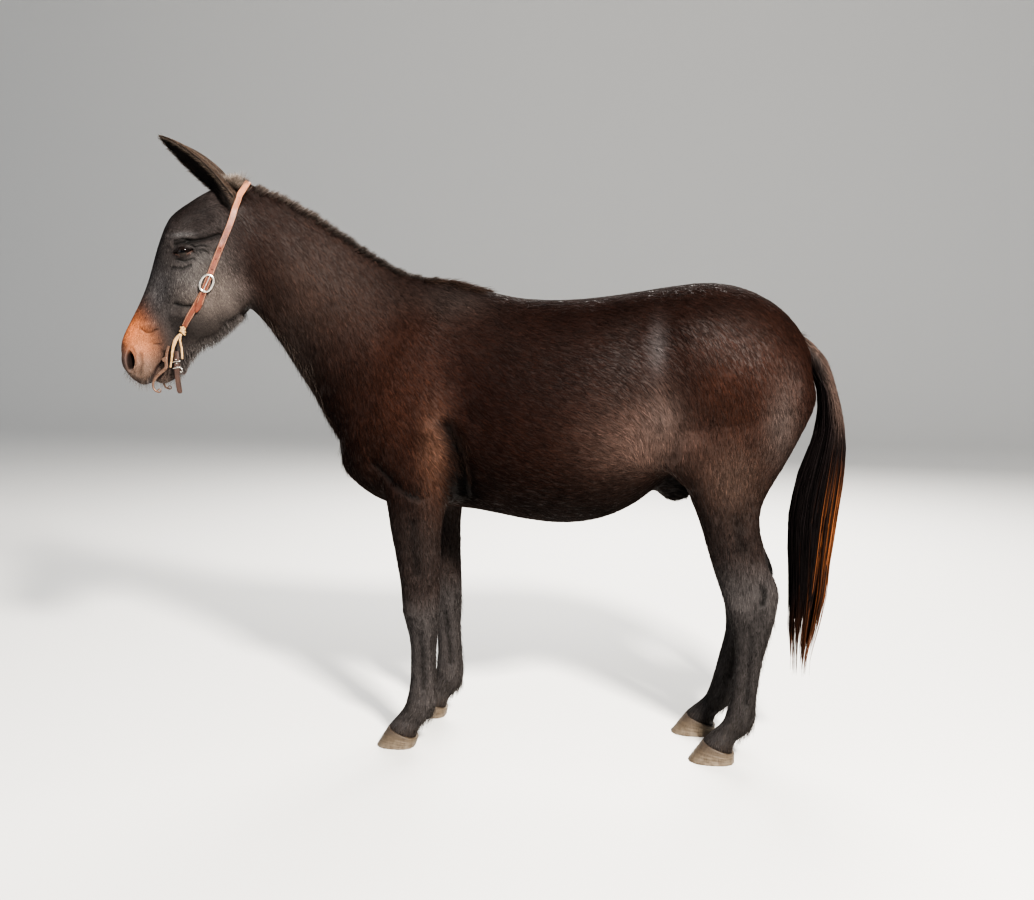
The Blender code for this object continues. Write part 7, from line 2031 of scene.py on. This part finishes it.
def makeKnot(sideName):
    side = sides[sideName]
    centre, up = seated(mirrored(knotForm["centre"], side), knotForm["half"][1] + 0.001)
    pieces = []
    for k in range(4):  # wraps of the thong, one over the other
        turn = k * 0.62 - 0.9
        ring = []
        for i in range(28):
            t = math.tau * i / 28
            a, b = math.cos(t) * (0.0088 + 0.0006 * k), math.sin(t) * (0.0062 + 0.0007 * k)
            x, z = a * math.cos(turn) * 1.0, a * math.sin(turn)
            spot = centre + Vector((x, b * side, z)) + Vector((-0.0012, 0, 0.0035)) * (k - 1.5)
            ring.append(tuple(spot))
        pieces.append(sweep("wrap", ring, 0.0026, 0.0017, closed=True, corners=8, power=2.2))
    core = ball("core", tuple(centre), (0.0085, 0.0055, 0.0095))
    pieces.append(core)
    for tail in ((-0.004, 0.010, 0.014), (0.010, 0.007, 0.010)):
        end = centre + Vector((tail[0], side * tail[1] * 0.6, tail[2]))
        path = refined([tuple(centre), tuple((centre + end) / 2 + Vector((0, side * 0.003, 0))), tuple(end)], 4)
        pieces.append(sweep("end", path, 0.0026, 0.0014, corners=8, power=2.2))
    for route, halves in thongs:
        line = refined([mirrored(p, side) + (w,) for p, w in zip(route, halves)], 8)
        wave = 0.0004 * np.sin(np.arange(len(line)) * 1.3)
        line[:, 0] += wave
        pieces.append(sweep("thong", line[:, :3], line[:, 3], 0.0021, corners=10, power=2.4))
    knot = joinAll(pieces, "rawhide_knot_" + sideName)
    knot.data.shade_smooth()
    finishPiece(settle(knot), "rawhide", "rawhide", "tie_" + sideName)


bitForm = {
    "place": (-1.297, 1.196),
    "bar": 0.0062,
    "out": 0.066,
    "shank": (  # x, z, half width
        (-1.279, 1.238, 0.0042), (-1.285, 1.218, 0.0052), (-1.289, 1.195, 0.0058), (-1.290, 1.172, 0.0054), (-1.307, 1.156, 0.0050),
        (-1.321, 1.142, 0.0044), (-1.330, 1.127, 0.0038), (-1.331, 1.111, 0.0033), (-1.325, 1.100, 0.0030), (-1.314, 1.095, 0.0028),
    ),
}  # fmt: skip


def makeBit():
    pieces = []
    for side in sides.values():
        line = refined([(x, z, w) for x, z, w in bitForm["shank"]], 6)
        path = np.column_stack([line[:, 0], np.full(len(line), bitForm["out"] * side), line[:, 1]])
        pieces.append(sweep("shank", path, line[:, 2], 0.0030, corners=14, power=2.3))
        ring = []
        for i in range(24):
            t = math.tau * i / 24
            ring.append((-1.3135 + 0.0052 * math.cos(t), bitForm["out"] * side + 0.0012, 1.0995 + 0.0052 * math.sin(t)))
        pieces.append(sweep("ring", ring, 0.0016, 0.0016, closed=True, corners=8, power=2))
        deselect()
        bpy.ops.mesh.primitive_cylinder_add(vertices=32, radius=0.0085, depth=0.0022)
        boss = bpy.context.active_object
        bpy.ops.object.mode_set(mode="EDIT")
        bpy.ops.mesh.bevel(offset=0.0006, segments=2)
        bpy.ops.object.mode_set(mode="OBJECT")
        spot = np.array((bitForm["place"][0] + 0.006, side * (bitForm["out"] + 0.0028), bitForm["place"][1]))
        setPoints(boss, getPoints(boss)[:, [0, 2, 1]] + spot)
        turnOut(boss)
        pieces.append(boss)
    ends = [(bitForm["place"][0], y, bitForm["place"][1] + 0.004 * (1 - (y / 0.066) ** 2)) for y in np.linspace(-0.064, 0.064, 17)]
    pieces.append(sweep("bar", ends, bitForm["bar"], bitForm["bar"], [(0, 0, 1)] * 17, corners=16, power=2))
    bit = joinAll(pieces, "bit")
    bit.data.shade_smooth()
    choose(bit)
    bpy.ops.object.shade_smooth_by_angle(angle=math.radians(50))
    finishPiece(settle(bit), "bronze", "bit_metal", "curb_bit")


curbForm = {
    "x": -1.257,
    "half": 0.0078,
    "thick": 0.003,
    "band": (
        (0.052, 1.222, 1.0, 0.0), (0.054, 1.190, 1.0, -0.2), (0.041, 1.160, 0.7, -0.7), (0.000, 1.147, 0.0, -1.0),
        (-0.041, 1.160, -0.7, -0.7), (-0.054, 1.190, -1.0, -0.2), (-0.052, 1.222, -1.0, 0.0),
    ),
    "end": (
        (-1.2580, -0.0550, 1.202, 0.0082), (-1.2575, -0.0600, 1.178, 0.0082), (-1.2570, -0.0605, 1.150, 0.0082),
        (-1.2520, -0.0605, 1.104, 0.0080), (-1.2505, -0.0605, 1.095, 0.0066), (-1.2500, -0.0605, 1.091, 0.0035),
    ),
    "loop": ((-1.2575, -0.0629, 1.171), (0.0116, 0.0049), 0.0015),
}  # fmt: skip


def makeCurb():
    rings = []
    for y, z, outY, outZ in refined(curbForm["band"], 8):
        out = Vector((0, outY, outZ)).normalized()
        centre = Vector((curbForm["x"], y, z))
        rings.append([centre + Vector((a * curbForm["half"], 0, 0)) + out * rise * curbForm["thick"] for a, rise in strapShape])
    band = loft("band", rings)
    rings = []
    for x, y, z, half in refined(curbForm["end"], 6):
        centre = Vector((x, y, z))
        rings.append([centre + Vector((-a * half, -rise * 0.0045, 0)) for a, rise in strapShape])
    end = loft("end", rings)
    strap = joinAll([band, end], "curb_strap_set")
    strap.data.shade_smooth()
    choose(strap)
    bpy.ops.object.shade_smooth_by_angle(angle=math.radians(40))
    finishPiece(settle(strap), "darkLeather", "dark_leather", "curb_strap")
    centre, half, wire = curbForm["loop"]
    pieces = []
    for lift in (0.0, 0.019):
        ring = []
        for i in range(40):
            t = math.tau * i / 40
            a = math.copysign(abs(math.cos(t)) ** 0.5 * half[0], math.cos(t))
            b = math.copysign(abs(math.sin(t)) ** 0.5 * half[1], math.sin(t))
            ring.append((centre[0] + a, centre[1] + b, centre[2] + lift + 0.002 * math.cos(t)))
        pieces.append(sweep("loop", ring, wire, wire, [(0, 0, 1)] * 40, closed=True, corners=10, power=2))
    hook = refined([(-1.2455, -0.0655, 1.172), (-1.2415, -0.0665, 1.168), (-1.2400, -0.0665, 1.161), (-1.2435, -0.0660, 1.157), (-1.2470, -0.0655, 1.160)], 4)
    pieces.append(sweep("hook", hook, 0.0013, 0.0013, corners=8, power=2))
    for k in range(3):
        stud = ball("stud", (-1.2590 + 0.0015 * k, -0.0652, 1.196 - 0.0115 * k), (0.0022, 0.0013, 0.0022))
        pieces.append(stud)
    metal = joinAll(pieces, "curb_metal")
    metal.data.shade_smooth()
    finishPiece(settle(metal), "silver", "buckle_metal", "curb_loop")

skin.data.shade_smooth()
finishPiece(
    settle(skin), "skin", "coat", "torso", "neck", "head", "leg_front_left", "leg_front_right", "leg_hind_left", "leg_hind_right"
)
crownPreview, crownWays = layStrap("crown_route", bothWays(crownRoute), tack["thick"], 8)
bpy.data.objects.remove(crownPreview)
growCoat()
say("coat grown")
growMane()
growTail()
growDetails()
say("long hair grown")
for sideName in sides:
    makeEye(sideName)
    makeEar(sideName)
makeLashes()
say("eyes and ears made")
for end in ("front", "hind"):
    for sideName in sides:
        makeHoof(end, sideName)
say("hooves made")
makeStraps()
for sideName in sides:
    makeBuckle(sideName)
    makeKnot(sideName)
makeBit()
makeCurb()
say("tack made")

# Floor, light and camera
studio = {
    "spot": (0.442, -3.799, 1.41),  # camera, before the model is centred
    "turn": math.radians(9.5),
    "dip": math.atan(160 / 1250),
    "lens": 1250 / 1034 * 36,
    "sweep": [(-20, -0.0005), (8, -0.0005)]
    + [(8 + 6 * math.sin(a), 6 - 6 * math.cos(a) - 0.0005) for a in np.linspace(0.1, math.pi / 2, 14)]
    + [(14, 30)],
}


def makeStudio():
    deselect()
    bpy.ops.mesh.primitive_plane_add(size=1)
    floor = bpy.context.active_object
    floor.name = "floor"
    rim = [(x, y, z) for y, z in studio["sweep"] for x in (-30, 30)]
    floor.data.clear_geometry()
    faces = [(2 * i, 2 * i + 1, 2 * i + 3, 2 * i + 2) for i in range(len(studio["sweep"]) - 1)]
    floor.data.from_pydata(rim, [], faces)
    floor.data.shade_smooth()
    paper = bpy.data.materials.new("floorPaper")
    paper.use_nodes = True
    shader = paper.node_tree.nodes["Principled BSDF"]
    shader.inputs["Base Color"].default_value = (0.62, 0.61, 0.59, 1)
    shader.inputs["Roughness"].default_value = 0.9
    floor.data.materials.append(paper)
    world = bpy.data.worlds.new("studio")
    bpy.context.scene.world = world
    world.use_nodes = True
    world.node_tree.nodes["Background"].inputs[0].default_value = (0.78, 0.84, 0.92, 1)
    world.node_tree.nodes["Background"].inputs[1].default_value = 0.42
    lights = (
        ("key", (2.9, -4.4, 4.7), 0.8, 1500, (1.0, 0.95, 0.88)),
        ("fill", (-3.8, -4.0, 2.4), 3.0, 70, (0.90, 0.95, 1.0)),
        ("rim", (0.5, 4.2, 3.8), 3.0, 480, (1.0, 0.97, 0.93)),
    )
    for name, spot, size, power, colour in lights:
        lamp = bpy.data.lights.new(name, "AREA")
        lamp.size, lamp.energy, lamp.color = size, power, colour
        obj = bpy.data.objects.new(name, lamp)
        bpy.context.scene.collection.objects.link(obj)
        obj.location = spot
        obj.rotation_euler = (Vector((0, 0, 0.9)) - Vector(spot)).to_track_quat("-Z", "Y").to_euler()
    lens = bpy.data.cameras.new("camera")
    lens.lens, lens.sensor_width = studio["lens"], 36
    lens.clip_end = 200
    camera = bpy.data.objects.new("camera", lens)
    bpy.context.scene.collection.objects.link(camera)
    camera.location = Vector(studio["spot"]) + Vector(shift)
    ahead = Vector((-math.sin(studio["turn"]), math.cos(studio["turn"]), 0)) * math.cos(studio["dip"])
    ahead.z = -math.sin(studio["dip"])
    camera.rotation_euler = ahead.to_track_quat("-Z", "Y").to_euler()
    bpy.context.scene.camera = camera
    bpy.context.scene.view_settings.look = "AgX - High Contrast"


makeStudio()
say("studio set")
